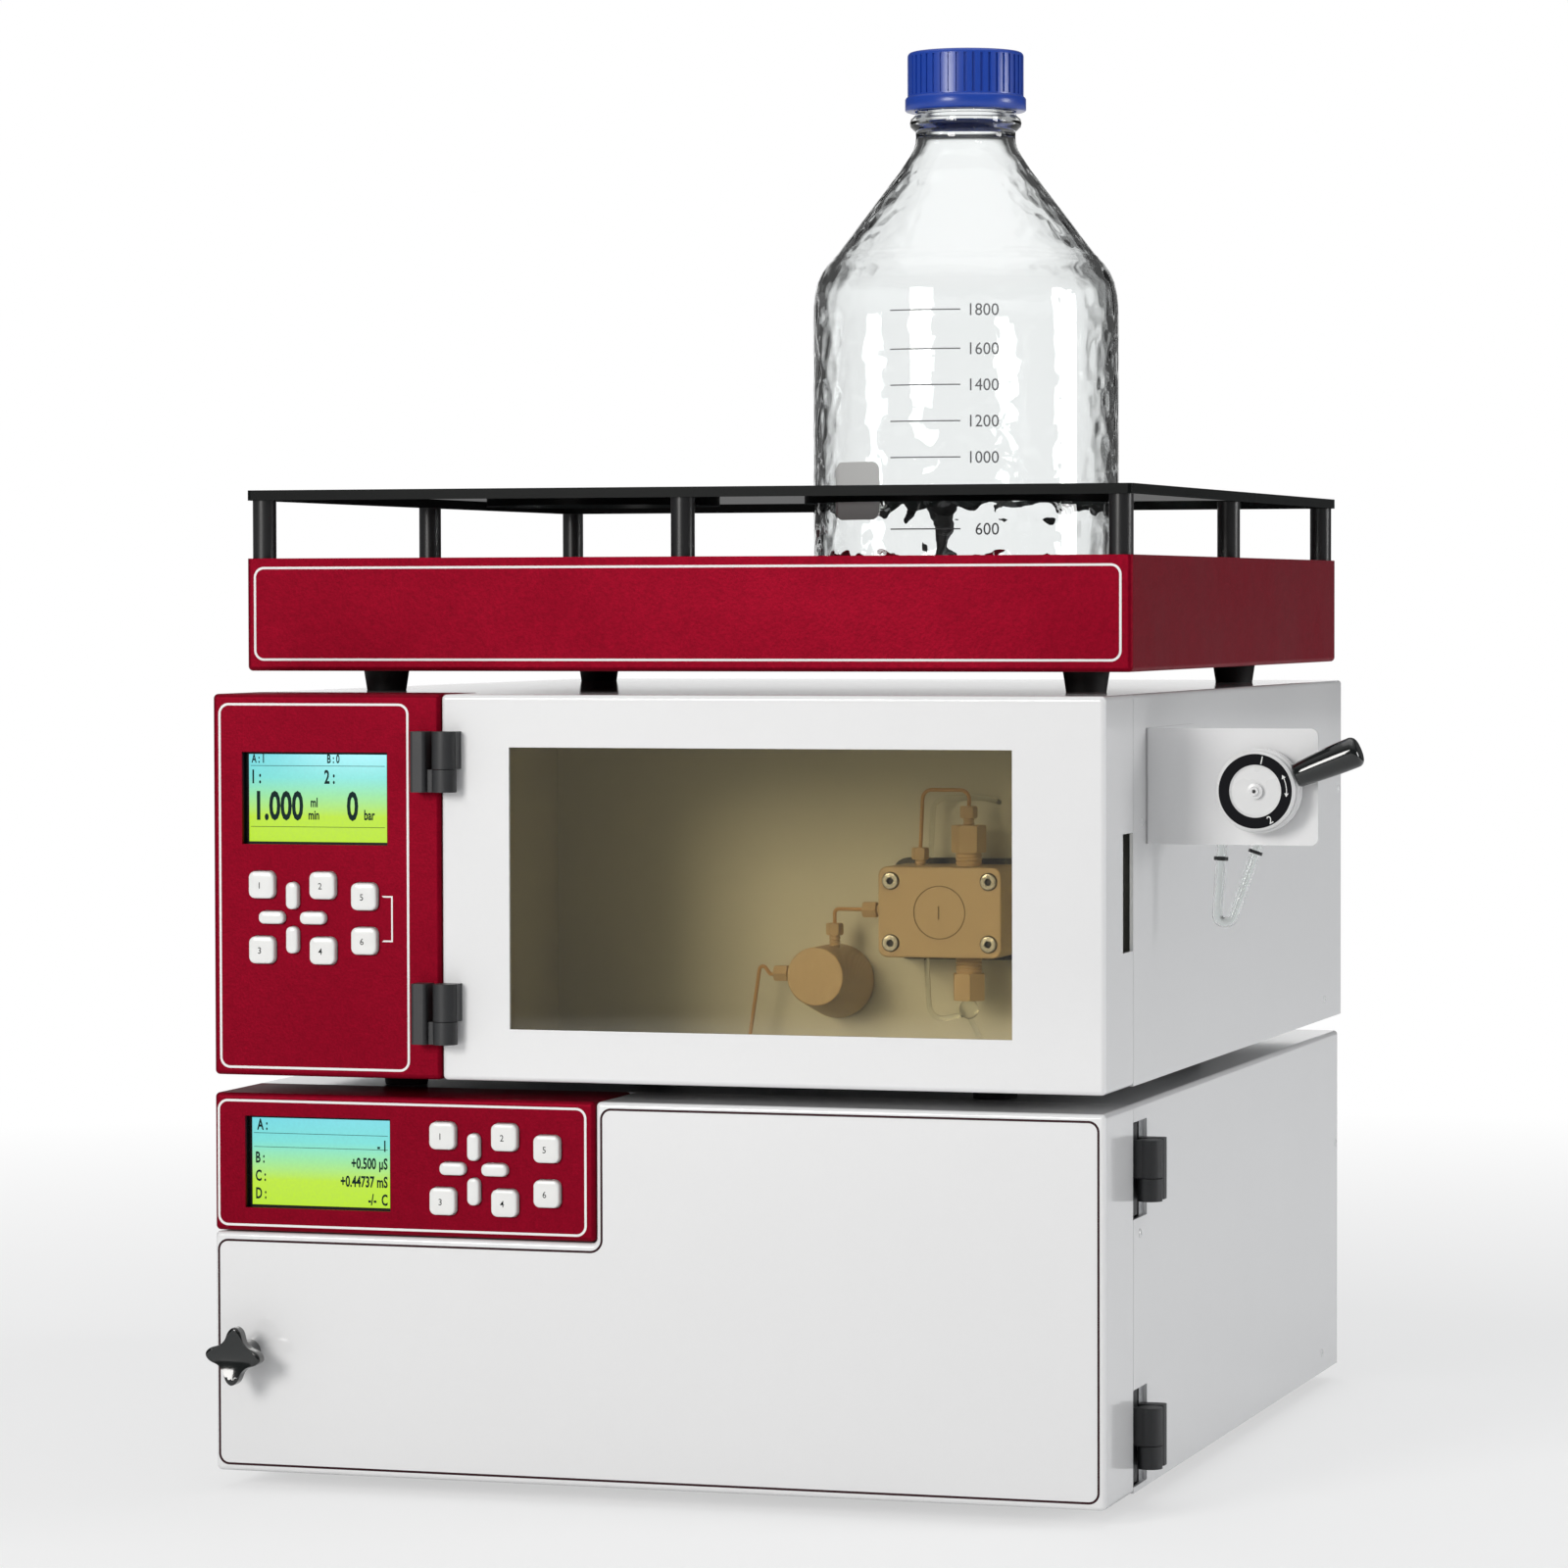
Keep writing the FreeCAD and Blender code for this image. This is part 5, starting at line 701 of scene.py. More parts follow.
BLACK_GLOSS = Coat("polished_black_plastic", "black_gloss", (0.008, 0.010, 0.010), gloss=0.12, spread=0.04,
                   texture=Texture.MOULDED, grain=0.5, depth=0.003, mottle=0.3, clear=0.5, clear_gloss=0.04)
SOFT_BLACK = Coat("moulded_black_plastic", "black_gloss", (0.012, 0.012, 0.013), gloss=0.34, spread=0.06,
                  texture=Texture.MOULDED, grain=0.4, depth=0.01, mottle=0.3)
RUBBER = Coat("moulded_rubber", "black_rubber", (0.010, 0.010, 0.010), gloss=0.62, spread=0.08,
              texture=Texture.MOULDED, grain=0.5, mottle=0.3)
KEY_PLASTIC = Coat("white_key_plastic", "key_white", (0.83, 0.83, 0.815), gloss=0.22, spread=0.04,
                   texture=Texture.MOULDED, grain=0.5, depth=0.002, mottle=0.02, clear=0.4,
                   clear_gloss=0.08)
DISPLAY_BLACK = Coat("display_housing", "display", (0.004, 0.004, 0.005), gloss=0.45,
                     texture=Texture.MOULDED, grain=0.5, depth=0.005, mottle=0.2, specular=0.2)
PEEK = Coat("tan_machined_plastic", "peek", (0.66, 0.49, 0.29), gloss=0.42, spread=0.06,
            texture=Texture.MOULDED, grain=0.25, depth=0.008, mottle=0.14)
PEEK_TUBE = Coat("amber_capillary", "peek", (0.62, 0.36, 0.15), gloss=0.34, texture=Texture.MOULDED,
                 grain=0.3, depth=0.003, mottle=0.1)
BLUE_PLASTIC = Coat("blue_cap_plastic", "blue_plastic", (0.010, 0.060, 0.42), gloss=0.30,
                    texture=Texture.MOULDED, grain=0.35, depth=0.01, mottle=0.15, clear=0.25,
                    clear_gloss=0.2)
BRIGHT_STEEL = Coat("bright_steel", "bright_screws", (0.72, 0.71, 0.69), gloss=0.22, spread=0.06,
                    metallic=1.0, texture=Texture.BRUSHED, grain=0.3, depth=0.003, mottle=0.2)
WHITE_DIAL = Coat("white_dial_plastic", "dial_white", (0.74, 0.74, 0.74), gloss=0.28, spread=0.04,
                  texture=Texture.MOULDED, grain=0.4, depth=0.004, mottle=0.02)
WHITE_INK = Coat("white_print", "white_paint", (0.84, 0.84, 0.83), gloss=0.5, spread=0.04,
                 texture=Texture.MOULDED, grain=0.3, depth=0.002, mottle=0.04)
DARK_INK = Coat("maroon_print", "red_paint", (0.030, 0.004, 0.008), gloss=0.45, spread=0.04,
                texture=Texture.MOULDED, grain=0.3, depth=0.002, mottle=0.1, specular=0.2)
BLACK_INK = Coat("black_print", "black_paint", (0.004, 0.004, 0.006), gloss=0.5, spread=0.04,
                 texture=Texture.MOULDED, grain=0.3, depth=0.002, mottle=0.1, specular=0.08)
SCREEN_INK = Coat("display_figures", "display", (0.002, 0.020, 0.018), gloss=0.5, spread=0.02,
                  texture=Texture.MOULDED, grain=0.3, depth=0.001, mottle=0.1, specular=0.1)
BOTTLE_INK = Coat("bottle_print", "white_paint", (0.17, 0.175, 0.18), gloss=0.5, spread=0.04,
                  texture=Texture.MOULDED, grain=0.4, depth=0.002, mottle=0.1)
BOTTLE_FIELD = Coat("bottle_writing_field", "white_paint", (0.66, 0.66, 0.65), gloss=0.6, spread=0.04,
                    texture=Texture.MOULDED, grain=0.4, depth=0.01)
RAIL_EDGE = Coat("rail_edge", "smoked_rail", (0.006, 0.007, 0.007), gloss=0.3, spread=0.04,
                 texture=Texture.MOULDED, grain=0.5, depth=0.004, mottle=0.3, specular=0.06)
SMOKED_RAIL = Coat("smoked_clear_sheet", "smoked_rail", (0.008, 0.009, 0.010), gloss=0.5, spread=0.03,
                   texture=Texture.MOULDED, depth=0.001, mottle=0.1, specular=0.0, alpha=0.62)
# The pump head's number, and painted shade in the head's ring groove and screw wells
PEEK_MARK_AND_SHADE = Coat("tan_mark_and_painted_shade", "peek", (0.30, 0.21, 0.11), gloss=0.6, texture=Texture.MOULDED,
                  grain=0.25, depth=0.004, mottle=0.1)
# Painted shade in the pump head screws' sockets, which the lamps leave as bright as the screw faces
SOCKET_SHADE = Coat("painted_socket_shade", "bright_screws", (0.035, 0.033, 0.030), metallic=0.6,
                    texture=Texture.MOULDED, grain=0.25, depth=0.004, mottle=0.1)
BOTTLE_GLASS = Glass("clear_bottle_glass", "bottle_glass", (0.975, 0.99, 0.988),
                     shadow=(0.95, 0.965, 0.965))
SMOKED_PANE = Glass("bronze_pane", "smoked_pane", (0.67, 0.61, 0.45), shadow=(0.83, 0.79, 0.69), index=1.49)
CLEAR_HOSE = Glass("clear_soft_hose", "clear_hose", (0.95, 0.97, 0.96), shadow=(0.66, 0.67, 0.67),
                   gloss=0.03, index=1.40)


def dress(finish: Dressing, *nodes: str, angle: float = 28.0) -> None:
    """Gives CAD nodes a finish and smooth shading over their bends.

    Args:
        finish: The finish.
        nodes: The CAD nodes' names.
        angle: Edges sharper than this many degrees stay sharp.
    """
    for name in nodes:
        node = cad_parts[name]
        node.data.materials.clear()
        node.data.materials.append(finish.material())
        node.data.polygons.foreach_set("use_smooth", [True] * len(node.data.polygons))
        weld = node.modifiers.new("weld", "WELD")
        weld.merge_threshold = WELD_DISTANCE
        split = node.modifiers.new("split", "EDGE_SPLIT")
        split.split_angle = math.radians(angle)
        weighted = node.modifiers.new("weighted", "WEIGHTED_NORMAL")
        weighted.mode = "FACE_AREA"
        weighted.weight = 100
        weighted.keep_sharp = True


# Sub-assemblies

@dataclass
class SheetMetal:
    """The folded covers, chassis, doors and the small screws that hold the covers."""

    width: float = 383.0
    screw_radius: float = 1.9
    screw_profile: tuple[tuple[float, float], ...] = ((0.0, 0.62), (0.45, 0.58), (0.8, 0.42), (1.0, 0.12),
                                                      (1.0, -0.1), (0.0, -0.1))
    screw_steps: int = 24
    recess_share: float = 0.45
    recess_edge: float = 0.1
    recess_depth: float = 0.35
    upper_screws: tuple[tuple[float, float], ...] = ((61.3, 272.7), (459.0, 273.4), (427.4, 175.2))
    lower_screws: tuple[tuple[float, float], ...] = ((58.5, 105.0), (453.0, 105.2), (421.8, 8.9))
    line_left: float = 1.2
    line_right: float = 380.6
    line_low: float = 2.5
    line_high: float = 156.0
    notch_x: float = 170.4
    notch_z: float = 97.3
    line_corner: float = 4.6
    line_width: float = 0.95

    def build(self) -> None:
        """Dresses the sheet metal, sets the screws and prints the oven door's line."""
        dress(WHITE_POWDER, "lower_cover", "upper_cover", "oven_door", "pump_door", "valve_bracket")
        dress(ZINC_SHEET, "lower_chassis", "upper_chassis")
        dress(STAINLESS, "oven_liner", "separation_column")
        dress(ALUMINIUM, "heater_block")
        dress(PEEK, "conductivity_cell")
        dress(RUBBER, "rubber_feet")
        dress(HINGE_COAT, "oven_door_hinges", "pump_door_hinges", "body_hinges")
        dress(BLACK_GLOSS, "star_knob", angle=GRIP_SMOOTH)
        self.cover_screws()
        self.door_line()

    def screw(self, place: Vector, outward: Vector) -> bpy.types.Object:
        """A low domed screw head with a round recess.

        Its profile is a row of (share of the radius, height in millimetres).

        Args:
            place: The middle of its seat.
            outward: The way it faces.

        Returns:
            The new object.
        """
        profile = [(share * self.screw_radius, height) for share, height in self.screw_profile]
        head = turned(profile, Vector(), UP, self.screw_steps)
        reach = self.screw_radius * self.recess_share * MM
        with editing(head):
            pick_faces(head, lambda centre, normal: centre.xy.length < reach and normal.z > 0.5)
            bpy.ops.mesh.inset(thickness=self.recess_edge * MM)
            bpy.ops.transform.translate(value=(0, 0, -self.recess_depth * MM))
        head.matrix_world = Matrix.Translation(place) @ turn_matrix(outward)
        settle(head)
        return head

    def cover_screws(self) -> None:
        """Sets the screws on both sides of both covers."""
        heads = []
        for y, z in (*self.upper_screws, *self.lower_screws):
            heads.append(self.screw(DATUM.at(self.width, y, z), Vector((1, 0, 0))))
            heads.append(self.screw(DATUM.at(0, y, z), Vector((-1, 0, 0))))
        hand_over(join(heads), "cover_screws", Body.CABINETS, WHITE_POWDER)

    def door_line(self) -> None:
        """Prints the dark line that follows the oven door's L-shaped face."""
        line = plate_between(self.line_left, self.line_right, self.line_low, self.line_high, 0)
        corner = DATUM.at(self.notch_x, 0, self.notch_z)
        with editing(line):
            for normal in ((1, 0, 0), (0, 0, 1)):
                bpy.ops.mesh.select_all(action="SELECT")
                bpy.ops.mesh.bisect(plane_co=corner, plane_no=normal)
            pick_faces(line, lambda centre, normal: centre.x < corner.x and centre.z > corner.z)
            bpy.ops.mesh.delete(type="FACE")
            bpy.ops.mesh.select_all(action="SELECT")
            bpy.ops.mesh.dissolve_limited(angle_limit=math.radians(1.0))
        outline_band(line, self.line_corner, self.line_width)
        hand_over(line, "oven_door_line", Body.OVEN_DOOR, DARK_INK, PRINT_SMOOTH)


@dataclass
class ControlPanel:
    """One red panel: its printed line, its display and its ten keys."""

    name: str
    left: float
    right: float
    bottom: float
    top: float
    screen_left: float
    screen_top: float
    pad_x: float
    pad_z: float
    figures: tuple[tuple[str, float, float, float, str], ...]
    rules: tuple[float, ...]
    screen_width: float = 64.8
    screen_height: float = 38.4
    screen_depth: float = 4.0
    glass_lift: float = 0.25
    glass_margin: tuple[float, float] = (3.4, 2.0)
    glass_bevel: float = 0.5
    glass_rise: float = 0.1
    glass_thickness: float = 0.2
    figure_lift: float = 0.36
    figure_squeeze: float = 0.62
    figure_thickness: float = 0.02
    rule_margin: float = 5.0
    rule_width: float = 0.22
    line_corner: float = 4.5
    line_width: float = 1.0
    key_size: float = 11.3
    key_corner: float = 2.7
    corner_steps: int = 8
    oval_length: float = 11.2
    oval_width: float = 5.2
    oval_flat: float = 0.3
    key_proud: float = 3.0
    key_edge: float = 1.0
    edge_steps: int = 5
    crown_inset: float = 1.1
    crown_rise: float = 0.13
    flange: float = 0.9
    flange_back: float = 2.5
    sheet: float = 1.5
    pitch: float = 13.55
    oval_pitch: float = 9.2
    side_offset: float = 32.0
    stroke_growth: float = 0.028
    number_size: float = 3.8
    number_squeeze: float = 0.95
    number_thickness: float = 0.02
    number_weight: float = 0.014
    number_offset: Place = (-0.6, -0.13, -1.5)
    bracket: bool = False
    bracket_x: float = 41.6
    bracket_reach: float = 2.4
    bracket_line: float = 0.7

    def build(self) -> None:
        """Builds the panel's line, display and keys."""
        self.printed_line()
        if self.bracket:
            self.key_bracket()
        self.display()
        self.keys()

    def printed_line(self) -> None:
        """Prints the white line along the panel's edge."""
        line = plate_between(self.left, self.right, self.bottom, self.top, 0)
        outline_band(line, self.line_corner, self.line_width)
        hand_over(line, f"{self.name}_panel_line", Body.CABINETS, WHITE_INK, PRINT_SMOOTH)

    def key_bracket(self) -> None:
        """Prints the white bracket that joins the two side keys at their right."""
        middle = DATUM.at(self.pad_x + self.bracket_x, 0, self.pad_z)
        line = plate(middle, 2 * self.bracket_reach, 2 * self.oval_pitch + self.bracket_line)
        with editing(line):
            bpy.ops.mesh.select_all(action="SELECT")
            bpy.ops.mesh.inset(thickness=self.bracket_line * MM)
            bpy.ops.mesh.delete(type="FACE")
            edge = middle.x - (self.bracket_reach - self.bracket_line) * MM
            pick_faces(line, lambda centre, normal: centre.x < edge)
            bpy.ops.mesh.delete(type="FACE")
            bpy.ops.mesh.select_all(action="SELECT")
            extrude((0, -PRINT_THICKNESS * MM, 0))
            bpy.ops.mesh.select_all(action="SELECT")
            bpy.ops.mesh.normals_make_consistent(inside=False)
        hand_over(line, f"{self.name}_key_bracket", Body.CABINETS, WHITE_INK, PRINT_SMOOTH)

    def display(self) -> None:
        """Builds the lit screen in its recess, with plain figures and rules on it."""
        low = self.screen_top - self.screen_height
        centre_x = self.screen_left + self.screen_width / 2
        centre_z = self.screen_top - self.screen_height / 2
        middle = DATUM.at(centre_x, self.screen_depth - self.glass_lift, centre_z)
        side_margin, end_margin = self.glass_margin
        screen = plate(middle, self.screen_width - side_margin, self.screen_height - end_margin)
        with editing(screen):
            bpy.ops.mesh.select_all(action="SELECT")
            bpy.ops.mesh.inset(thickness=self.glass_bevel * MM)
            bpy.ops.transform.translate(value=(0, -self.glass_rise * MM, 0))
            bpy.ops.mesh.select_all(action="SELECT")
            back = (0, self.glass_thickness * MM, 0)
            extrude(back)
            bpy.ops.mesh.select_all(action="SELECT")
            bpy.ops.mesh.normals_make_consistent(inside=False)
        finish = LitScreen(f"{self.name}_screen_glow", "display", low, self.screen_top)
        hand_over(screen, f"{self.name}_screen", Body.CABINETS, finish, PRINT_SMOOTH)
        face = self.screen_depth - self.figure_lift
        marks = []
        for text, dx, dz, size, align in self.figures:
            place = DATUM.at(self.screen_left + dx, face, low + dz)
            weight = size * self.stroke_growth
            mark = lettering(text, place, size, self.figure_squeeze, align, self.figure_thickness, weight)
            marks.append(mark)
        rule_length = self.screen_width - self.rule_margin
        for dz in self.rules:
            rule = plate(DATUM.at(centre_x, face, low + dz), rule_length, self.rule_width)
            apply_modifier(rule, "SOLIDIFY", thickness=self.figure_thickness * MM)
            marks.append(rule)
        hand_over(join(marks), f"{self.name}_screen_figures", Body.CABINETS, SCREEN_INK, PRINT_SMOOTH)

    def key_shape(self, width: float, height: float, corner: float) -> bpy.types.Object:
        """One key at the cabinet frame's zero: a soft-edged cap and the flange behind the panel.

        Args:
            width: Its width in millimetres.
            height: Its height in millimetres.
            corner: Its corners' radius in millimetres.

        Returns:
            The new object.
        """
        base = DATUM.at(0, 0, 0)
        grow = ((width + 2 * self.flange) / width, 1.0, (height + 2 * self.flange) / height)
        cap = plate(base, width, height)
        with editing(cap):
            bpy.ops.mesh.select_mode(type="VERT")
            bpy.ops.mesh.select_all(action="SELECT")
            bpy.ops.mesh.bevel(offset=corner * MM, segments=self.corner_steps, affect="VERTICES")
            pick_faces(cap, lambda centre, normal: True)
            wall = (0, (self.key_edge - self.key_proud) * MM, 0)
            extrude(wall)
            for step in range(self.edge_steps):
                low = math.pi / 2 * step / self.edge_steps
                high = math.pi / 2 * (step + 1) / self.edge_steps
                bpy.ops.mesh.inset(thickness=self.key_edge * (math.cos(low) - math.cos(high)) * MM,
                                   depth=self.key_edge * (math.sin(high) - math.sin(low)) * MM)
            bpy.ops.mesh.inset(thickness=self.crown_inset * MM, depth=self.crown_rise * MM)
            pick_faces(cap, lambda centre, normal: normal.y > 0.9)
            extrude((0, self.sheet * MM, 0))
            extrude((0, 0, 0))
            bpy.ops.transform.resize(value=grow, center_override=base)
            flange_back = (0, (self.flange_back - self.sheet) * MM, 0)
            extrude(flange_back)
        return cap

    def places(self) -> list[tuple[str, float, float, str]]:
        """Name, offset and shape of the ten keys."""
        p, o, s = self.pitch, self.oval_pitch, self.side_offset
        return [
            ("1", -p, p, "square"), ("2", p, p, "square"), ("3", -p, -p, "square"), ("4", p, -p, "square"),
            ("5", s, o, "square"), ("6", s, -o, "square"),
            ("up", 0, o, "upright"), ("down", 0, -o, "upright"),
            ("left", -o, 0, "level"), ("right", o, 0, "level"),
        ]

    def keys(self) -> None:
        """Builds the keys, each on its own body, with a small printed number on the square ones."""
        round_end = self.oval_width / 2 - self.oval_flat
        shapes = {
            "square": self.key_shape(self.key_size, self.key_size, self.key_corner),
            "upright": self.key_shape(self.oval_width, self.oval_length, round_end),
            "level": self.key_shape(self.oval_length, self.oval_width, round_end),
        }
        right, front, up = self.number_offset
        for name, dx, dz, shape in self.places():
            offset = Vector((self.pad_x + dx, 0, self.pad_z + dz)) * MM
            body = f"{self.name}_key_{name}"
            cap = copy_of(shapes[shape], offset)
            hand_over(cap, f"{body}_cap", body, KEY_PLASTIC, MOULDED_SMOOTH, [body])
            if shape == "square":
                place = DATUM.at(self.pad_x + dx + right, -self.key_proud + front, self.pad_z + dz + up)
                number = lettering(name, place, self.number_size, self.number_squeeze, "CENTER",
                                   self.number_thickness, self.number_weight)
                hand_over(number, f"{body}_number", body, BLACK_INK, PRINT_SMOOTH)
        for shape in shapes.values():
            bpy.data.objects.remove(shape)


@dataclass
class PumpCompartment:
    """The pane, the bulkhead and what is seen of the pump through the pane."""

    head_x: float = 283.9
    head_z: float = 231.8
    head_front: float = 110.7
    damper_x: float = 229.3
    damper_z: float = 203.9
    screw_pitch: tuple[float, float] = (42.8, 26.3)
    screw_proud: float = 1.1
    socket_radius: float = 1.75
    well_radius: float = 3.9
    ring_radius: float = 10.9
    ring_width: float = 0.5
    face_margin: float = 0.05
    number_offset: Place = (-0.4, -0.12, -3.0)
    number_size: float = 8.5
    number_squeeze: float = 0.7
    number_thickness: float = 0.12

    def build(self) -> None:
        """Dresses the compartment's nodes and adds the pump head's number."""
        dress(BULKHEAD_COAT, "pump_bulkhead")
        dress(SMOKED_PANE, "door_window")
        dress(BLACK_COAT, "pump_drive")
        dress(PEEK, "pump_head", "peek_fittings")
        dress(PEEK_TUBE, "capillaries")
        dress(BRIGHT_STEEL, "pump_head_screws")
        dress(CLEAR_HOSE, "clear_tubes")
        damper = TurnedCoat("turned_tan_plastic", "peek", (0.62, 0.455, 0.265), gloss=0.40, spread=0.05,
                            depth=0.02, mottle=0.35, centre=(self.damper_x, 0.0, self.damper_z))
        dress(damper, "pulse_damper")
        self.shade_recesses()
        right, front, up = self.number_offset
        place = DATUM.at(self.head_x + right, self.head_front + front, self.head_z + up)
        number = lettering("1", place, self.number_size, self.number_squeeze, "CENTER", self.number_thickness)
        hand_over(number, "pump_head_number", Body.CABINETS, PEEK_MARK_AND_SHADE, PRINT_SMOOTH)

    def shade_recesses(self) -> None:
        """Paints shade into the head's ring groove and screw wells and the screws' sockets, as darker
        finishes on those faces.
        """
        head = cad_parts["pump_head"].data
        head.materials.append(PEEK_MARK_AND_SHADE.material())
        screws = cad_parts["pump_head_screws"].data
        screws.materials.append(SOCKET_SHADE.material())
        front = DATUM.at(0, self.head_front + self.face_margin, 0).y
        centre = DATUM.at(self.head_x, 0, self.head_z)
        axes = [centre + Vector((sx * self.screw_pitch[0], 0, sz * self.screw_pitch[1])) * MM / 2
                for sx in (-1, 1) for sz in (-1, 1)]
        # Painted shade: faces in the ring groove and the screw wells take the dark tan finish
        for face in head.polygons:
            reach = (face.center - centre).xz.length / MM
            in_groove = abs(reach - self.ring_radius) < self.ring_width and face.center.y > front
            in_well = min((face.center - axis).xz.length for axis in axes) < self.well_radius * MM
            if in_groove and face.center.y < front + self.ring_width * MM or in_well:
                face.material_index = 1
        # Painted shade: the faces of the screws' sockets take the near-black finish
        for face in screws.polygons:
            near = min((face.center - axis).xz.length for axis in axes) < self.socket_radius * MM
            if near and face.center.y > front - self.screw_proud * MM:
                face.material_index = 1


@dataclass
class InjectionValve:
    """The valve on its bracket: dial, needle port, lever and grip."""

    centre: Place = (431.6, 55.0, 285.9)
    ring_outer: float = 15.1
    ring_inner: float = 10.7
    ring_steps: int = 96
    ring_back: float = 0.02
    ring_front: float = -0.06
    marks: tuple[tuple[str, float], ...] = (("1", 78.0), ("2", -62.0))
    mark_proud: float = 0.09
    mark_size: float = 4.6
    mark_squeeze: float = 0.9
    mark_drop: float = 1.65
    mark_thickness: float = 0.02
    arrow_steps: tuple[float, ...] = (-2.0, 3.0, 8.0, 13.0, 18.0, 23.0)
    arrow_tips: tuple[tuple[float, int], ...] = ((-5.5, -1), (26.5, 1))
    arrow_line: float = 0.35
    arrow_step_length: float = 1.25
    arrow_tip_radius: float = 1.0
    lever_y: float = 62.4
    lever_angle: float = 22.0
    grip_start: float = 16.6
    grip_length: float = 28.0
    grip_inner: float = 5.1
    grip_outer: float = 6.3
    grip_round: float = 2.6
    grip_lip: float = 0.8
    grip_bore: float = 2.5
    grip_bore_depth: float = 14.0
    grip_steps: int = 8
    grip_segments: int = 64

    def build(self) -> None:
        """Dresses the valve and builds the dial's ring, its figures and the grip."""
        dress(BLACK_COAT, "valve_body")
        dress(WHITE_DIAL, "valve_dial", "valve_lever")
        self.dial_ring()
        self.grip()

    def dial_ring(self) -> None:
        """The black ring on the dial, with two numbers and a double arrow."""
        x, y, z = self.centre
        profile = [(self.ring_inner, self.ring_back), (self.ring_outer, self.ring_back),
                   (self.ring_outer, self.ring_front), (self.ring_inner, self.ring_front),
                   (self.ring_inner, self.ring_back)]
        ring = turned(profile, DATUM.at(x, y, z), Vector((0, 1, 0)), self.ring_steps)
        hand_over(ring, "dial_ring", Body.CABINETS, BLACK_INK, PRINT_SMOOTH)
        marks = []
        middle = (self.ring_inner + self.ring_outer) / 2
        face = y - self.mark_proud
        for text, degrees in self.marks:
            angle = math.radians(degrees)
            mark = lettering(text, Vector(), self.mark_size, self.mark_squeeze, "CENTER", self.mark_thickness)
            lean = Matrix.Rotation(angle - math.radians(90 if degrees > 0 else -90), 4, FORWARD)
            drop = Matrix.Translation(Vector((0, 0, -self.mark_drop * MM)))
            spot = DATUM.at(x + middle * math.cos(angle), face, z + middle * math.sin(angle))
            mark.matrix_world = Matrix.Translation(spot) @ lean @ drop
            settle(mark)
            marks.append(mark)
        marks.extend(self.arrow(DATUM.at(x, face, z), middle))
        hand_over(join(marks), "dial_marks", Body.CABINETS, WHITE_INK, PRINT_SMOOTH)

    def arrow(self, centre: Vector, radius: float) -> list[bpy.types.Object]:
        """A double arrow that follows the ring at its right.

        Args:
            centre: The dial's middle.
            radius: The arrow's distance from it, in millimetres.

        Returns:
            The arrow's pieces.
        """
        pieces = []
        for degrees in self.arrow_steps:
            angle = math.radians(degrees)
            spot = centre + Vector((math.cos(angle), 0, math.sin(angle))) * radius * MM
            bar = plate(Vector(), self.arrow_line, self.arrow_step_length)
            bar.matrix_world = Matrix.Translation(spot) @ Matrix.Rotation(-angle, 4, "Y")
            pieces.append(bar)
        for degrees, way in self.arrow_tips:
            angle = math.radians(degrees)
            spot = centre + Vector((math.cos(angle), 0, math.sin(angle))) * radius * MM
            deselect()
            bpy.ops.mesh.primitive_circle_add(vertices=3, radius=self.arrow_tip_radius * MM, fill_type="NGON",
                                              rotation=FACING_FRONT)
            tip = bpy.context.view_layer.objects.active
            bpy.ops.object.transform_apply(location=True, rotation=True, scale=True)
            turn = Matrix.Rotation(-angle + (0 if way > 0 else math.pi), 4, "Y")
            tip.matrix_world = Matrix.Translation(spot) @ turn
            pieces.append(tip)
        for piece in pieces:
            settle(piece)
            apply_modifier(piece, "SOLIDIFY", thickness=self.mark_thickness * MM)
        return pieces

    def grip(self) -> None:
        """The polished tapered grip, in place of the plain one."""
        angle = math.radians(self.lever_angle)
        along = Vector((math.cos(angle), 0, math.sin(angle)))
        start = self.grip_start
        end = start + self.grip_length
        inner, outer, round_edge = self.grip_inner, self.grip_outer, self.grip_round
        profile = [(self.grip_bore, start), (inner - 0.7, start), (inner - 0.2, start + 0.2),
                   (inner, start + self.grip_lip)]
        straight = self.grip_length - round_edge - self.grip_lip
        for step in range(1, self.grip_steps + 1):
            share = step / self.grip_steps
            swell = (outer - inner) * math.sin(share * math.pi / 2)
            profile.append((inner + swell, start + self.grip_lip + straight * share))
        for step in range(1, self.grip_steps + 1):
            turn = math.pi / 2 * step / self.grip_steps
            profile.append((outer - round_edge * (1 - math.cos(turn)),
                            end - round_edge + round_edge * math.sin(turn)))
        bore_end = start + self.grip_bore_depth
        profile += [(0, end), (0, bore_end), (self.grip_bore, bore_end), (self.grip_bore, start)]
        x, _, z = self.centre
        grip = turned(profile, DATUM.at(x, self.lever_y, z), along, self.grip_segments)
        hand_over(grip, "valve_grip", Body.VALVE_LEVER, BLACK_GLOSS, GRIP_SMOOTH, ["lever_grip"])


@dataclass
class ReagentTray:
    """The tray, its printed line, and the rail on its posts."""

    line_left: float = -0.4
    line_right: float = 378.3
    line_low: float = 338.3
    line_high: float = 378.1
    front: float = 46.5
    line_corner: float = 4.5
    line_width: float = 1.0

    def build(self) -> None:
        """Dresses the tray and the rail and prints the line on the tray's front."""
        dress(RED_POWDER, "reagent_tray", "lower_control_panel", "pump_control_panel")
        dress(SOFT_BLACK, "rail_posts")
        dress(SMOKED_RAIL, "rail_plate")
        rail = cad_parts["rail_plate"].data
        rail.materials.append(RAIL_EDGE.material())
        for face in rail.polygons:
            if abs(face.normal.z) < 0.5:
                face.material_index = 1
        line = plate_between(self.line_left, self.line_right, self.line_low, self.line_high, self.front)
        outline_band(line, self.line_corner, self.line_width)
        hand_over(line, "tray_line", Body.CABINETS, WHITE_INK, PRINT_SMOOTH)


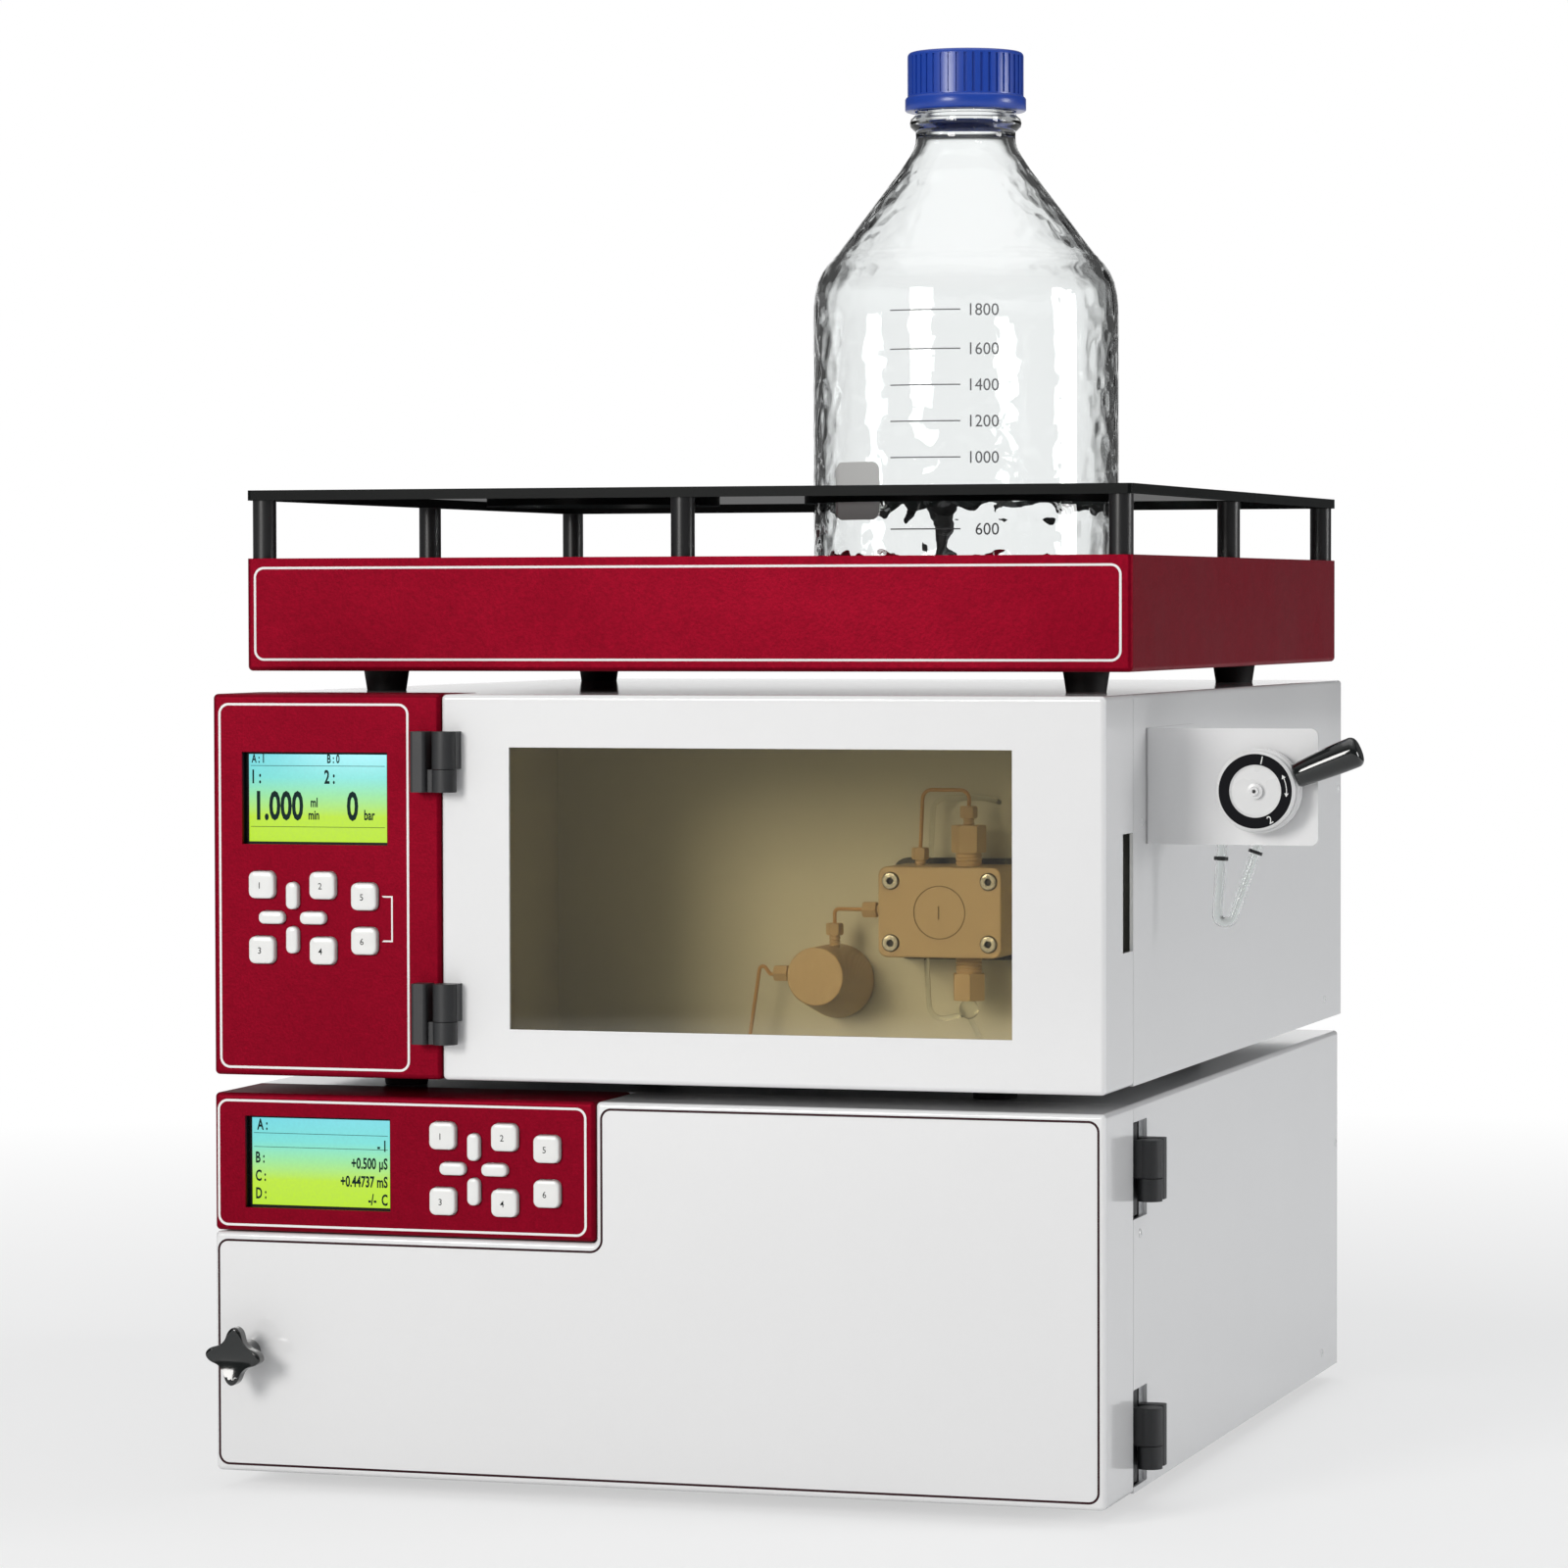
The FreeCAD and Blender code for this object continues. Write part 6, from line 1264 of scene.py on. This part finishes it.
# The bottle's wall as (radius, height above its base), from the foot's middle up its outside to the mouth
# and down its inside again. The straight stretches and the two arcs between these rows are set in glass().
FOOT = [(0, 1.6), (44, 1.4), (54, 0.5), (58.5, 0.0)]
SHOULDER = [(67.9, 158.0), (67.4, 163.0), (66.2, 168.6), (64.2, 173.2), (61.8, 176.8), (59.9, 178.6),
            (59.2, 179.8), (58.2, 180.6)]
NECK = [(27.2, 221.6), (25.0, 225.0), (23.4, 227.8), (22.4, 230.6), (22.2, 233.4), (22.25, 235.6)]
COLLAR = [(23.2, 236.6), (24.5, 237.8), (24.9, 239.5), (24.5, 241.2), (23.2, 242.4), (22.2, 243.4)]
THREAD_TURN = [(21.3, -1.2), (22.1, 0.0), (22.1, 1.0), (21.3, 2.2)]
THREAD_HEIGHTS = (247.0, 253.0, 259.0)
MOUTH = [(21.4, 266.0), (21.0, 267.6), (19.8, 268.4), (17.6, 268.2), (16.6, 267.2)]
NECK_INSIDE = [(16.5, 262.0), (16.5, 252.0), (16.7, 244.0), (18.6, 238.0), (19.0, 232.0), (19.8, 228.4),
               (21.6, 224.6), (24.4, 220.4)]
SHOULDER_INSIDE = [(55.0, 177.6), (57.2, 175.0), (59.4, 172.0), (61.2, 169.0), (62.4, 166.0), (63.0, 162.6),
                   (63.2, 159.0)]
FLOOR_INSIDE = [(44.0, 4.2), (20.0, 5.0), (0, 5.2), (0, 1.6)]


@dataclass
class ReagentBottle:
    """The glass bottle with its print, and its ribbed screw cap."""

    axis_x: float = 257.25
    axis_y: float = 250.1
    base: float = 335.5
    radius: float = 68.0
    segments: int = 216
    ripple_size: float = 0.0062
    ripple_depth: float = 0.5
    ripple_heights: tuple[float, float] = (12.0, 170.0)
    ripple_radii: tuple[float, float] = (60.0, 66.0)
    ripple_shoulder: tuple[float, float] = (176.0, 222.0)
    shoulder_low: tuple[float, float] = (59.0, 179.0)
    shoulder_high: tuple[float, float] = (28.6, 219.6)
    shoulder_inside: float = 58.0
    shoulder_margin: float = 1.2
    marks: tuple[tuple[str, float], ...] = (
        ("1800", 489.3), ("1600", 472.4), ("1400", 456.8), ("1200", 441.1),
        ("1000", 425.4), ("800", 410.0), ("600", 394.3), ("400", 378.0))
    print_gap: float = 4.0
    bar_x: float = 257.1
    bar_width: float = 31.6
    bar_height: float = 0.55
    bar_cuts: int = 20
    bar_proud: float = 0.10
    number_x: float = 288.8
    number_drop: float = 2.6
    number_size: float = 7.5
    number_squeeze: float = 0.88
    field_x: float = 223.9
    field_z: float = 411.2
    field_width: float = 24.0
    field_height: float = 25.3
    field_corner: float = 4.0
    field_step: float = 1.5
    field_cuts: int = 15
    field_proud: float = 0.16
    cap_low: float = 244.8
    cap_radius: float = 25.8
    cap_skirt_radius: float = 26.9
    cap_skirt_height: float = 6.5
    cap_height: float = 26.1
    cap_bore: float = 22.6
    cap_top: float = 2.5
    cap_round: float = 1.8
    ribs: int = 44
    rib_steps: int = 6
    rib_depth: float = 0.7
    rib_edge: float = 0.12
    rib_end: float = 1.9
    groove_share: float = 0.34

    def build(self) -> None:
        """Builds the bottle, its print and its cap."""
        self.glass()
        self.print_on()
        self.cap()

    def glass(self) -> None:
        """The bottle, spun from its wall's profile and rippled on its inner side."""
        profile = [*FOOT]
        profile += arc_points((58.5, 9.5), 9.5, -90, 0, 8)
        profile += line_points((self.radius, 15.5), (self.radius, 154.0), 24)
        profile += SHOULDER
        profile += line_points((57.0, 182.0), (29.4, 218.4), 12)
        profile += NECK
        profile += COLLAR
        for low in THREAD_HEIGHTS:
            profile += [(radius, low + height) for radius, height in THREAD_TURN]
        profile += MOUTH
        profile += NECK_INSIDE
        profile += line_points((25.6, 217.0), (53.4, 180.2), 24)
        profile += SHOULDER_INSIDE
        profile += line_points((63.3, 156.0), (63.3, 14.0), 64)
        profile += reversed(arc_points((54.5, 12.8), 8.7, -90, -6, 7))
        profile += FLOOR_INSIDE
        foot = DATUM.at(self.axis_x, self.axis_y, self.base)
        bottle = turned(profile, foot, UP, self.segments)
        group = bottle.vertex_groups.new(name="inner_wall")
        group.add(list(self.inner_wall(bottle)), 1.0, "REPLACE")
        ripple = bpy.data.textures.new("glass_ripple", "CLOUDS")
        ripple.noise_scale = self.ripple_size
        ripple.noise_depth = 1
        apply_modifier(bottle, "DISPLACE", texture=ripple, strength=self.ripple_depth * MM, mid_level=0.5,
                       vertex_group=group.name)
        hand_over(bottle, "glass_bottle", Body.CABINETS, BOTTLE_GLASS, BOTTLE_SMOOTH, ["reagent_bottle"])

    def inner_wall(self, bottle: bpy.types.Object) -> Iterator[int]:
        """Yields the numbers of the vertices on the bottle's inner wall, below its neck.

        In the shoulder these are the ones that lie inside a cone just within its outer face.
        """
        low, high = self.ripple_heights
        near, far = self.ripple_radii
        start, end = self.ripple_shoulder
        wide, foot = self.shoulder_low
        narrow, top = self.shoulder_high
        for vertex in bottle.data.vertices:
            height = vertex.co.z / MM
            radius = vertex.co.xy.length / MM
            in_body = low < height < high and near < radius < far
            slope = (height - foot) * (wide - narrow) / (top - foot)
            cone = self.shoulder_inside - slope - self.shoulder_margin
            if in_body or start <= height < end and radius < cone:
                yield vertex.index

    def print_on(self) -> None:
        """Prints the graduation, its numbers and the writing field on the bottle."""
        flat_y = self.axis_y - self.radius - self.print_gap
        pieces = []
        for text, z in self.marks:
            bar = plate(DATUM.at(self.bar_x, flat_y, z), self.bar_width, self.bar_height)
            with editing(bar):
                bpy.ops.mesh.select_all(action="SELECT")
                bpy.ops.mesh.subdivide(number_cuts=self.bar_cuts)
            apply_modifier(bar, "SOLIDIFY", thickness=2 * PRINT_THICKNESS * MM)
            place = DATUM.at(self.number_x, flat_y, z - self.number_drop)
            number = lettering(text, place, self.number_size, self.number_squeeze, "RIGHT", PRINT_THICKNESS)
            pieces += [bar, number]
        ink = join(pieces)
        self.wrap(ink, self.bar_proud)
        hand_over(ink, "bottle_graduation", Body.CABINETS, BOTTLE_INK, BOTTLE_SMOOTH)
        place = DATUM.at(self.field_x, flat_y, self.field_z)
        writing = plate(place, self.field_width, self.field_height)
        with editing(writing):
            bpy.ops.mesh.select_all(action="SELECT")
            bpy.ops.mesh.bevel(offset=self.field_corner * MM, segments=6, affect="VERTICES")
        with editing(writing):
            left = self.field_x - self.field_width / 2
            for step in range(1, self.field_cuts + 1):
                bpy.ops.mesh.select_all(action="SELECT")
                cut = DATUM.at(left + step * self.field_step, flat_y, self.field_z)
                bpy.ops.mesh.bisect(plane_co=cut, plane_no=(1, 0, 0))
        apply_modifier(writing, "SOLIDIFY", thickness=2 * PRINT_THICKNESS * MM)
        self.wrap(writing, self.field_proud)
        hand_over(writing, "bottle_writing_field", Body.CABINETS, BOTTLE_FIELD, BOTTLE_SMOOTH)

    def wrap(self, ink: bpy.types.Object, proud: float) -> None:
        """Lays flat print round the bottle's wall and keeps its thickness.

        Args:
            ink: The flat print in front of the bottle.
            proud: The print's distance from the wall in millimetres.
        """
        centre = DATUM.at(self.axis_x, self.axis_y, self.base)
        reach = (self.radius + proud) * MM
        flat_y = centre.y - (self.radius + self.print_gap) * MM
        for vertex in ink.data.vertices:
            dx = vertex.co.x - centre.x
            vertex.co.y += centre.y - math.sqrt(max(reach * reach - dx * dx, 0.0)) - flat_y
        ink.data.update()

    def cap(self) -> None:
        """The cap: a ribbed side with a soft top edge over a plain skirt, hollow below its crown."""
        skirt, height, round_edge = self.cap_skirt_height, self.cap_height, self.cap_round
        side, wide = self.cap_radius, self.cap_skirt_radius
        profile = [(self.cap_bore, 0.0), (wide - 0.5, 0.0), (wide, 0.5), (wide, skirt - 1.2),
                   (wide - 0.5, skirt - 0.4), (side, skirt), (side, skirt + 0.5),
                   (side, height - self.rib_end)]
        profile += arc_points((side - round_edge, height - round_edge), round_edge, 0, 90, 6)
        profile += [(0.0, height), (0.0, height - self.cap_top), (self.cap_bore, height - self.cap_top),
                    (self.cap_bore, 0.0)]
        low = self.base + self.cap_low
        centre = DATUM.at(self.axis_x, self.axis_y, low)
        cap = turned(profile, centre, UP, self.ribs * self.rib_steps)
        step = 2 * math.pi / self.ribs

        def in_groove(middle: Vector, normal: Vector) -> bool:
            """Whether a side face lies in one of the grooves between the ribs."""
            on_side = abs(normal.z) < 0.3 and middle.xy.length > (side - 0.5) * MM
            level = (skirt + 0.5) * MM < middle.z < (height - self.rib_end) * MM
            angle = math.atan2(middle.y, middle.x) % step
            return on_side and level and angle > step * (1 - self.groove_share)

        with editing(cap):
            pick_faces(cap, in_groove)
            bpy.ops.mesh.inset(thickness=self.rib_edge * MM, depth=-self.rib_depth * MM)
        hand_over(cap, "ribbed_cap", Body.BOTTLE_CAP, BLUE_PLASTIC, MOULDED_SMOOTH, ["bottle_cap"])


def arc_points(centre: tuple[float, float], radius: float, start: float, end: float, steps: int) -> Profile:
    """Points along an arc of a profile, from just after its start to its end.

    Args:
        centre: The arc's middle as (radius, height).
        radius: Its radius.
        start: The first angle in degrees.
        end: The last angle in degrees.
        steps: How many points.

    Returns:
        The points.
    """
    points = []
    for step in range(1, steps + 1):
        angle = math.radians(start + (end - start) * step / steps)
        points.append((centre[0] + radius * math.cos(angle), centre[1] + radius * math.sin(angle)))
    return points


def line_points(start: tuple[float, float], end: tuple[float, float], steps: int) -> Profile:
    """Evenly spaced points on a straight stretch of a profile, ends included."""
    wide, high = end[0] - start[0], end[1] - start[1]
    return [(start[0] + wide * step / steps, start[1] + high * step / steps) for step in range(steps + 1)]


@dataclass
class RearInlets:
    """The mains inlets and their switches at the back."""

    inlet_x: float = 47
    inlet_z: float = 49
    cabinets: tuple[tuple[float, float], ...] = ((0.0, 457.5), (166.0, 465.5))
    pins: tuple[tuple[float, float], ...] = ((-7, -1), (7, -1), (0, 3))
    pin_half: tuple[float, float] = (1.05, 2.05)
    pin_start: float = 14.4
    pin_end: float = 0.2

    def build(self) -> None:
        """Dresses the inlets and gives their three pins a metal finish."""
        dress(SOFT_BLACK, "power_inlets", "lower_power_switch", "upper_power_switch")
        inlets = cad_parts["power_inlets"].data
        inlets.materials.append(BRIGHT_STEEL.material())
        wide, high = self.pin_half
        for bottom, depth in self.cabinets:
            for dx, dz in self.pins:
                x, z = self.inlet_x + dx, bottom + self.inlet_z + dz
                first = DATUM.at(x - wide, depth - self.pin_start, z - high)
                last = DATUM.at(x + wide, depth + self.pin_end, z + high)
                for face in inlets.polygons:
                    if all(first[i] < face.center[i] < last[i] for i in range(3)):
                        face.material_index = 1


@dataclass
class Studio:
    """The floor, the lamps, the world and the camera."""

    camera_place: Place = (918.95, -2161.35, 362.72)
    yaw: float = 17.21
    pitch: float = 1.86
    roll: float = -0.13
    lens: float = 128.65
    sensor: float = 36.0
    clip_end: float = 50.0
    floor_size: float = 30.0
    floor_fade: tuple[float, float] = (0.5, 1.6)
    floor_glow: tuple[float, float] = (0.55, 1.0)
    floor_colour: Colour = (0.86, 0.86, 0.86)
    sky_colour: Colour = (0.96, 0.98, 1.0)
    ceiling_fade: tuple[float, float] = (0.45, 0.95)
    ceiling_level: float = 0.8
    aim_height: float = 0.22
    world_level: float = 0.42
    room_level: float = 0.07
    backdrop_way: Place = (-0.296, 0.955, 0.0)
    backdrop_edge: tuple[float, float] = (0.945, 0.985)
    lamps: tuple[tuple[str, Place, float, float, Colour], ...] = field(default_factory=lambda: (
        ("key_lamp", (-0.85, -2.6, 0.95), 0.8, 33.0, (1.0, 0.985, 0.96)),
        ("side_lamp", (2.6, 0.4, 0.75), 0.7, 17.5, (1.0, 1.0, 1.0)),
        ("top_lamp", (0.0, 0.1, 2.6), 2.6, 14.0, (1.0, 1.0, 1.0)),
    ))

    def build(self) -> None:
        """Builds the whole studio."""
        self.floor()
        self.world()
        for name, place, size, power, colour in self.lamps:
            self.lamp(name, place, size, power, colour)
        self.camera()
        bpy.context.scene.view_settings.view_transform = "Standard"

    def floor(self) -> None:
        """A wide pale floor that fades to white, and keeps the object's shadow."""
        deselect()
        bpy.ops.mesh.primitive_plane_add(size=self.floor_size, location=(0, 0, 0))
        plane = bpy.context.view_layer.objects.active
        plane.name = "studio_floor"
        made = bpy.data.materials.new("pale_floor")
        wiring = fresh_wiring(made)
        place = wiring.node("ShaderNodeTexCoord").outputs["Object"]
        reach = wiring.vector("LENGTH", place)["Value"]
        rays = wiring.node("ShaderNodeLightPath").outputs
        mirrors = wiring.maths("MAXIMUM", rays["Is Glossy Ray"], rays["Is Transmission Ray"])
        far = wiring.span(reach, *self.floor_fade, *self.floor_glow)
        behind = self.towards_backdrop(wiring, wiring.vector("NORMALIZE", place)[0])
        mirrored = wiring.maths("MULTIPLY", mirrors, behind)
        seen = wiring.maths("MAXIMUM", rays["Is Camera Ray"], mirrored)
        share = wiring.maths("MULTIPLY", seen, far)
        matt = wiring.node("ShaderNodeBsdfDiffuse", Color=(*self.floor_colour, 1.0))
        glow = wiring.node("ShaderNodeEmission", Color=(1.0, 1.0, 1.0, 1.0), Strength=1.0)
        mixed = wiring.mix_shaders(share, matt, glow)
        wiring.node("ShaderNodeOutputMaterial", Surface=mixed.outputs[0])
        plane.data.materials.append(made)

    def towards_backdrop(self, wiring: Wiring, way: bpy.types.NodeSocket) -> bpy.types.NodeSocket:
        """How bright gloss and glass see a direction: white behind the object, dark at the sides."""
        facing = wiring.vector("DOT_PRODUCT", way, self.backdrop_way)["Value"]
        return wiring.span(facing, *self.backdrop_edge, self.room_level, 1.0)

    def world(self) -> None:
        """An even sky for light; gloss and glass see white behind the object and a dark room elsewhere."""
        world = bpy.data.worlds.new("studio_world")
        wiring = fresh_wiring(world)
        rays = wiring.node("ShaderNodeLightPath").outputs
        light = wiring.node("ShaderNodeBackground", Color=(*self.sky_colour, 1.0), Strength=self.world_level)
        white = wiring.node("ShaderNodeBackground", Color=(1.0, 1.0, 1.0, 1.0), Strength=1.0)
        way = wiring.node("ShaderNodeTexCoord").outputs["Generated"]
        behind = self.towards_backdrop(wiring, way)
        height = wiring.node("ShaderNodeSeparateXYZ", Vector=way).outputs["Z"]
        above = wiring.span(height, *self.ceiling_fade, 0.0, self.ceiling_level)
        level = wiring.maths("MAXIMUM", behind, above)
        tone = wiring.blend(level, (0.0, 0.0, 0.0, 1.0), (1.0, 1.0, 1.0, 1.0))
        room = wiring.node("ShaderNodeBackground", Color=tone, Strength=1.0)
        sees_room = wiring.maths("MAXIMUM", rays["Is Glossy Ray"], rays["Is Transmission Ray"])
        first = wiring.mix_shaders(sees_room, light, room)
        second = wiring.mix_shaders(rays["Is Camera Ray"], first, white)
        wiring.node("ShaderNodeOutputWorld", Surface=second.outputs[0])
        bpy.context.scene.world = world

    def lamp(self, name: str, place: Place, size: float, power: float, colour: Colour) -> None:
        """One square soft lamp, aimed at the object's middle.

        Args:
            name: Its name.
            place: Where it hangs, in metres.
            size: Its side in metres.
            power: Its power in watts.
            colour: Its light's colour.
        """
        data = bpy.data.lights.new(name, "AREA")
        data.shape = "SQUARE"
        data.size = size
        data.energy = power
        data.color = colour
        lamp = bpy.data.objects.new(name, data)
        lamp.location = place
        aim = Vector((0, 0, self.aim_height)) - Vector(place)
        lamp.rotation_euler = aim.to_track_quat("-Z", "Y").to_euler()
        bpy.context.scene.collection.objects.link(lamp)

    def camera(self) -> None:
        """The camera at the photograph's place and angle."""
        data = bpy.data.cameras.new("camera")
        data.sensor_width = self.sensor
        data.lens = self.lens
        data.clip_end = self.clip_end
        camera = bpy.data.objects.new("camera", data)
        camera.location = DATUM.at(*self.camera_place)
        turn = Euler((math.radians(90 - self.pitch), 0, math.radians(self.yaw)), "XYZ").to_matrix()
        camera.rotation_euler = (turn @ Matrix.Rotation(math.radians(self.roll), 3, "Z")).to_euler()
        bpy.context.scene.collection.objects.link(camera)
        bpy.context.scene.camera = camera


# The displays' figures: text, x from the screen's left, z from its bottom, size and alignment
LOWER_FIGURES = (
    ("A :", 4.1, 32.4, 6.4, "LEFT"), ("- 1", 62.0, 24.6, 6.4, "RIGHT"),
    ("B :", 3.1, 18.6, 6.4, "LEFT"), ("+0.500 µS", 62.2, 17.2, 6.4, "RIGHT"),
    ("C :", 3.1, 11.0, 6.4, "LEFT"), ("+0.44737 mS", 62.2, 9.6, 6.4, "RIGHT"),
    ("D :", 3.1, 3.6, 6.4, "LEFT"), ("-/-  C", 62.2, 2.2, 6.4, "RIGHT"),
)
UPPER_FIGURES = (
    ("A : 1", 3.0, 33.9, 5.0, "LEFT"), ("B : 0", 36.6, 33.9, 5.0, "LEFT"),
    ("1 :", 2.4, 25.4, 7.8, "LEFT"), ("2 :", 35.4, 25.4, 7.8, "LEFT"),
    ("1.000", 3.4, 10.4, 16.4, "LEFT"), ("0", 45.4, 10.4, 16.4, "LEFT"),
    ("ml", 29.2, 15.6, 5.4, "LEFT"), ("min", 28.2, 10.4, 5.4, "LEFT"), ("bar", 53.0, 10.4, 5.8, "LEFT"),
)


def main() -> None:
    """Builds every sub-assembly in order."""
    logging.basicConfig(level=logging.INFO, format="%(name)s: %(message)s")
    Studio().build()
    SheetMetal().build()
    ReagentTray().build()
    dress(DISPLAY_BLACK, "display_boards")
    ControlPanel("lower", left=1.4, right=164.5, bottom=102.9, top=155.9, screen_left=13.7, screen_top=149.1,
                 pad_x=115.8, pad_z=129.5, figures=LOWER_FIGURES, rules=(31.0, 25.2)).build()
    ControlPanel("upper", left=2.7, right=87.4, bottom=168.9, top=321.2, screen_left=13.1, screen_top=300.9,
                 pad_x=36.1, pad_z=232.1, figures=UPPER_FIGURES, rules=(32.6, 7.2), bracket=True).build()
    PumpCompartment().build()
    InjectionValve().build()
    ReagentBottle().build()
    RearInlets().build()


if __name__ == "__main__":
    main()
